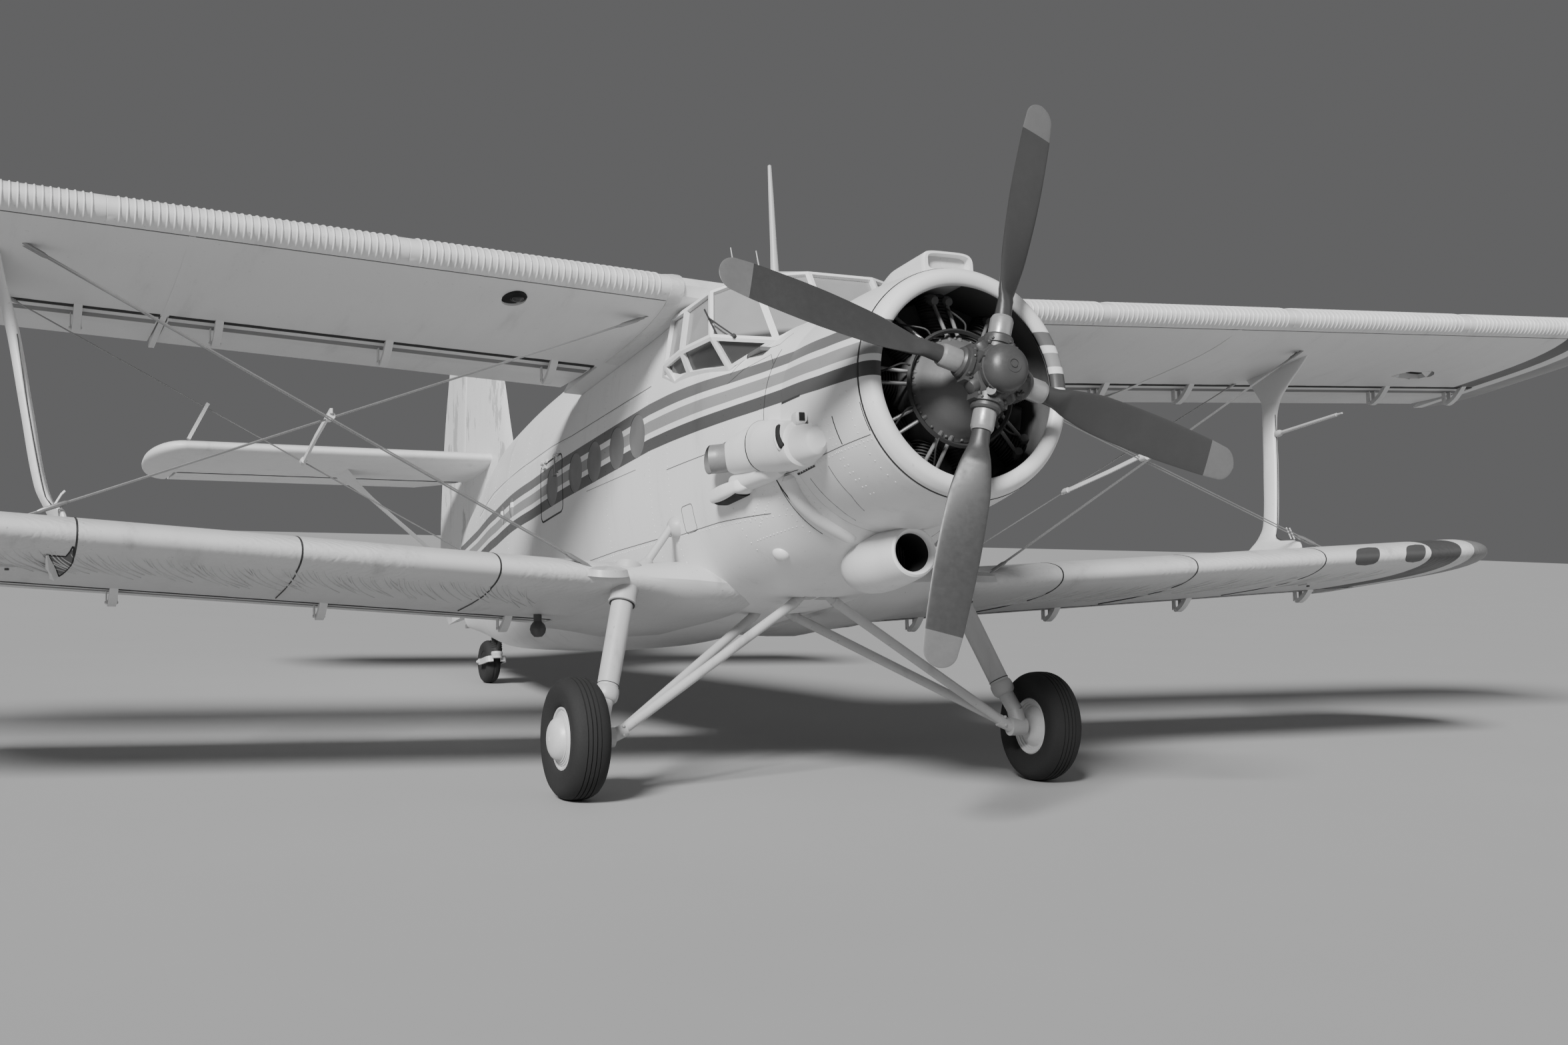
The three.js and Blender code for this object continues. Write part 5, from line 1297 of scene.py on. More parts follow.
def torn_cloth():
    """Loose cloth at the hole in the upper port wing, and a long tear below the lower starboard wing, each
    dark inside with painted shade.
    """
    edge = Shape()
    hole = ragged(*TEAR, TEAR_REACH, TEAR_SEED)
    middle = Vector((*TEAR, lower_skin(UPPER, *TEAR)))
    for i in range(0, len(hole), 3):
        (x, y), (nx, ny) = hole[i], hole[(i + 1) % len(hole)]
        hang = Vector(((x + nx) / 2, (y + ny) / 2, middle.z - 0.018 * ((i * 7) % 4)))
        corners = [Vector((px, py, lower_skin(UPPER, px, py) - 0.001)) for px, py in ((x, y), (nx, ny))]
        corners.append(hang.lerp(middle, 0.12))
        edge.loft([corners, [p + Vector((0, 0, CLOTH_THICK)) for p in corners]])
    # A near-black sheet inside the hole: painted shade.
    edge.kind = 1
    edge.loft([[(x, y, middle.z + z) for x, y in hole] for z in (0.05, 0.054)])
    # The long tear: a dark slab of painted shade.
    edge.kind = 2
    rings = []
    for y, left, right in LOWER_TEAR:
        marks = [(left + (right - left) * i / 4, lift)
                 for lift, order in ((-0.0022, range(5)), (0.003, range(4, -1, -1))) for i in order]
        rings.append([(x, y, lower_skin(LOWER, x, y) + lift) for x, lift in marks])
    edge.loft(rings)
    # Near-black tubes along both edges of the tear: painted shade.
    edge.kind = 1
    for row in (1, 2):
        edge.tube([(r[row], r[0], lower_skin(LOWER, r[row], r[0]) - 0.002) for r in LOWER_TEAR], 0.005, 6)
    edge.kind = 0
    rings = []
    for y, inner, outer, fall in LOWER_FLAP_OF_CLOTH:
        marks = [(inner, 0.004), ((inner + outer) / 2, fall), (outer, fall * 0.6)]
        rings.append([(x, y, lower_skin(LOWER, x, y) - drop - thick)
                      for thick, order in ((0.0, marks), (CLOTH_THICK, marks[::-1])) for x, drop in order])
    edge.loft(rings)
    edge.done("torn_wing_cloth", [WING_PAINT, PAINTED_SHADE, LINING_AND_SHADE], "airframe", smooth=False)


def cloth_folds():
    """Slack folds in the cloth under the lower wings, behind the nose."""
    folds = Shape()
    rng = random.Random(3)
    for side, count in ((-1, 104), (1, 40)):
        for i in range(count):
            x = side * (5.75 - 3.8 * (i + rng.uniform(-0.3, 0.3)) / count)
            start, reach, lean = rng.uniform(2.79, 2.9), rng.uniform(0.3, 0.7), rng.uniform(0.3, 0.5)
            path = []
            for k in range(9):
                t = k / 8
                px, py = x - side * lean * reach * (t ** 1.4 + 0.2 * t), start + reach * t
                path.append((px, py, lower_skin(LOWER, px, py) + 0.0015))
            folds.tube(path, [0.002 + 0.006 * math.sin(math.pi * (k + 0.5) / 9) for k in range(9)], 7)
    folds.done("lower_wing_cloth_folds", LOWER_PAINT, "airframe")


# Struts and wires. A row is a level section: height, place across, front, back, half thickness.

STRUT = [
    (-0.56, 4.87, 2.96, 3.95, 0.05), (-0.5, 4.885, 2.98, 3.86, 0.05), (-0.44, 4.9, 3.0, 3.75, 0.048),
    (-0.4, 4.915, 3.07, 3.69, 0.045), (-0.37, 4.925, 3.28, 3.65, 0.04), (-0.32, 4.95, 3.37, 3.6, 0.036),
    (-0.2, 5.0, 3.385, 3.56, 0.04), (0.3, 5.09, 3.42, 3.59, 0.04), (0.78, 5.17, 3.465, 3.635, 0.04),
    (0.92, 5.2, 3.44, 3.66, 0.04), (1.05, 5.235, 3.34, 3.76, 0.038), (1.2, 5.28, 3.19, 3.91, 0.036),
    (1.48, 5.35, 2.93, 4.2, 0.034),
]
STRUT_FOOT, STRUT_HEAD = -0.54, 1.44


def strut(side, name):
    """The strut between the wings, with its seam and small hooks."""
    rings = []
    for i in range(70):
        z = STRUT_FOOT + (STRUT_HEAD - STRUT_FOOT) * i / 69
        _, x, front, back, thick = smooth_table(STRUT, z)
        half = (back - front) / 2
        dent = min(max((half - 0.1) / 0.3, 0), 0.55)
        rings.append([(side * x + thick * signed_power(math.sin(a), 0.8)
                       * (1 - dent * (1 - math.cos(a) ** 4)),
                       (front + back) / 2 + half * math.cos(a), z) for a in turns(36)])
    shape = Shape().loft(rings)
    shape.kind = 1
    seam = curve_through([(side * x, y, z) for x, y, z in
                          ((5.16, 3.462, 0.8), (5.09, 3.417, 0.3), (5.0, 3.382, -0.2),
                           (4.955, 3.36, -0.32), (4.92, 3.2, -0.385), (4.91, 3.06, -0.4))], 5)
    shape.tube(seam, 0.004, 6)
    shape.kind = 0
    for y, z in ((3.12, -0.36), (3.16, -0.35)):
        shape.tube([(side * 4.94, y, z - 0.02), (side * 4.9, y - 0.01, z + 0.05),
                    (side * 4.88, y - 0.02, z + 0.07)], 0.006, 6)
    shape.done(f"interplane_strut_{name}_skin", [WING_PAINT, SEAL_AND_SHADE], "airframe",
               (f"interplane_strut_{name}",))


def bracing(side, name):
    """The wires with their end fittings, and the bar that spreads them."""
    shape = Shape()
    s = lambda x, y, z: Vector((side * x, y, z))
    pairs = [(s(1.5, 2.69, -0.83), s(5.26, 3.06, 1.34), 0.02),
             (s(0.96, 2.925, 1.1), s(5.14, 3.0, -0.48), 0.02),
             (s(1.36, 4.0, -0.88), s(5.38, 4.05, 1.31), 0.0)]
    for foot, head, apart in pairs:
        along = (head - foot).normalized()
        for off in ((-apart, apart) if apart else (0,)):
            step = Vector((0, off, 0))
            shape.rod(foot + step, head + step, 0.0052, sides=8)
            for end, way in ((foot, along), (head, -along)):
                shape.lathe([(0.006, 0.1), (0.012, 0.13), (0.012, 0.26), (0.006, 0.29)], end + step, way, 8)
        if apart:
            for end, way in ((foot, along), (head, -along)):
                for place, radius in ((0.2, 0.008), (0.29, 0.006)):
                    spot, step = end + way * place, Vector((0, apart, 0))
                    shape.rod(spot - step, spot + step, radius, sides=8)
    names = tuple(f"{kind}_stay_{name}" for kind in ("flying", "landing"))
    shape.done(f"bracing_wires_{name}", STEEL, "airframe", names)
    stick = Shape()
    sweep(stick, [s(3.28, 2.86, 0.255), s(3.27, 3.4, 0.2), s(3.24, 4.06, 0.14)], (0, 0, 1), 0.016, 0.009)
    stick.rod(s(3.275, 2.88, 0.225), s(3.275, 2.96, 0.225), 0.026)
    stick.rod(s(3.245, 3.97, 0.15), s(3.245, 4.03, 0.15), 0.024)
    if side < 0:
        sweep(stick, [s(4.03, 4.0, 0.27), s(3.9, 4.0, 0.53)], (0, 1, 0), 0.02, 0.012)
    stick.done(f"wire_spreader_{name}", WING_PAINT, "airframe")


# Undercarriage

LEG_TOP, KNEE, ANKLE = (1.293, 2.78, -0.85), (1.552, 2.558, -1.67), (1.612, 2.51, -1.83)
APEX, WHEEL = (1.478, 2.484, -1.905), (1.8, 2.484, -1.945)


def main_leg(side, name):
    """A main leg with its collars and the stub of the axle."""
    s = lambda p: Vector((side * p[0], p[1], p[2]))
    top, knee, ankle = s(LEG_TOP), s(KNEE), s(ANKLE)
    at = lambda t: top.lerp(knee, t)
    down = knee - top
    leg = Shape()
    leg.rod(at(-0.12), at(0.216), 0.096, 0.092, 36)
    leg.lathe([(0.09, 0), (0.098, 0.004), (0.098, 0.016), (0.09, 0.02)], at(0.195), down, 36)
    leg.rod(at(0.2), at(1.0), 0.076, 0.072, 36)
    leg.lathe([(0.071, 0), (0.08, 0.012), (0.083, 0.03), (0.083, 0.06), (0.078, 0.085), (0.066, 0.1),
               (0.058, 0.104)], at(0.925), down, 36)
    leg.rod(knee, ankle, 0.057, 0.057, 28)
    leg.rod(ankle, s((1.62, WHEEL[1], WHEEL[2])), 0.062, 0.06, 24)
    leg.rod(s((1.535, *WHEEL[1:])), s((1.66, *WHEEL[1:])), 0.066, 0.066, 28)
    leg.lathe([(0.02, 0), (0.03, 0.004), (0.03, 0.012), (0, 0.014)], s((1.535, *WHEEL[1:])),
              (-side, 0, 0), 12)
    leg.kind = 1
    leg.rod(at(0.214), at(0.222), 0.088, 0.088, 36)
    leg.lathe([(0.0725, 0), (0.0765, 0.003), (0.0725, 0.006)], at(0.905), down, 36)
    leg.done(f"main_leg_{name}_tube", [GEAR_PAINT, SEAL_AND_SHADE], "airframe", (f"main_leg_{name}",))


def belly_struts(side, name):
    """The two struts from the belly to a wheel, with their end fittings."""
    s = lambda p: Vector((side * p[0], p[1], p[2]))
    bars = Shape()
    end = s(APEX)
    for foot in ((0.06, 2.48, -0.975), (0.06, 3.23, -0.985)):
        start = s(foot)
        way = (end - start).normalized()
        bars.rod(start + way * 0.1, end, 0.034, 0.034, 24)
        bars.lathe([(0.016, 0.0), (0.024, 0.05), (0.034, 0.12), (0.037, 0.13), (0.037, 0.16),
                    (0.034, 0.165)], start, way, 20)
        bars.rod(start - Vector((0.05, 0, 0)), start + Vector((0.05, 0, 0)), 0.018)
        bars.block((start.x - 0.045, start.y - 0.05, start.z - 0.04),
                   (start.x + 0.045, start.y + 0.05, start.z + 0.03))
    bars.rod(end + Vector((-side * 0.03, 0, 0.01)), s((1.56, WHEEL[1], WHEEL[2])), 0.045, 0.045, 24)
    for off in (-0.03, 0.03):
        bars.stud(end + Vector((0, -0.04, off)), (0, -1, 0), 0.012, 0.014)
    bars.done(f"belly_struts_{name}_tube", GEAR_PAINT, "airframe", (f"belly_struts_{name}",))


def main_wheel(side, name):
    """The tyre with its grooves, and the hub with its cap."""
    wheel = Vector((side * WHEEL[0], WHEEL[1], WHEEL[2]))
    tyre = [(0.2062, -0.092), (0.225, -0.108), (0.25, -0.1185), (0.29, -0.126), (0.33, -0.13),
            (0.352, -0.124), (0.372, -0.108), (0.386, -0.086)]
    tread = [(0.3935, -0.066)]
    for x in (-0.045, -0.015, 0.015, 0.045):
        r = 0.397 + 0.002 * (abs(x) < 0.03)
        tread += [(r, x - 0.004), (0.39, x - 0.003), (0.39, x + 0.003), (r, x + 0.004)]
    tread += [(0.3935, 0.066)]
    ring = tyre + tread + [(r, -x) for r, x in reversed(tyre)]
    wheel_shape = Shape().lathe(ring, wheel, (side, 0, 0), 72, closed=True)
    wheel_shape.done(f"main_tyre_{name}_rubber", RUBBER, f"main_wheel_{name}",
                     (f"main_tyre_{name}",), sharp=50)
    hub = Shape()
    hub.lathe([(0.0, 0.183), (0.014, 0.183), (0.016, 0.181), (0.07, 0.176), (0.1, 0.166), (0.122, 0.152),
               (0.138, 0.133), (0.146, 0.114), (0.152, 0.112), (0.152, 0.105), (0.162, 0.104),
               (0.164, 0.097), (0.174, 0.096), (0.176, 0.089), (0.186, 0.088), (0.189, 0.094),
               (0.196, 0.1), (0.2058, 0.098), (0.2058, -0.09), (0.198, -0.096), (0.19, -0.084),
               (0.178, -0.082), (0.176, -0.072), (0.163, -0.07), (0.161, -0.06), (0.15, -0.06),
               (0.12, -0.085), (0.09, -0.1), (0.0, -0.1)], wheel, (side, 0, 0), 56)
    for angle in turns(8):
        spot = wheel + Vector((side * 0.088, 0.1815 * math.cos(angle), 0.1815 * math.sin(angle)))
        hub.stud(spot, (side, 0, 0), 0.005, 0.006)
    hub.done(f"main_hub_{name}_cap", HUB_CAP, f"main_wheel_{name}", (f"main_hub_{name}",))


def root_brace(side, name):
    """A short brace above the root of the lower wing, and two round covers on the wing."""
    s = lambda p: Vector((side * p[0], p[1], p[2]))
    fitting = Shape()
    ball = s((0.86, 2.9, -0.45))
    low = s((1.13, 2.89, -0.755))
    fitting.rod(low, ball + Vector((side * 0.02, 0, 0.02)), 0.03, 0.028, 20)
    fitting.lathe([(0.085, -0.03), (0.08, 0.01), (0.055, 0.045), (0.03, 0.06), (0.0, 0.064)], ball,
                  (side, 0, 0.1), 28)
    fitting.lathe([(0.075, -0.02), (0.05, 0.03), (0.034, 0.08)], low, ball - low, 24)
    for centre, wide in ((low, 0.13), (s((1.47, 2.72, -0.80)), 0.17)):
        fitting.lathe([(wide - 0.004, -0.03), (wide, -0.03), (wide - 0.02, 0.016), (wide - 0.07, 0.03),
                       (0, 0.035)], centre, (0, -0.25, 1), 36)
    fitting.done(f"root_brace_{name}", GEAR_PAINT, "airframe")


# Fin and rudder. Each row: height, leading edge, trailing edge, thickness.

FIN = [
    (0.9, 9.05, 12.5, 0.15), (1.5, 9.45, 12.4, 0.15), (2.3, 9.74, 12.18, 0.14), (3.0, 9.99, 11.9, 0.12),
    (3.3, 10.13, 11.76, 0.1),
]
# Each row: height, and the share of the length that is left there.
FIN_TOP = [
    (3.32, 1), (3.37, 0.98), (3.42, 0.93), (3.47, 0.86), (3.51, 0.76), (3.545, 0.64), (3.57, 0.5),
    (3.59, 0.33), (3.6, 0.2),
]
# Each row: share of the length, share of the full thickness.
FIN_DEPTH = [(0, 0.12), (0.04, 0.55), (0.15, 0.9), (0.35, 1), (0.62, 0.86), (1, 0.1)]
# Each row: height, trailing edge.
RUDDER = [
    (-0.06, 12.18), (0.1, 12.4), (0.5, 12.51), (0.9, 12.5), (1.5, 12.4), (2.3, 12.18), (3.0, 11.9),
    (3.29, 11.77),
]
RUDDER_NOSE = 0.058
FIN_FOOT, FIN_HEAD = 0.9, 3.308
RUDDER_LOW, RUDDER_HIGH, RUDDER_RIBS = -0.06, 3.29, 0.26


def fin_and_rudder():
    """The fin with its round head, the rudder and the struts of the tailplanes."""
    marks = [0, 0.01, 0.025, 0.05, 0.09, 0.15, 0.24, 0.35, 0.48, 0.62, 0.8, 1]

    def ring(z, front, back, thick, stop=None):
        side_points = []
        for u in marks:
            y = front + u * (back - front)
            place = u if stop is None or y < stop else (stop - front) / (back - front)
            share = smooth_table(FIN_DEPTH, place)[1]
            side_points.append((share * thick / 2, y if stop is None else min(y, stop)))
        right = [(w, y, z) for w, y in side_points]
        return right + [(-w, y, z) for w, y in reversed(side_points)]

    rings = []
    for i in range(38):
        z = FIN_FOOT + (FIN_HEAD - FIN_FOOT) * i / 37
        _, front, back, thick = smooth_table(FIN, z)
        rings.append(ring(z, front, back, thick, rudder_line(z) - RUDDER_NOSE - SWING))
    _, front, back, thick = FIN[-1]
    middle = (front + back) / 2
    for z, keep in [(FIN_HEAD + 0.0005, 1)] + FIN_TOP:
        half = (back - front) / 2 * (keep * 0.85 + 0.13)
        rings.append(ring(z, middle - half, middle + half, thick * max(keep, 0.25)))
    fin = Shape().loft(rings)
    fin.rod((0, rudder_line(3.05), 3.05), (0, rudder_line(3.4), 3.4), ROD)
    fin.done("fin_skin", FIN_PAINT, "airframe", ("fin",))
    rings = []
    for z, sag in rib_stations(RUDDER_LOW, RUDDER_HIGH, RUDDER_RIBS):
        y, back = rudder_line(z), smooth_table(RUDDER, z)[1]
        reach = back - y
        nose = [(RUDDER_NOSE * math.cos(a), y - RUDDER_NOSE * math.sin(a))
                for a in (math.pi * k / 12 for k in range(13))]
        rows = [(0, RUDDER_NOSE), (reach * 0.45, 0.04), (reach, 0.005)]
        flank = [(smooth_table(rows, reach * share)[1] - 0.003 * sag * (0.2 < share < 0.9),
                  y + reach * share) for share in (1, 0.85, 0.65, 0.45, 0.25, 0.1)]
        rings.append([(w, yy, z) for w, yy in flank + nose] + [(-w, yy, z) for w, yy in reversed(flank)])
    Shape().loft(rings).done("rudder_skin", FIN_PAINT, "rudder_body", ("rudder",))
    for name, side in SIDES:
        shape = Shape()
        rings = []
        head, foot = Vector((side * 1.63, 10.74, 1.5)), Vector((side * 0.14, 10.53, 0.14))
        for i in range(41):
            t = i / 40
            flare = 1 + 3.4 * max(0, (t - 0.72) / 0.28) ** 1.6
            thick = 0.03 - 0.012 * max(0, (t - 0.62) / 0.38)
            centre = foot.lerp(head, t)
            wide = 0.078 * flare
            rings.append([centre + Vector((side * thick * math.sin(a), wide * math.cos(a),
                                           thick * math.sin(a)))
                          for a in turns(24)])
        shape.loft(rings)
        shape.block((head.x - 0.04, head.y - 0.22, 1.45), (head.x + 0.04, head.y + 0.22, 1.475))
        shape.stud(foot + Vector((side * 0.01, -0.02, 0)), (side, 0, 0), 0.03, 0.03, 12)
        shape.done(f"tail_strut_{name}_skin", TAIL_PAINT, "airframe", (f"tail_strut_{name}",))


# Scoops and exhaust. A row is an upright section: y, x, z, half width, half height, squareness.

def square_loft(shape, rows, steps=5):
    """A closed form through upright sections with rounded corners."""
    count = steps * (len(rows) - 1)
    fine = [rows[0][0] + (rows[-1][0] - rows[0][0]) * i / count for i in range(count + 1)]
    rings = []
    for y in sorted(set(fine + [row[0] for row in rows])):
        _, x, z, half_x, half_z, square = smooth_table(rows, y)
        rings.append([(x + signed_power(math.cos(a), 2 / square) * half_x, y,
                       z + signed_power(math.sin(a), 2 / square) * half_z) for a in turns(44, 0.5)])
    return shape.loft(rings)


CHIN_Z = -0.9


def carburettor_scoop():
    """The scoop on top of the cowl, with a plate in its mouth."""
    top = square_loft(Shape(), [(0.4, 0, 0.785, 0.172, 0.088, 4), (0.415, 0, 0.785, 0.18, 0.096, 4.5),
                                (0.8, 0, 0.787, 0.178, 0.094, 4.5), (1.0, 0, 0.78, 0.155, 0.072, 4),
                                (1.22, 0, 0.752, 0.12, 0.034, 4)])
    mouth = square_loft(Shape(), [(0.35, 0, 0.808, 0.152, 0.056, 4.5), (0.7, 0, 0.8, 0.13, 0.045, 4.5)])
    settle(combined(scratch(top), [scratch(mouth)]), "carburettor_scoop_skin", COWL_PAINT, "airframe",
           ("carburettor_scoop",))
    inner = Shape()
    for x in (-0.1, -0.05, 0, 0.05, 0.1):
        inner.block((x - 0.003, 0.462, 0.74), (x + 0.003, 0.49, 0.87))
    inner.block((-0.15, 0.455, 0.74), (0.15, 0.462, 0.87))
    inner.done("carburettor_grille", LOWER_PAINT, "airframe")


def oil_cooler_scoop():
    """The scoop under the cowl, with bars in front of a near-black core and mouth: painted shade inside the
    scoop.
    """
    chin = Shape()
    outer = [(0.123, 1.46), (0.123, 1.3), (0.123, 1.14), (0.124, 1.085), (0.128, 1.062), (0.136, 1.045),
             (0.148, 1.038), (0.162, 1.05), (0.172, 1.09), (0.184, 1.2), (0.193, 1.32), (0.196, 1.45),
             (0.193, 1.56), (0.182, 1.65), (0.158, 1.73), (0.12, 1.79), (0.07, 1.825), (0.0, 1.835)]
    rings = []
    for r, y in outer:
        wide = 1 + 0.12 * min(max((y - 1.2) / 0.3, 0), 1) * (r > 0.13)
        rings.append([(r * wide * math.cos(a), y, CHIN_Z - 0.02 * max(y - 1.3, 0) + r * math.sin(a))
                      for a in turns(56)])
    chin.loft(rings[3:], False, True)
    # The mouth's inner walls and the core disc in painted shade.
    chin.kind = 1
    chin.loft(rings[:4], False, False)
    chin.lathe([(0.0, 1.38), (0.1165, 1.38), (0.1165, 1.39), (0, 1.39)], (0, 0, CHIN_Z), (0, 1, 0), 32)
    chin.kind = 2
    for k in range(-5, 6):
        reach = math.sqrt(0.116**2 - (k * 0.02) ** 2)
        chin.block((k * 0.02 - 0.0015, 1.36, CHIN_Z - reach), (k * 0.02 + 0.0015, 1.378, CHIN_Z + reach))
    chin.kind = 0
    for angle in turns(14, 0.5):
        chin.stud((0.171 * math.cos(angle), 1.1, CHIN_Z + 0.171 * math.sin(angle)),
                  (math.cos(angle), -0.3, math.sin(angle)), 0.004, 0.003)
    chin.done("oil_cooler_scoop_skin", [COWL_PAINT, PAINTED_SHADE, STEEL], "airframe", ("oil_cooler_scoop",))


def exhaust_stack():
    """The cover on the starboard side with its slot, and the pipe that leaves it."""
    stack = Shape()
    square_loft(stack, [(0.79, -0.745, -0.26, 0.03, 0.05, 2), (0.82, -0.76, -0.26, 0.075, 0.09, 2),
                        (0.88, -0.772, -0.258, 0.102, 0.112, 2.1),
                        (0.95, -0.78, -0.255, 0.118, 0.125, 2.2), (1.02, -0.785, -0.25, 0.125, 0.135, 2.2)])
    square_loft(stack, [(0.953, -0.785, -0.252, 0.115, 0.128, 2.2),
                        (0.968, -0.79, -0.25, 0.134, 0.145, 2.2), (1.0, -0.79, -0.246, 0.14, 0.15, 2.2),
                        (1.15, -0.795, -0.225, 0.148, 0.16, 2.2), (1.3, -0.798, -0.195, 0.15, 0.17, 2.2),
                        (1.465, -0.802, -0.167, 0.148, 0.172, 2.2)])
    square_loft(stack, [(1.477, -0.802, -0.167, 0.143, 0.165, 2.2),
                        (1.6, -0.82, -0.165, 0.139, 0.158, 2.1), (1.77, -0.84, -0.162, 0.124, 0.14, 2),
                        (1.83, -0.85, -0.162, 0.11, 0.122, 2), (1.85, -0.852, -0.162, 0.09, 0.1, 2)])
    bend = curve_through([(-0.84, 1.66, -0.158), (-0.86, 1.77, -0.164), (-0.92, 1.86, -0.167),
                          (-1.0, 1.93, -0.168)], 6)
    out = (bend[-1] - bend[-3]).normalized()
    for kind, radius, path, ahead in ((2, 0.096, bend, 1), (3, 0.0925, bend[::-1], -1)):
        stack.kind = kind
        rings = []
        for i, spot in enumerate(path):
            last = spot is bend[-1]
            way = out if last else heading(path, i) * ahead
            across = Vector((way.y, -way.x, 0)).normalized() + (out * 0.72 if last else Vector())
            rings.append([spot + across * radius * math.cos(a) + Vector((0, 0, radius * math.sin(a)))
                          for a in turns(44)])
        stack.loft(rings, False, False)
    # Painted shade: a near-black ring in the gap where the shrouds overlap, a disc inside the pipe, and the
    # slot as a near-black tube.
    stack.kind = 1
    square_loft(stack, [(1.462, -0.802, -0.167, 0.1495, 0.1735, 2.2),
                        (1.482, -0.802, -0.167, 0.1455, 0.1675, 2.2)], 1)
    stack.lathe([(0.0, 0), (0.092, 0), (0.092, 0.004), (0, 0.004)], bend[8], bend[9] - bend[8], 32)
    slot = curve_through([(-0.89, 1.08, -0.122), (-0.912, 1.045, -0.165), (-0.924, 1.02, -0.208),
                          (-0.927, 0.995, -0.245), (-0.923, 0.975, -0.279)], 5)
    stack.tube(slot, [0.014, 0.02] + [0.022] * (len(slot) - 4) + [0.02, 0.014], 12)
    stack.kind = 0
    hood = [slot[-1] + Vector((0, 0.034, -0.012))]
    hood += [p + Vector((-0.002, 0.034, 0.002)) for p in slot[::-1]]
    hood += [slot[0] + Vector((0.008, 0.012, 0.024)), slot[0] + Vector((0.022, -0.025, 0.012))]
    stack.tube(hood, [0.01] + [0.019] * (len(hood) - 3) + [0.014, 0.008], 10)
    for y, z in ((1.53, -0.322), (1.43, -0.33), (1.36, -0.33)):
        stack.lathe([(0.016, -0.012), (0.016, 0.014), (0.01, 0.02), (0, 0.021)],
                    (-0.84 + (1.53 - y) * 0.1, y, z), (-0.5, 0, -0.8), 12)
    stack.done("exhaust_stack_skin", [COWL_PAINT, PAINTED_SHADE, BURNT, LINING_AND_SHADE], "airframe", ("exhaust_stack",))


def exhaust_fairings():
    """Small fairings around the exhaust, and the one below it that runs to the belly."""
    boxes = Shape()
    square_loft(boxes, [(0.905, -0.805, -0.096, 0.024, 0.034, 3), (0.92, -0.815, -0.098, 0.036, 0.042, 3),
                        (0.98, -0.81, -0.1, 0.04, 0.046, 3), (1.08, -0.77, -0.105, 0.02, 0.03, 2)])
    square_loft(boxes, [(1.36, -0.75, -0.32, 0.04, 0.05, 2), (1.46, -0.785, -0.33, 0.07, 0.065, 2.2),
                        (1.75, -0.815, -0.33, 0.075, 0.07, 2.4), (1.87, -0.83, -0.33, 0.068, 0.055, 2.4),
                        (1.89, -0.83, -0.33, 0.05, 0.04, 2.4)])
    square_loft(boxes, [(1.7, -0.83, -0.37, 0.03, 0.03, 3), (1.76, -0.84, -0.373, 0.07, 0.048, 3),
                        (1.98, -0.86, -0.382, 0.084, 0.056, 3.5), (2.09, -0.865, -0.387, 0.08, 0.05, 3.5),
                        (2.13, -0.87, -0.387, 0.05, 0.03, 3)])
    # Painted shade: a near-black block in the front of the small fairing, and a near-black strip along the
    # underside of the one that runs to the belly.
    boxes.kind = 1
    boxes.block((-0.834, 0.9, -0.122), (-0.798, 0.94, -0.07))
    square_loft(boxes, [(1.78, -0.84, -0.405, 0.055, 0.03, 3), (2.06, -0.865, -0.418, 0.062, 0.03, 3)], 1)
    boxes.done("exhaust_fairings", [COWL_PAINT, PAINTED_SHADE], "airframe")
    band = Shape()
    path = curve_through([(-0.69, 1.40, -0.36), (-0.62, 1.42, -0.5), (-0.5, 1.43, -0.61),
                          (-0.36, 1.43, -0.69), (-0.22, 1.45, -0.75)], 6)
    band.tube(path, [0.03] + [0.052] * (len(path) - 2) + [0.04], 14)
    band.done("belly_pipe_fairing", COWL_PAINT, "airframe")


wings()
landing_lamp()
cloth_folds()
torn_cloth()
for side_name, side_sign in SIDES:
    strut(side_sign, side_name)
    bracing(side_sign, side_name)
    main_leg(side_sign, side_name)
    belly_struts(side_sign, side_name)
    main_wheel(side_sign, side_name)
    root_brace(side_sign, side_name)
fin_and_rudder()
carburettor_scoop()
oil_cooler_scoop()
exhaust_stack()
exhaust_fairings()


# Small fittings

# Thin joints in the skin. Each row: a path of (place along, height), the joint's width, starboard only.
JOINTS = [
    ([(0.64, -0.15), (0.64, -0.32)], 0.009, False), ([(0.34, -0.13), (0.34, -0.3)], 0.006, False),
    ([(1.0, -0.16), (1.0, -0.33)], 0.009, False),
    ([(0.35, -0.32), (0.9, -0.335), (1.5, -0.355)], 0.004, False),
    ([(1.05, -0.37), (1.32, -0.372)], 0.014, False), ([(1.0, 0.062), (1.29, 0.078)], 0.014, True),
    ([(1.511, 0.5), (1.511, -0.72)], 0.005, False), ([(1.52, -0.32), (1.49, -0.52)], 0.01, True),
    ([(2.03, 0.444), (1.97, 0.515), (1.88, 0.566), (1.6, 0.557), (1.56, 0.631)], 0.004, False),
    ([(1.52, 0.4), (1.62, 0.49), (1.88, 0.45), (2.03, 0.38)], 0.003, False),
    ([(1.85, -0.02), (2.3, -0.056), (2.94, -0.034)], 0.004, False),
    ([(3.55, 0.085), (4.65, 0.126)], 0.003, False),
    ([(1.7, -0.56), (2.25, -0.53), (2.85, -0.52), (3.1, -0.49), (4.1, -0.44), (4.8, -0.42)], 0.004, False),
    ([(3.2, 0.64), (5.0, 0.656), (5.56, 0.684), (6.3, 0.695), (8.0, 0.74), (9.2, 0.72)], 0.004, False),
    ([(6.42, -0.3), (8.0, -0.24), (9.4, -0.12), (10.8, 0.06)], 0.004, False),
    ([(1.2, -0.42), (1.19, -0.6), (1.21, -0.68)], 0.004, True),
    ([(0.9, -0.4), (0.92, -0.58), (0.98, -0.66)], 0.004, True),
]
# Each row: front, back, foot, top, corner radius.
HATCHES = [(2.57, 2.75, -0.53, -0.34, 0.03), (7.3, 7.62, -0.2, 0.02, 0.05)]
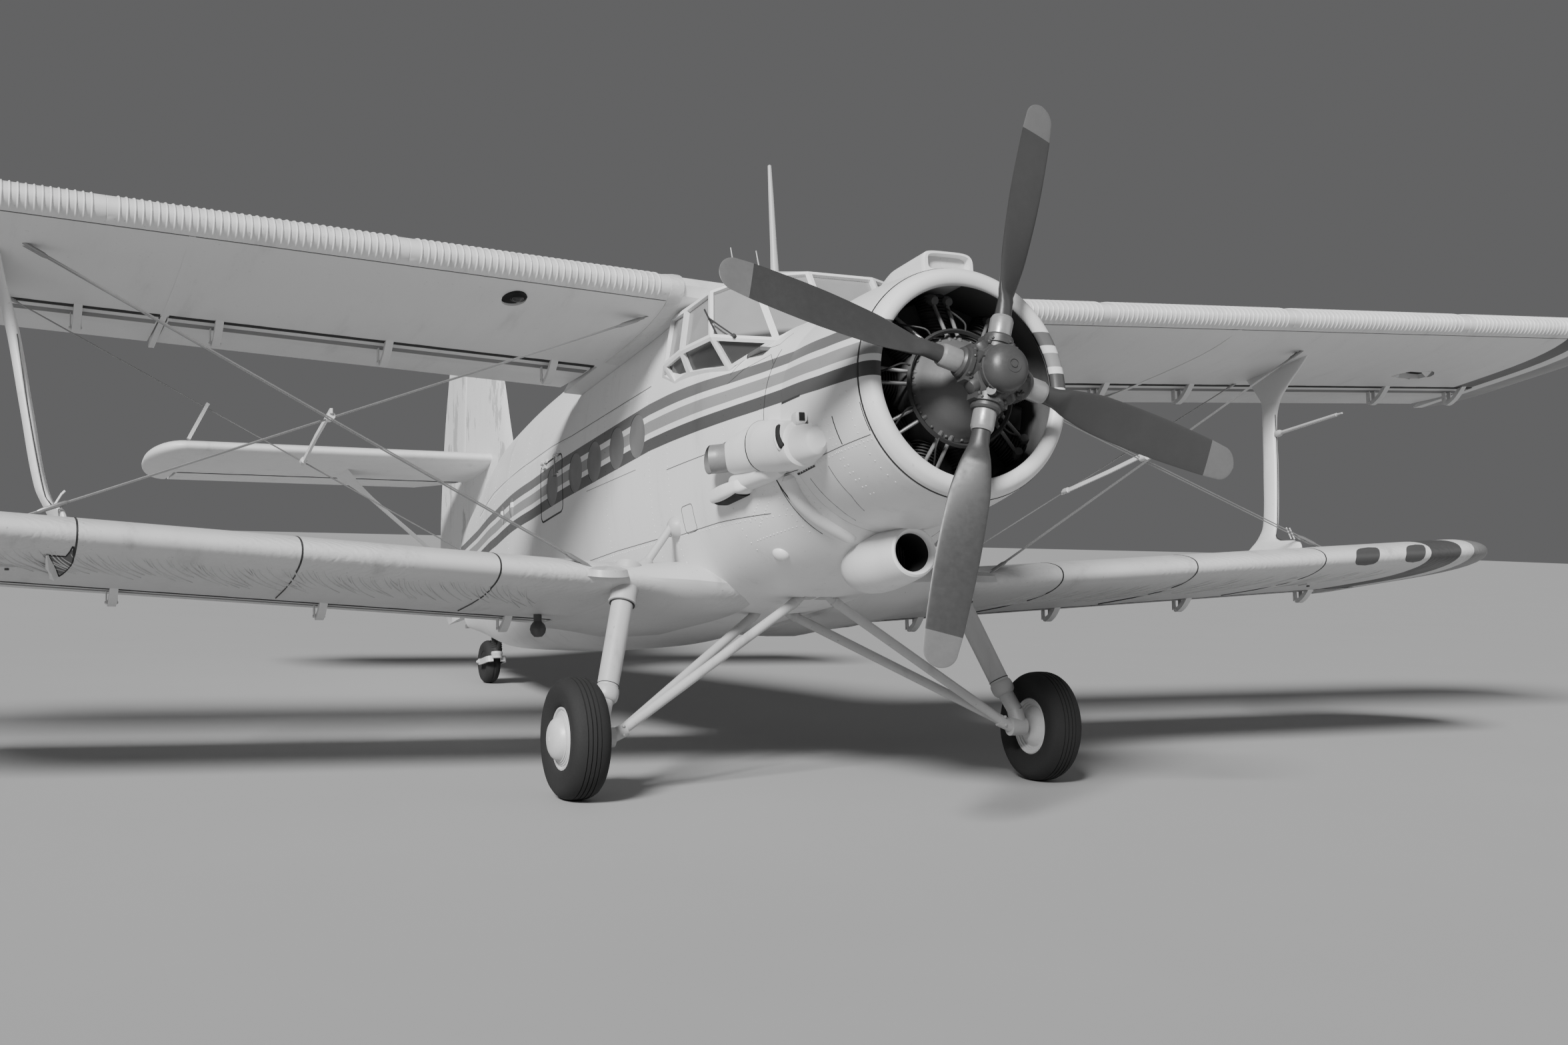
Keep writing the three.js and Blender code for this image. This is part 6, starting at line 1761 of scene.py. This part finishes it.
# Each row: a path of (place along, height), and the pitch of its rivets.
RIVET_LINES = [
    ([(1.56, 0.35), (1.56, -0.7)], 0.035), ([(1.47, -0.1), (1.47, -0.62)], 0.035),
    ([(1.35, -0.1), (1.35, -0.62)], 0.035), ([(0.7, -0.1), (0.7, -0.6)], 0.04),
    ([(0.74, -0.1), (0.74, -0.6)], 0.04), ([(0.45, 0.0), (0.45, -0.58)], 0.04),
    ([(0.36, -0.345), (1.28, -0.37)], 0.04),
    ([(1.6, -0.585), (2.25, -0.555), (3.1, -0.515), (4.1, -0.465), (4.75, -0.45)], 0.05),
    ([(1.62, -0.46), (1.85, -0.62)], 0.03), ([(1.66, -0.42), (1.9, -0.58)], 0.03),
    ([(1.6, -0.66), (1.95, -0.7)], 0.03), ([(2.02, 0.3), (2.02, -0.75)], 0.045),
    ([(2.92, 0.4), (2.92, -0.75)], 0.045), ([(3.28, 0.9), (3.28, -0.75)], 0.045),
    ([(4.2, 0.9), (4.2, -0.7)], 0.05), ([(3.3, 0.62), (6.3, 0.67)], 0.05),
    ([(6.44, 0.95), (6.44, -0.6)], 0.05), ([(7.2, 0.95), (7.2, -0.55)], 0.055),
    ([(7.95, 0.95), (7.95, -0.5)], 0.055), ([(8.8, 0.95), (8.8, -0.4)], 0.055),
    ([(9.6, 0.9), (9.6, -0.3)], 0.055), ([(10.4, 0.85), (10.4, -0.15)], 0.055),
    ([(6.5, 0.72), (9.2, 0.7)], 0.055),
]


def walk(path, pitch):
    """Evenly spaced places along a path of (place along, height)."""
    out = []
    for (y0, z0), (y1, z1) in zip(path, path[1:]):
        count = max(int(math.hypot(y1 - y0, z1 - z0) / pitch), 1)
        out += [(y0 + (y1 - y0) * i / count, z0 + (z1 - z0) * i / count) for i in range(count)]
    return out + [path[-1]]


LINE_SECTION = ((-1, -0.002), (1, -0.002), (1, 0.0012), (-1, 0.0012))
LINE_PITCH = 0.04
RIVET_RADIUS, RIVET_HEIGHT = 0.0058, 0.003


def skin_line(shape, path, side, width):
    """A thin raised line along the skin."""
    spots, normals = zip(*(skin_point(y, z, side) for y, z in walk(path, LINE_PITCH)))
    rings = []
    for i, (spot, normal) in enumerate(zip(spots, normals)):
        across = normal.cross(heading(spots, i)).normalized() * width / 2
        rings.append([spot + across * a + normal * lift for a, lift in LINE_SECTION])
    shape.loft(rings)


def rounded(y0, y1, z0, z1, corner):
    """A closed rectangle with round corners."""
    path = corner_arcs(y0, y1, z0, z1, corner, corner, 4)
    return path + [path[0]]


TAIL_WINDOW_Y = (7.0, 7.436)


def window_pane(y, side, name, body, z=WINDOW_Z, size=1.0, proud=0.0):
    """An opaque pane just inside the skin, or a little proud of it, in a thin ring."""
    shape = Shape()
    rings = []
    for reach, lift in ((0.1635, -0.012), (0.1635, -0.003), (0.157, -0.0015), (0.15, -0.003), (0.1, -0.003),
                        (0.04, -0.003), (0.002, -0.003)):
        rings.append([skin_point(y + size * reach * math.cos(a), z + size * reach * math.sin(a),
                                 side, lift + proud)[0]
                      for a in turns(48)])
    shape.loft(rings)
    shape.done(name, WINDOW, body)


def door_windows():
    """The panes that move with the doors."""
    window_pane(EXIT_WINDOW_Y, -1, "window_exit", "emergency_exit_body")
    for y, name in zip(CARGO_WINDOW_Y, ("front", "rear")):
        window_pane(y, 1, "window_cargo_" + name, "cargo_door_body")


def blisters():
    """A low blister on each side of the belly, and the seal behind the lip of the cowl."""
    blister = Shape()
    for side in (1, -1):
        spot, normal = skin_point(1.89, -0.802, side)
        blister.lathe([(0.062, -0.01), (0.058, 0.006), (0.045, 0.02), (0.025, 0.029), (0, 0.032)], spot,
                      normal, 24)
    blister.kind = 1
    blister.lathe([(0.714, 0.3205), (0.7247, 0.3205), (0.7274, 0.3305), (0.714, 0.3305)], (0, 0, COWL_Z),
                  (0, 1, 0), 96, closed=True)
    blister.done("belly_blisters_and_lip_seal", [COWL_PAINT, SEAL_AND_SHADE], "airframe")


def skin_sides():
    """Joints, hatches, windows, rivets and lamps on both sides of the fuselage."""
    for name, side in SIDES:
        lines, heads = Shape(), Shape()
        for path, width, starboard_only in JOINTS:
            crosses_door = side > 0 and path[-1][0] > 4.85 and path[0][0] < 6.33
            if (side < 0 or not starboard_only) and not crosses_door:
                skin_line(lines, path, side, width)
        for y0, y1, z0, z1, corner in HATCHES:
            skin_line(lines, rounded(y0, y1, z0, z1, corner), side, 0.004)
        y0, y1, z0, z1 = EXIT_DOOR if side < 0 else CARGO_DOOR
        skin_line(lines, rounded(y0 - 0.005, y1 + 0.005, z0 - 0.005, z1 + 0.005, 0.065), side, 0.012)
        lines.done(f"skin_joints_{name}", SEAL_AND_SHADE, "airframe")
        for y in WINDOW_Y if side < 0 else WINDOW_Y[:3]:
            window_pane(y, side, f"window_{name}_{WINDOW_Y.index(y)}", "airframe")
        for number, y in enumerate(TAIL_WINDOW_Y):
            window_pane(y, side, f"tail_window_{name}_{number}", "airframe", 0.408, 0.52, 0.0045)
        for path, pitch in RIVET_LINES:
            for y, z in walk(path, pitch):
                if side > 0 and 4.8 < y < 6.38:
                    continue
                spot, normal = skin_point(y, z, side)
                heads.stud(spot, normal, RIVET_RADIUS, RIVET_HEIGHT)
        for y, z in ((6.95, 0.4), (7.44, 0.41)):
            spot, _ = skin_point(y, z, side)
            lens = []
            for r in (1, 0.85, 0.55, 0.2):
                deep, along, high = side * 0.02 * (1 - r**2), 0.045 * r, 0.1 * r
                lens.append([spot + Vector((deep, along * math.cos(a), high * math.sin(a)))
                             for a in turns(20)])
            heads.loft(lens)
        heads.done(f"skin_rivets_{name}", FUSELAGE_PAINT, "airframe")


def belly_vents():
    """Three short slots on the starboard side of the belly, as near-black blocks of painted shade."""
    vents = Shape()
    for i in range(3):
        spot, _ = skin_point(1.47, -0.725 - 0.012 * i, -1)
        x = -0.29 + 0.045 * i
        vents.block((x - 0.016, 1.455, spot.z - 0.01), (x + 0.016, 1.485, spot.z + 0.02))
    vents.done("belly_vents", PAINTED_SHADE, "airframe")


def exit_handle():
    """The two grips on the emergency exit."""
    grip = Shape()
    for spot_y, spot_z, reach in ((5.36, 0.42, 0.13), (5.42, 0.4, 0.06)):
        spot, normal = skin_point(spot_y, spot_z, -1)
        grip.tube([spot, spot + normal * 0.03, spot + normal * 0.035 + Vector((0, -0.02, reach))], 0.006, 8)
    grip.done("exit_handle", STEEL, "emergency_exit_body")


# A seam under the lower wing runs aft and a little inwards: how far inwards, and the place along.
LOWER_SEAM = [(0.0, 2.87), (0.008, 2.95), (0.016, 3.14), (0.035, 3.5), (0.06, 3.95)]
WIPER = [(0.776, 1.929, 0.685), (0.831, 2.026, 0.771), (0.877, 2.114, 0.853)]


def roof_mast():
    """The aerial mast and two thin whips."""
    mast = Shape()
    mast.lathe([(0.09, -0.03), (0.085, 0.01), (0.04, 0.03), (0.034, 0.06), (0.026, 0.3), (0.02, 0.7),
                (0.014, 0.945), (0.0, 0.955)],
               (0.017, 2.9, 1.385), (0, 0, 1), 20)
    for foot, head in (((-0.3, 2.9, 1.375), (-0.336, 2.9, 1.655)),
                       ((-0.09, 2.9, 1.38), (-0.13, 2.9, 1.65))):
        mast.rod(foot, head, 0.006, 0.004, 8)
        mast.lathe([(0.03, -0.01), (0.026, 0.012), (0.01, 0.02)], foot, (0, 0, 1), 12)
    mast.done("roof_mast_and_whips", GEAR_PAINT, "airframe")


def wipers():
    """An arm and a blade on each side of the windscreen."""
    wiper = Shape()
    for side in (1, -1):
        pivot, middle, end = (Vector((side * x, y, z)) for x, y, z in WIPER)
        out = Vector((side * 0.73, -0.63, 0.26)).normalized() * 0.02
        wiper.rod(pivot - out, pivot + out * 1.3, 0.014)
        wiper.tube([pivot + out, middle + out * 1.5, end + out], 0.006, 8)
        wiper.tube([middle + out * 0.7 + Vector((side * 0.02, 0.02, -0.05)),
                    end + out * 0.7 + Vector((side * 0.01, 0.04, 0.07))], 0.007, 6)
    wiper.done("screen_wipers", SEAL_AND_SHADE, "airframe")


def airspeed_boom():
    """The thin boom in front of the port strut."""
    boom = Shape()
    boom.rod((5.14, 3.44, 0.62), (4.97, 2.5, 0.575), 0.016, 0.014, 12)
    boom.rod((4.97, 2.5, 0.575), (4.955, 2.42, 0.57), 0.009, 0.007, 10)
    boom.lathe([(0.03, 0), (0.03, 0.05), (0.017, 0.08)], (5.14, 3.44, 0.62), (-0.17, -0.94, -0.045), 12)
    boom.done("airspeed_boom", GEAR_PAINT, "airframe")


def underwing_fittings():
    """A ball on a short neck under the lower starboard wing, and a stud on each tie down pad."""
    ball = Shape()
    ball.lathe([(0.0, -0.06), (0.03, -0.055), (0.052, -0.03), (0.06, 0), (0.052, 0.03), (0.03, 0.055),
                (0.03, 0.12)], (-1.59, 3.86, -1.07), (0, 0, 1), 24)
    for side in (1, -1):
        x, y, pad = side * PAD[0], PAD[1], lower_skin(LOWER, *PAD[:2]) - 0.016
        ball.rod((x, y, pad), (x, y, pad - 0.012), 0.014)
    ball.done("underwing_fittings", HUB_METAL, "airframe")


def lower_nose_joints():
    """Thin joints around the nose of the lower wings and along their underside."""
    joints = Shape()
    for side in (1, -1):
        for x in (2.22, 3.51, 4.84):
            curve = sunk(nose_curve(LOWER, side * x, 0.14, 0.12), [-0.0005] * 20)
            sweep(joints, [(side * x, y, z) for y, z in curve], (1, 0, 0), 0.006, 0.0012)
            if (side, x) != (-1, 4.84):
                line = [(side * (x - off), y) for off, y in LOWER_SEAM]
                joints.tube([(px, y, lower_skin(LOWER, px, y)) for px, y in line], 0.0045, 6)
    joints.done("lower_nose_joints", SEAL_AND_SHADE, "airframe")


def wing_tip_marks():
    """Two round patches on the nose of the lower port wing."""
    marks = Shape()
    for x, wide in ((5.3, 0.13), (5.84, 0.11)):
        rings = []
        for i in range(17):
            t = -1 + i / 8
            reach = wide * (1 - abs(t) ** 3.2) ** 0.4 + 0.001
            off = 0.05 * t * t - 0.03 * t
            u = 0.036 * (abs(t) ** 1.6)
            rings.append([wing_point(LOWER, x + off + s * reach, u, t < 0, lift)
                          for s, lift in ((-1, 0.0014), (1, 0.0014), (1, -0.002), (-1, -0.002))])
        marks.loft(rings)
    marks.done("wing_tip_marks", HUB_METAL, "airframe")


TAIL_WHEEL = (10.564, -0.659)
TAIL_PIVOT, TAIL_CROWN = 10.264, -0.579


def tail_gear():
    """The tail tyre, its fork with the axle, and the boot of the leg."""
    y, z = TAIL_WHEEL
    tyre = [(0.021, 0.052), (0.06, 0.054), (0.115, 0.06), (0.118, 0.066), (0.15, 0.076), (0.18, 0.078),
            (0.205, 0.07), (0.224, 0.05), (0.233, 0.028), (0.2348, 0.012), (0.231, 0.009)]
    ring = [(r, -x) for r, x in tyre] + tyre[::-1]
    rubber = Shape().lathe(ring, (0, y, z), (1, 0, 0), 48, closed=True)
    rubber.done("tail_tyre_rubber", RUBBER, "tail_wheel_body", ("tail_wheel",))
    fork = Shape()
    fork.lathe([(0.0, 0.0), (0.058, 0.0), (0.062, -0.01), (0.062, -0.03), (0.056, -0.04), (0.058, -0.07),
                (0, -0.07)], (0, TAIL_PIVOT, TAIL_CROWN), (0, 0, 1), 32)
    for side in (1, -1):
        x = side * 0.105
        path = curve_through([(x * 0.4, TAIL_PIVOT, TAIL_CROWN - 0.075),
                              (x * 0.95, TAIL_PIVOT + 0.03, TAIL_CROWN - 0.08), (x, y - 0.12, z - 0.005),
                              (x, y + 0.03, z)], 5)
        sweep(fork, path, (0, 0.25, 1), 0.032, 0.011)
        fork.lathe([(0.034, -0.012), (0.034, 0.012), (0.02, 0.016), (0.018, 0.03), (0, 0.03)],
                   (x, y, z), (side, 0, 0), 24)
        fork.stud((x + side * 0.03, y, z), (side, 0, 0), 0.014, 0.012)
    fork.rod((-0.1, y, z), (0.1, y, z), 0.0195, sides=16)
    fork.done("tail_fork_arms", GEAR_PAINT, "tail_fork_body", ("tail_fork",))
    leg = Shape()
    folds = [(0.055, 0.0007)]
    for i in range(7):
        folds += [(0.062, 0.03 + i * 0.022), (0.052, 0.041 + i * 0.022)]
    leg.lathe(folds + [(0.058, 0.19), (0.066, 0.2), (0.066, 0.36)],
              (0, TAIL_PIVOT, TAIL_CROWN), (0, 0, 1), 32)
    leg.rod((0, TAIL_PIVOT - 0.32, -0.3), (0, TAIL_PIVOT - 0.05, TAIL_CROWN + 0.03), 0.022)
    leg.done("tail_leg_boot", SEAL_AND_SHADE, "airframe", ("tail_leg",))


def pillow(shape, place, half, lean=0.0):
    """A crowned pad; half gives its half width, half length and half thickness."""
    turn = Matrix.Rotation(lean, 3, "X")
    n = 16
    spread = [math.sin(math.pi / 2 * (2 * i / n - 1)) for i in range(n + 1)]
    for top in (1, -1):
        points, faces = [], []
        for u in spread:
            for v in spread:
                crown = (max(1 - u**4, 0) * max(1 - v**4, 0)) ** 0.45
                channel = 1 - 0.16 * max(math.cos(u * math.pi * 3), 0) ** 6 * (top > 0)
                pull = 1 - 0.03 * (1 - abs(u * v))
                height = top * half[2] * crown * channel * (1 if top > 0 else 0.7)
                spot = Vector((u * half[0] * pull, v * half[1] * pull, height))
                points.append(Vector(place) + turn @ spot)
        for i in range(n):
            for k in range(n):
                a = i * (n + 1) + k
                quad = (a, a + n + 1, a + n + 2, a + 1)
                faces.append(quad if top > 0 else quad[::-1])
        shape.add(points, faces)
    edge = []
    for a in [*turns(32), 2 * math.pi]:
        across, along = signed_power(math.cos(a), 0.35) * 0.985, signed_power(math.sin(a), 0.35) * 0.985
        edge.append(Vector(place) + turn @ Vector((across * half[0], along * half[1], 0)))
    shape.tube(edge, 0.006, 6)


PILOT_X = 0.42


def seats():
    """The frames and cushions of the two seats."""
    for name, side in SIDES:
        x = side * PILOT_X
        base = Shape()
        for off in (-0.17, 0.17):
            base.tube([(x + off, 2.82, -0.74), (x + off, 2.84, -0.4), (x + off, 3.14, -0.37),
                       (x + off, 3.16, -0.74)], 0.014, 10)
            base.tube(curve_through([(x + off * 1.2, 3.1, -0.38), (x + off * 1.22, 3.2, -0.3),
                                     (x + off * 1.2, 3.27, 0.1), (x + off * 1.1, 3.3, 0.38)], 5), 0.013, 10)
        base.block((x - 0.2, 2.8, -0.385), (x + 0.2, 3.17, -0.36))
        base.tube([(x - 0.2, 3.3, 0.38), (x, 3.305, 0.42), (x + 0.2, 3.3, 0.38)], 0.013, 10)
        base.done(f"pilot_seat_{name}_frame", STEEL, "airframe", (f"pilot_seat_{name}",))
        seat_pad, back_pad = Shape(), Shape()
        pillow(seat_pad, (x, 2.97, -0.318), (0.225, 0.225, 0.052))
        pillow(back_pad, (x, 3.215, 0.04), (0.212, 0.37, 0.045), math.radians(92))
        for pad, kind in ((seat_pad, "cushion"), (back_pad, "back_pad")):
            pad.done(f"pilot_seat_{name}_{kind}", CLOTH, "airframe")


def instrument_panel():
    """The panel with its dials, the hood above it and the two control wheels."""
    panel = Shape()
    panel.block((-0.7, 1.9, 0.1), (0.7, 1.95, 0.56))
    panel.kind = 1
    for row, count in ((0.45, 9), (0.3, 9), (0.17, 7)):
        for i in range(count):
            panel.lathe([(0.055, 0), (0.055, 0.008), (0.046, 0.01), (0.045, 0.004), (0, 0.004)],
                        (-0.56 + 1.12 * i / (count - 1), 1.95, row), (0, 1, 0), 20)
    panel.kind = 0
    panel.block((-0.7, 1.7, 0.54), (0.7, 1.96, 0.565))
    for side in (1, -1):
        x = side * PILOT_X
        panel.tube([(x, 2.55, -0.74), (x, 2.5, -0.2), (x, 2.45, 0.12)], 0.016, 10)
        wheel = [Vector((x + 0.15 * math.sin(a), 2.44, 0.14 - 0.15 * math.cos(a)))
                 for a in (math.pi * (0.3 + 1.4 * i / 20) for i in range(21))]
        panel.tube(wheel, 0.012, 8)
        panel.tube([(x - 0.13, 2.44, 0.14), (x + 0.13, 2.44, 0.14)], 0.01, 8)
    panel.done("instrument_panel_dials", [LINING_AND_SHADE, STEEL], "airframe", ("instrument_panel",))


door_windows()
blisters()
skin_sides()
belly_vents()
exit_handle()
roof_mast()
wipers()
airspeed_boom()
underwing_fittings()
lower_nose_joints()
wing_tip_marks()
tail_gear()
seats()
instrument_panel()


# Camera: it stands where the photograph was taken from.

IMAGE_WIDTH = 2352
FOCAL_PIXELS = 2719.4
SENSOR = 36.0
CAMERA_PLACE = Vector((-5.681, -15.218, 1.829))
CAMERA_YAW, CAMERA_PITCH, CAMERA_ROLL = (math.radians(v) for v in (25.41, 0.08, 1.56))


def camera():
    """The photograph's camera, from its yaw, pitch and roll."""
    level = math.cos(CAMERA_PITCH)
    forward = Vector((math.sin(CAMERA_YAW) * level, math.cos(CAMERA_YAW) * level, math.sin(CAMERA_PITCH)))
    flat = forward.cross(Vector((0, 0, 1))).normalized()
    upright = flat.cross(forward)
    right = flat * math.cos(CAMERA_ROLL) + upright * math.sin(CAMERA_ROLL)
    up = upright * math.cos(CAMERA_ROLL) - flat * math.sin(CAMERA_ROLL)
    data = bpy.data.cameras.new("camera")
    data.sensor_width = SENSOR
    data.lens = FOCAL_PIXELS / IMAGE_WIDTH * SENSOR
    data.clip_end = 400
    eye = linked("camera", data)
    placed = axes(right, up, -forward).to_4x4()
    placed.translation = CAMERA_PLACE
    eye.matrix_world = placed
    bpy.context.scene.camera = eye


def light(name, place, target, size, power):
    """A square lamp that faces the target."""
    data = bpy.data.lights.new(name, "AREA")
    data.size = size
    data.energy = power
    lamp = linked(name, data)
    lamp.location = place
    lamp.rotation_euler = (Vector(target) - Vector(place)).to_track_quat("-Z", "Y").to_euler()


KEY_STRENGTH = 6.0
KEY_FROM = (-0.62, -0.62, 0.62)
KEY_WIDTH = math.radians(14)
FLOOR_TONE, FLOOR_REACH = 0.36, 150
SKY_STRENGTH = 0.17


def stage():
    """The floor, the key and fill lights and the grey sky."""
    look = Look("floor", FLOOR_TONE, 0.8)
    look.tone(look.math("MULTIPLY", look.scaled(look.noise(0.6, 3), 0.97, 1.02), FLOOR_TONE))
    mesh = bpy.data.meshes.new("floor")
    corners = [(x * FLOOR_REACH, y * FLOOR_REACH, 0) for x, y in ((-1, -1), (1, -1), (1, 1), (-1, 1))]
    mesh.from_pydata(corners, [], [(0, 1, 2, 3)])
    mesh.materials.append(look.material)
    linked("floor", mesh)
    data = bpy.data.lights.new("key_light", "SUN")
    data.energy = KEY_STRENGTH
    data.angle = KEY_WIDTH
    key = linked("key_light", data)
    key.rotation_euler = Vector(KEY_FROM).to_track_quat("Z", "Y").to_euler()
    light("fill_light", (17, -16, 7), (1, 0, 2), 14, 500)
    world = bpy.data.worlds.new("studio")
    world.use_nodes = True
    sky = world.node_tree.nodes["Background"]
    sky.inputs[0].default_value = (0.75, 0.75, 0.76, 1)
    sky.inputs[1].default_value = SKY_STRENGTH
    bpy.context.scene.world = world


camera()
stage()
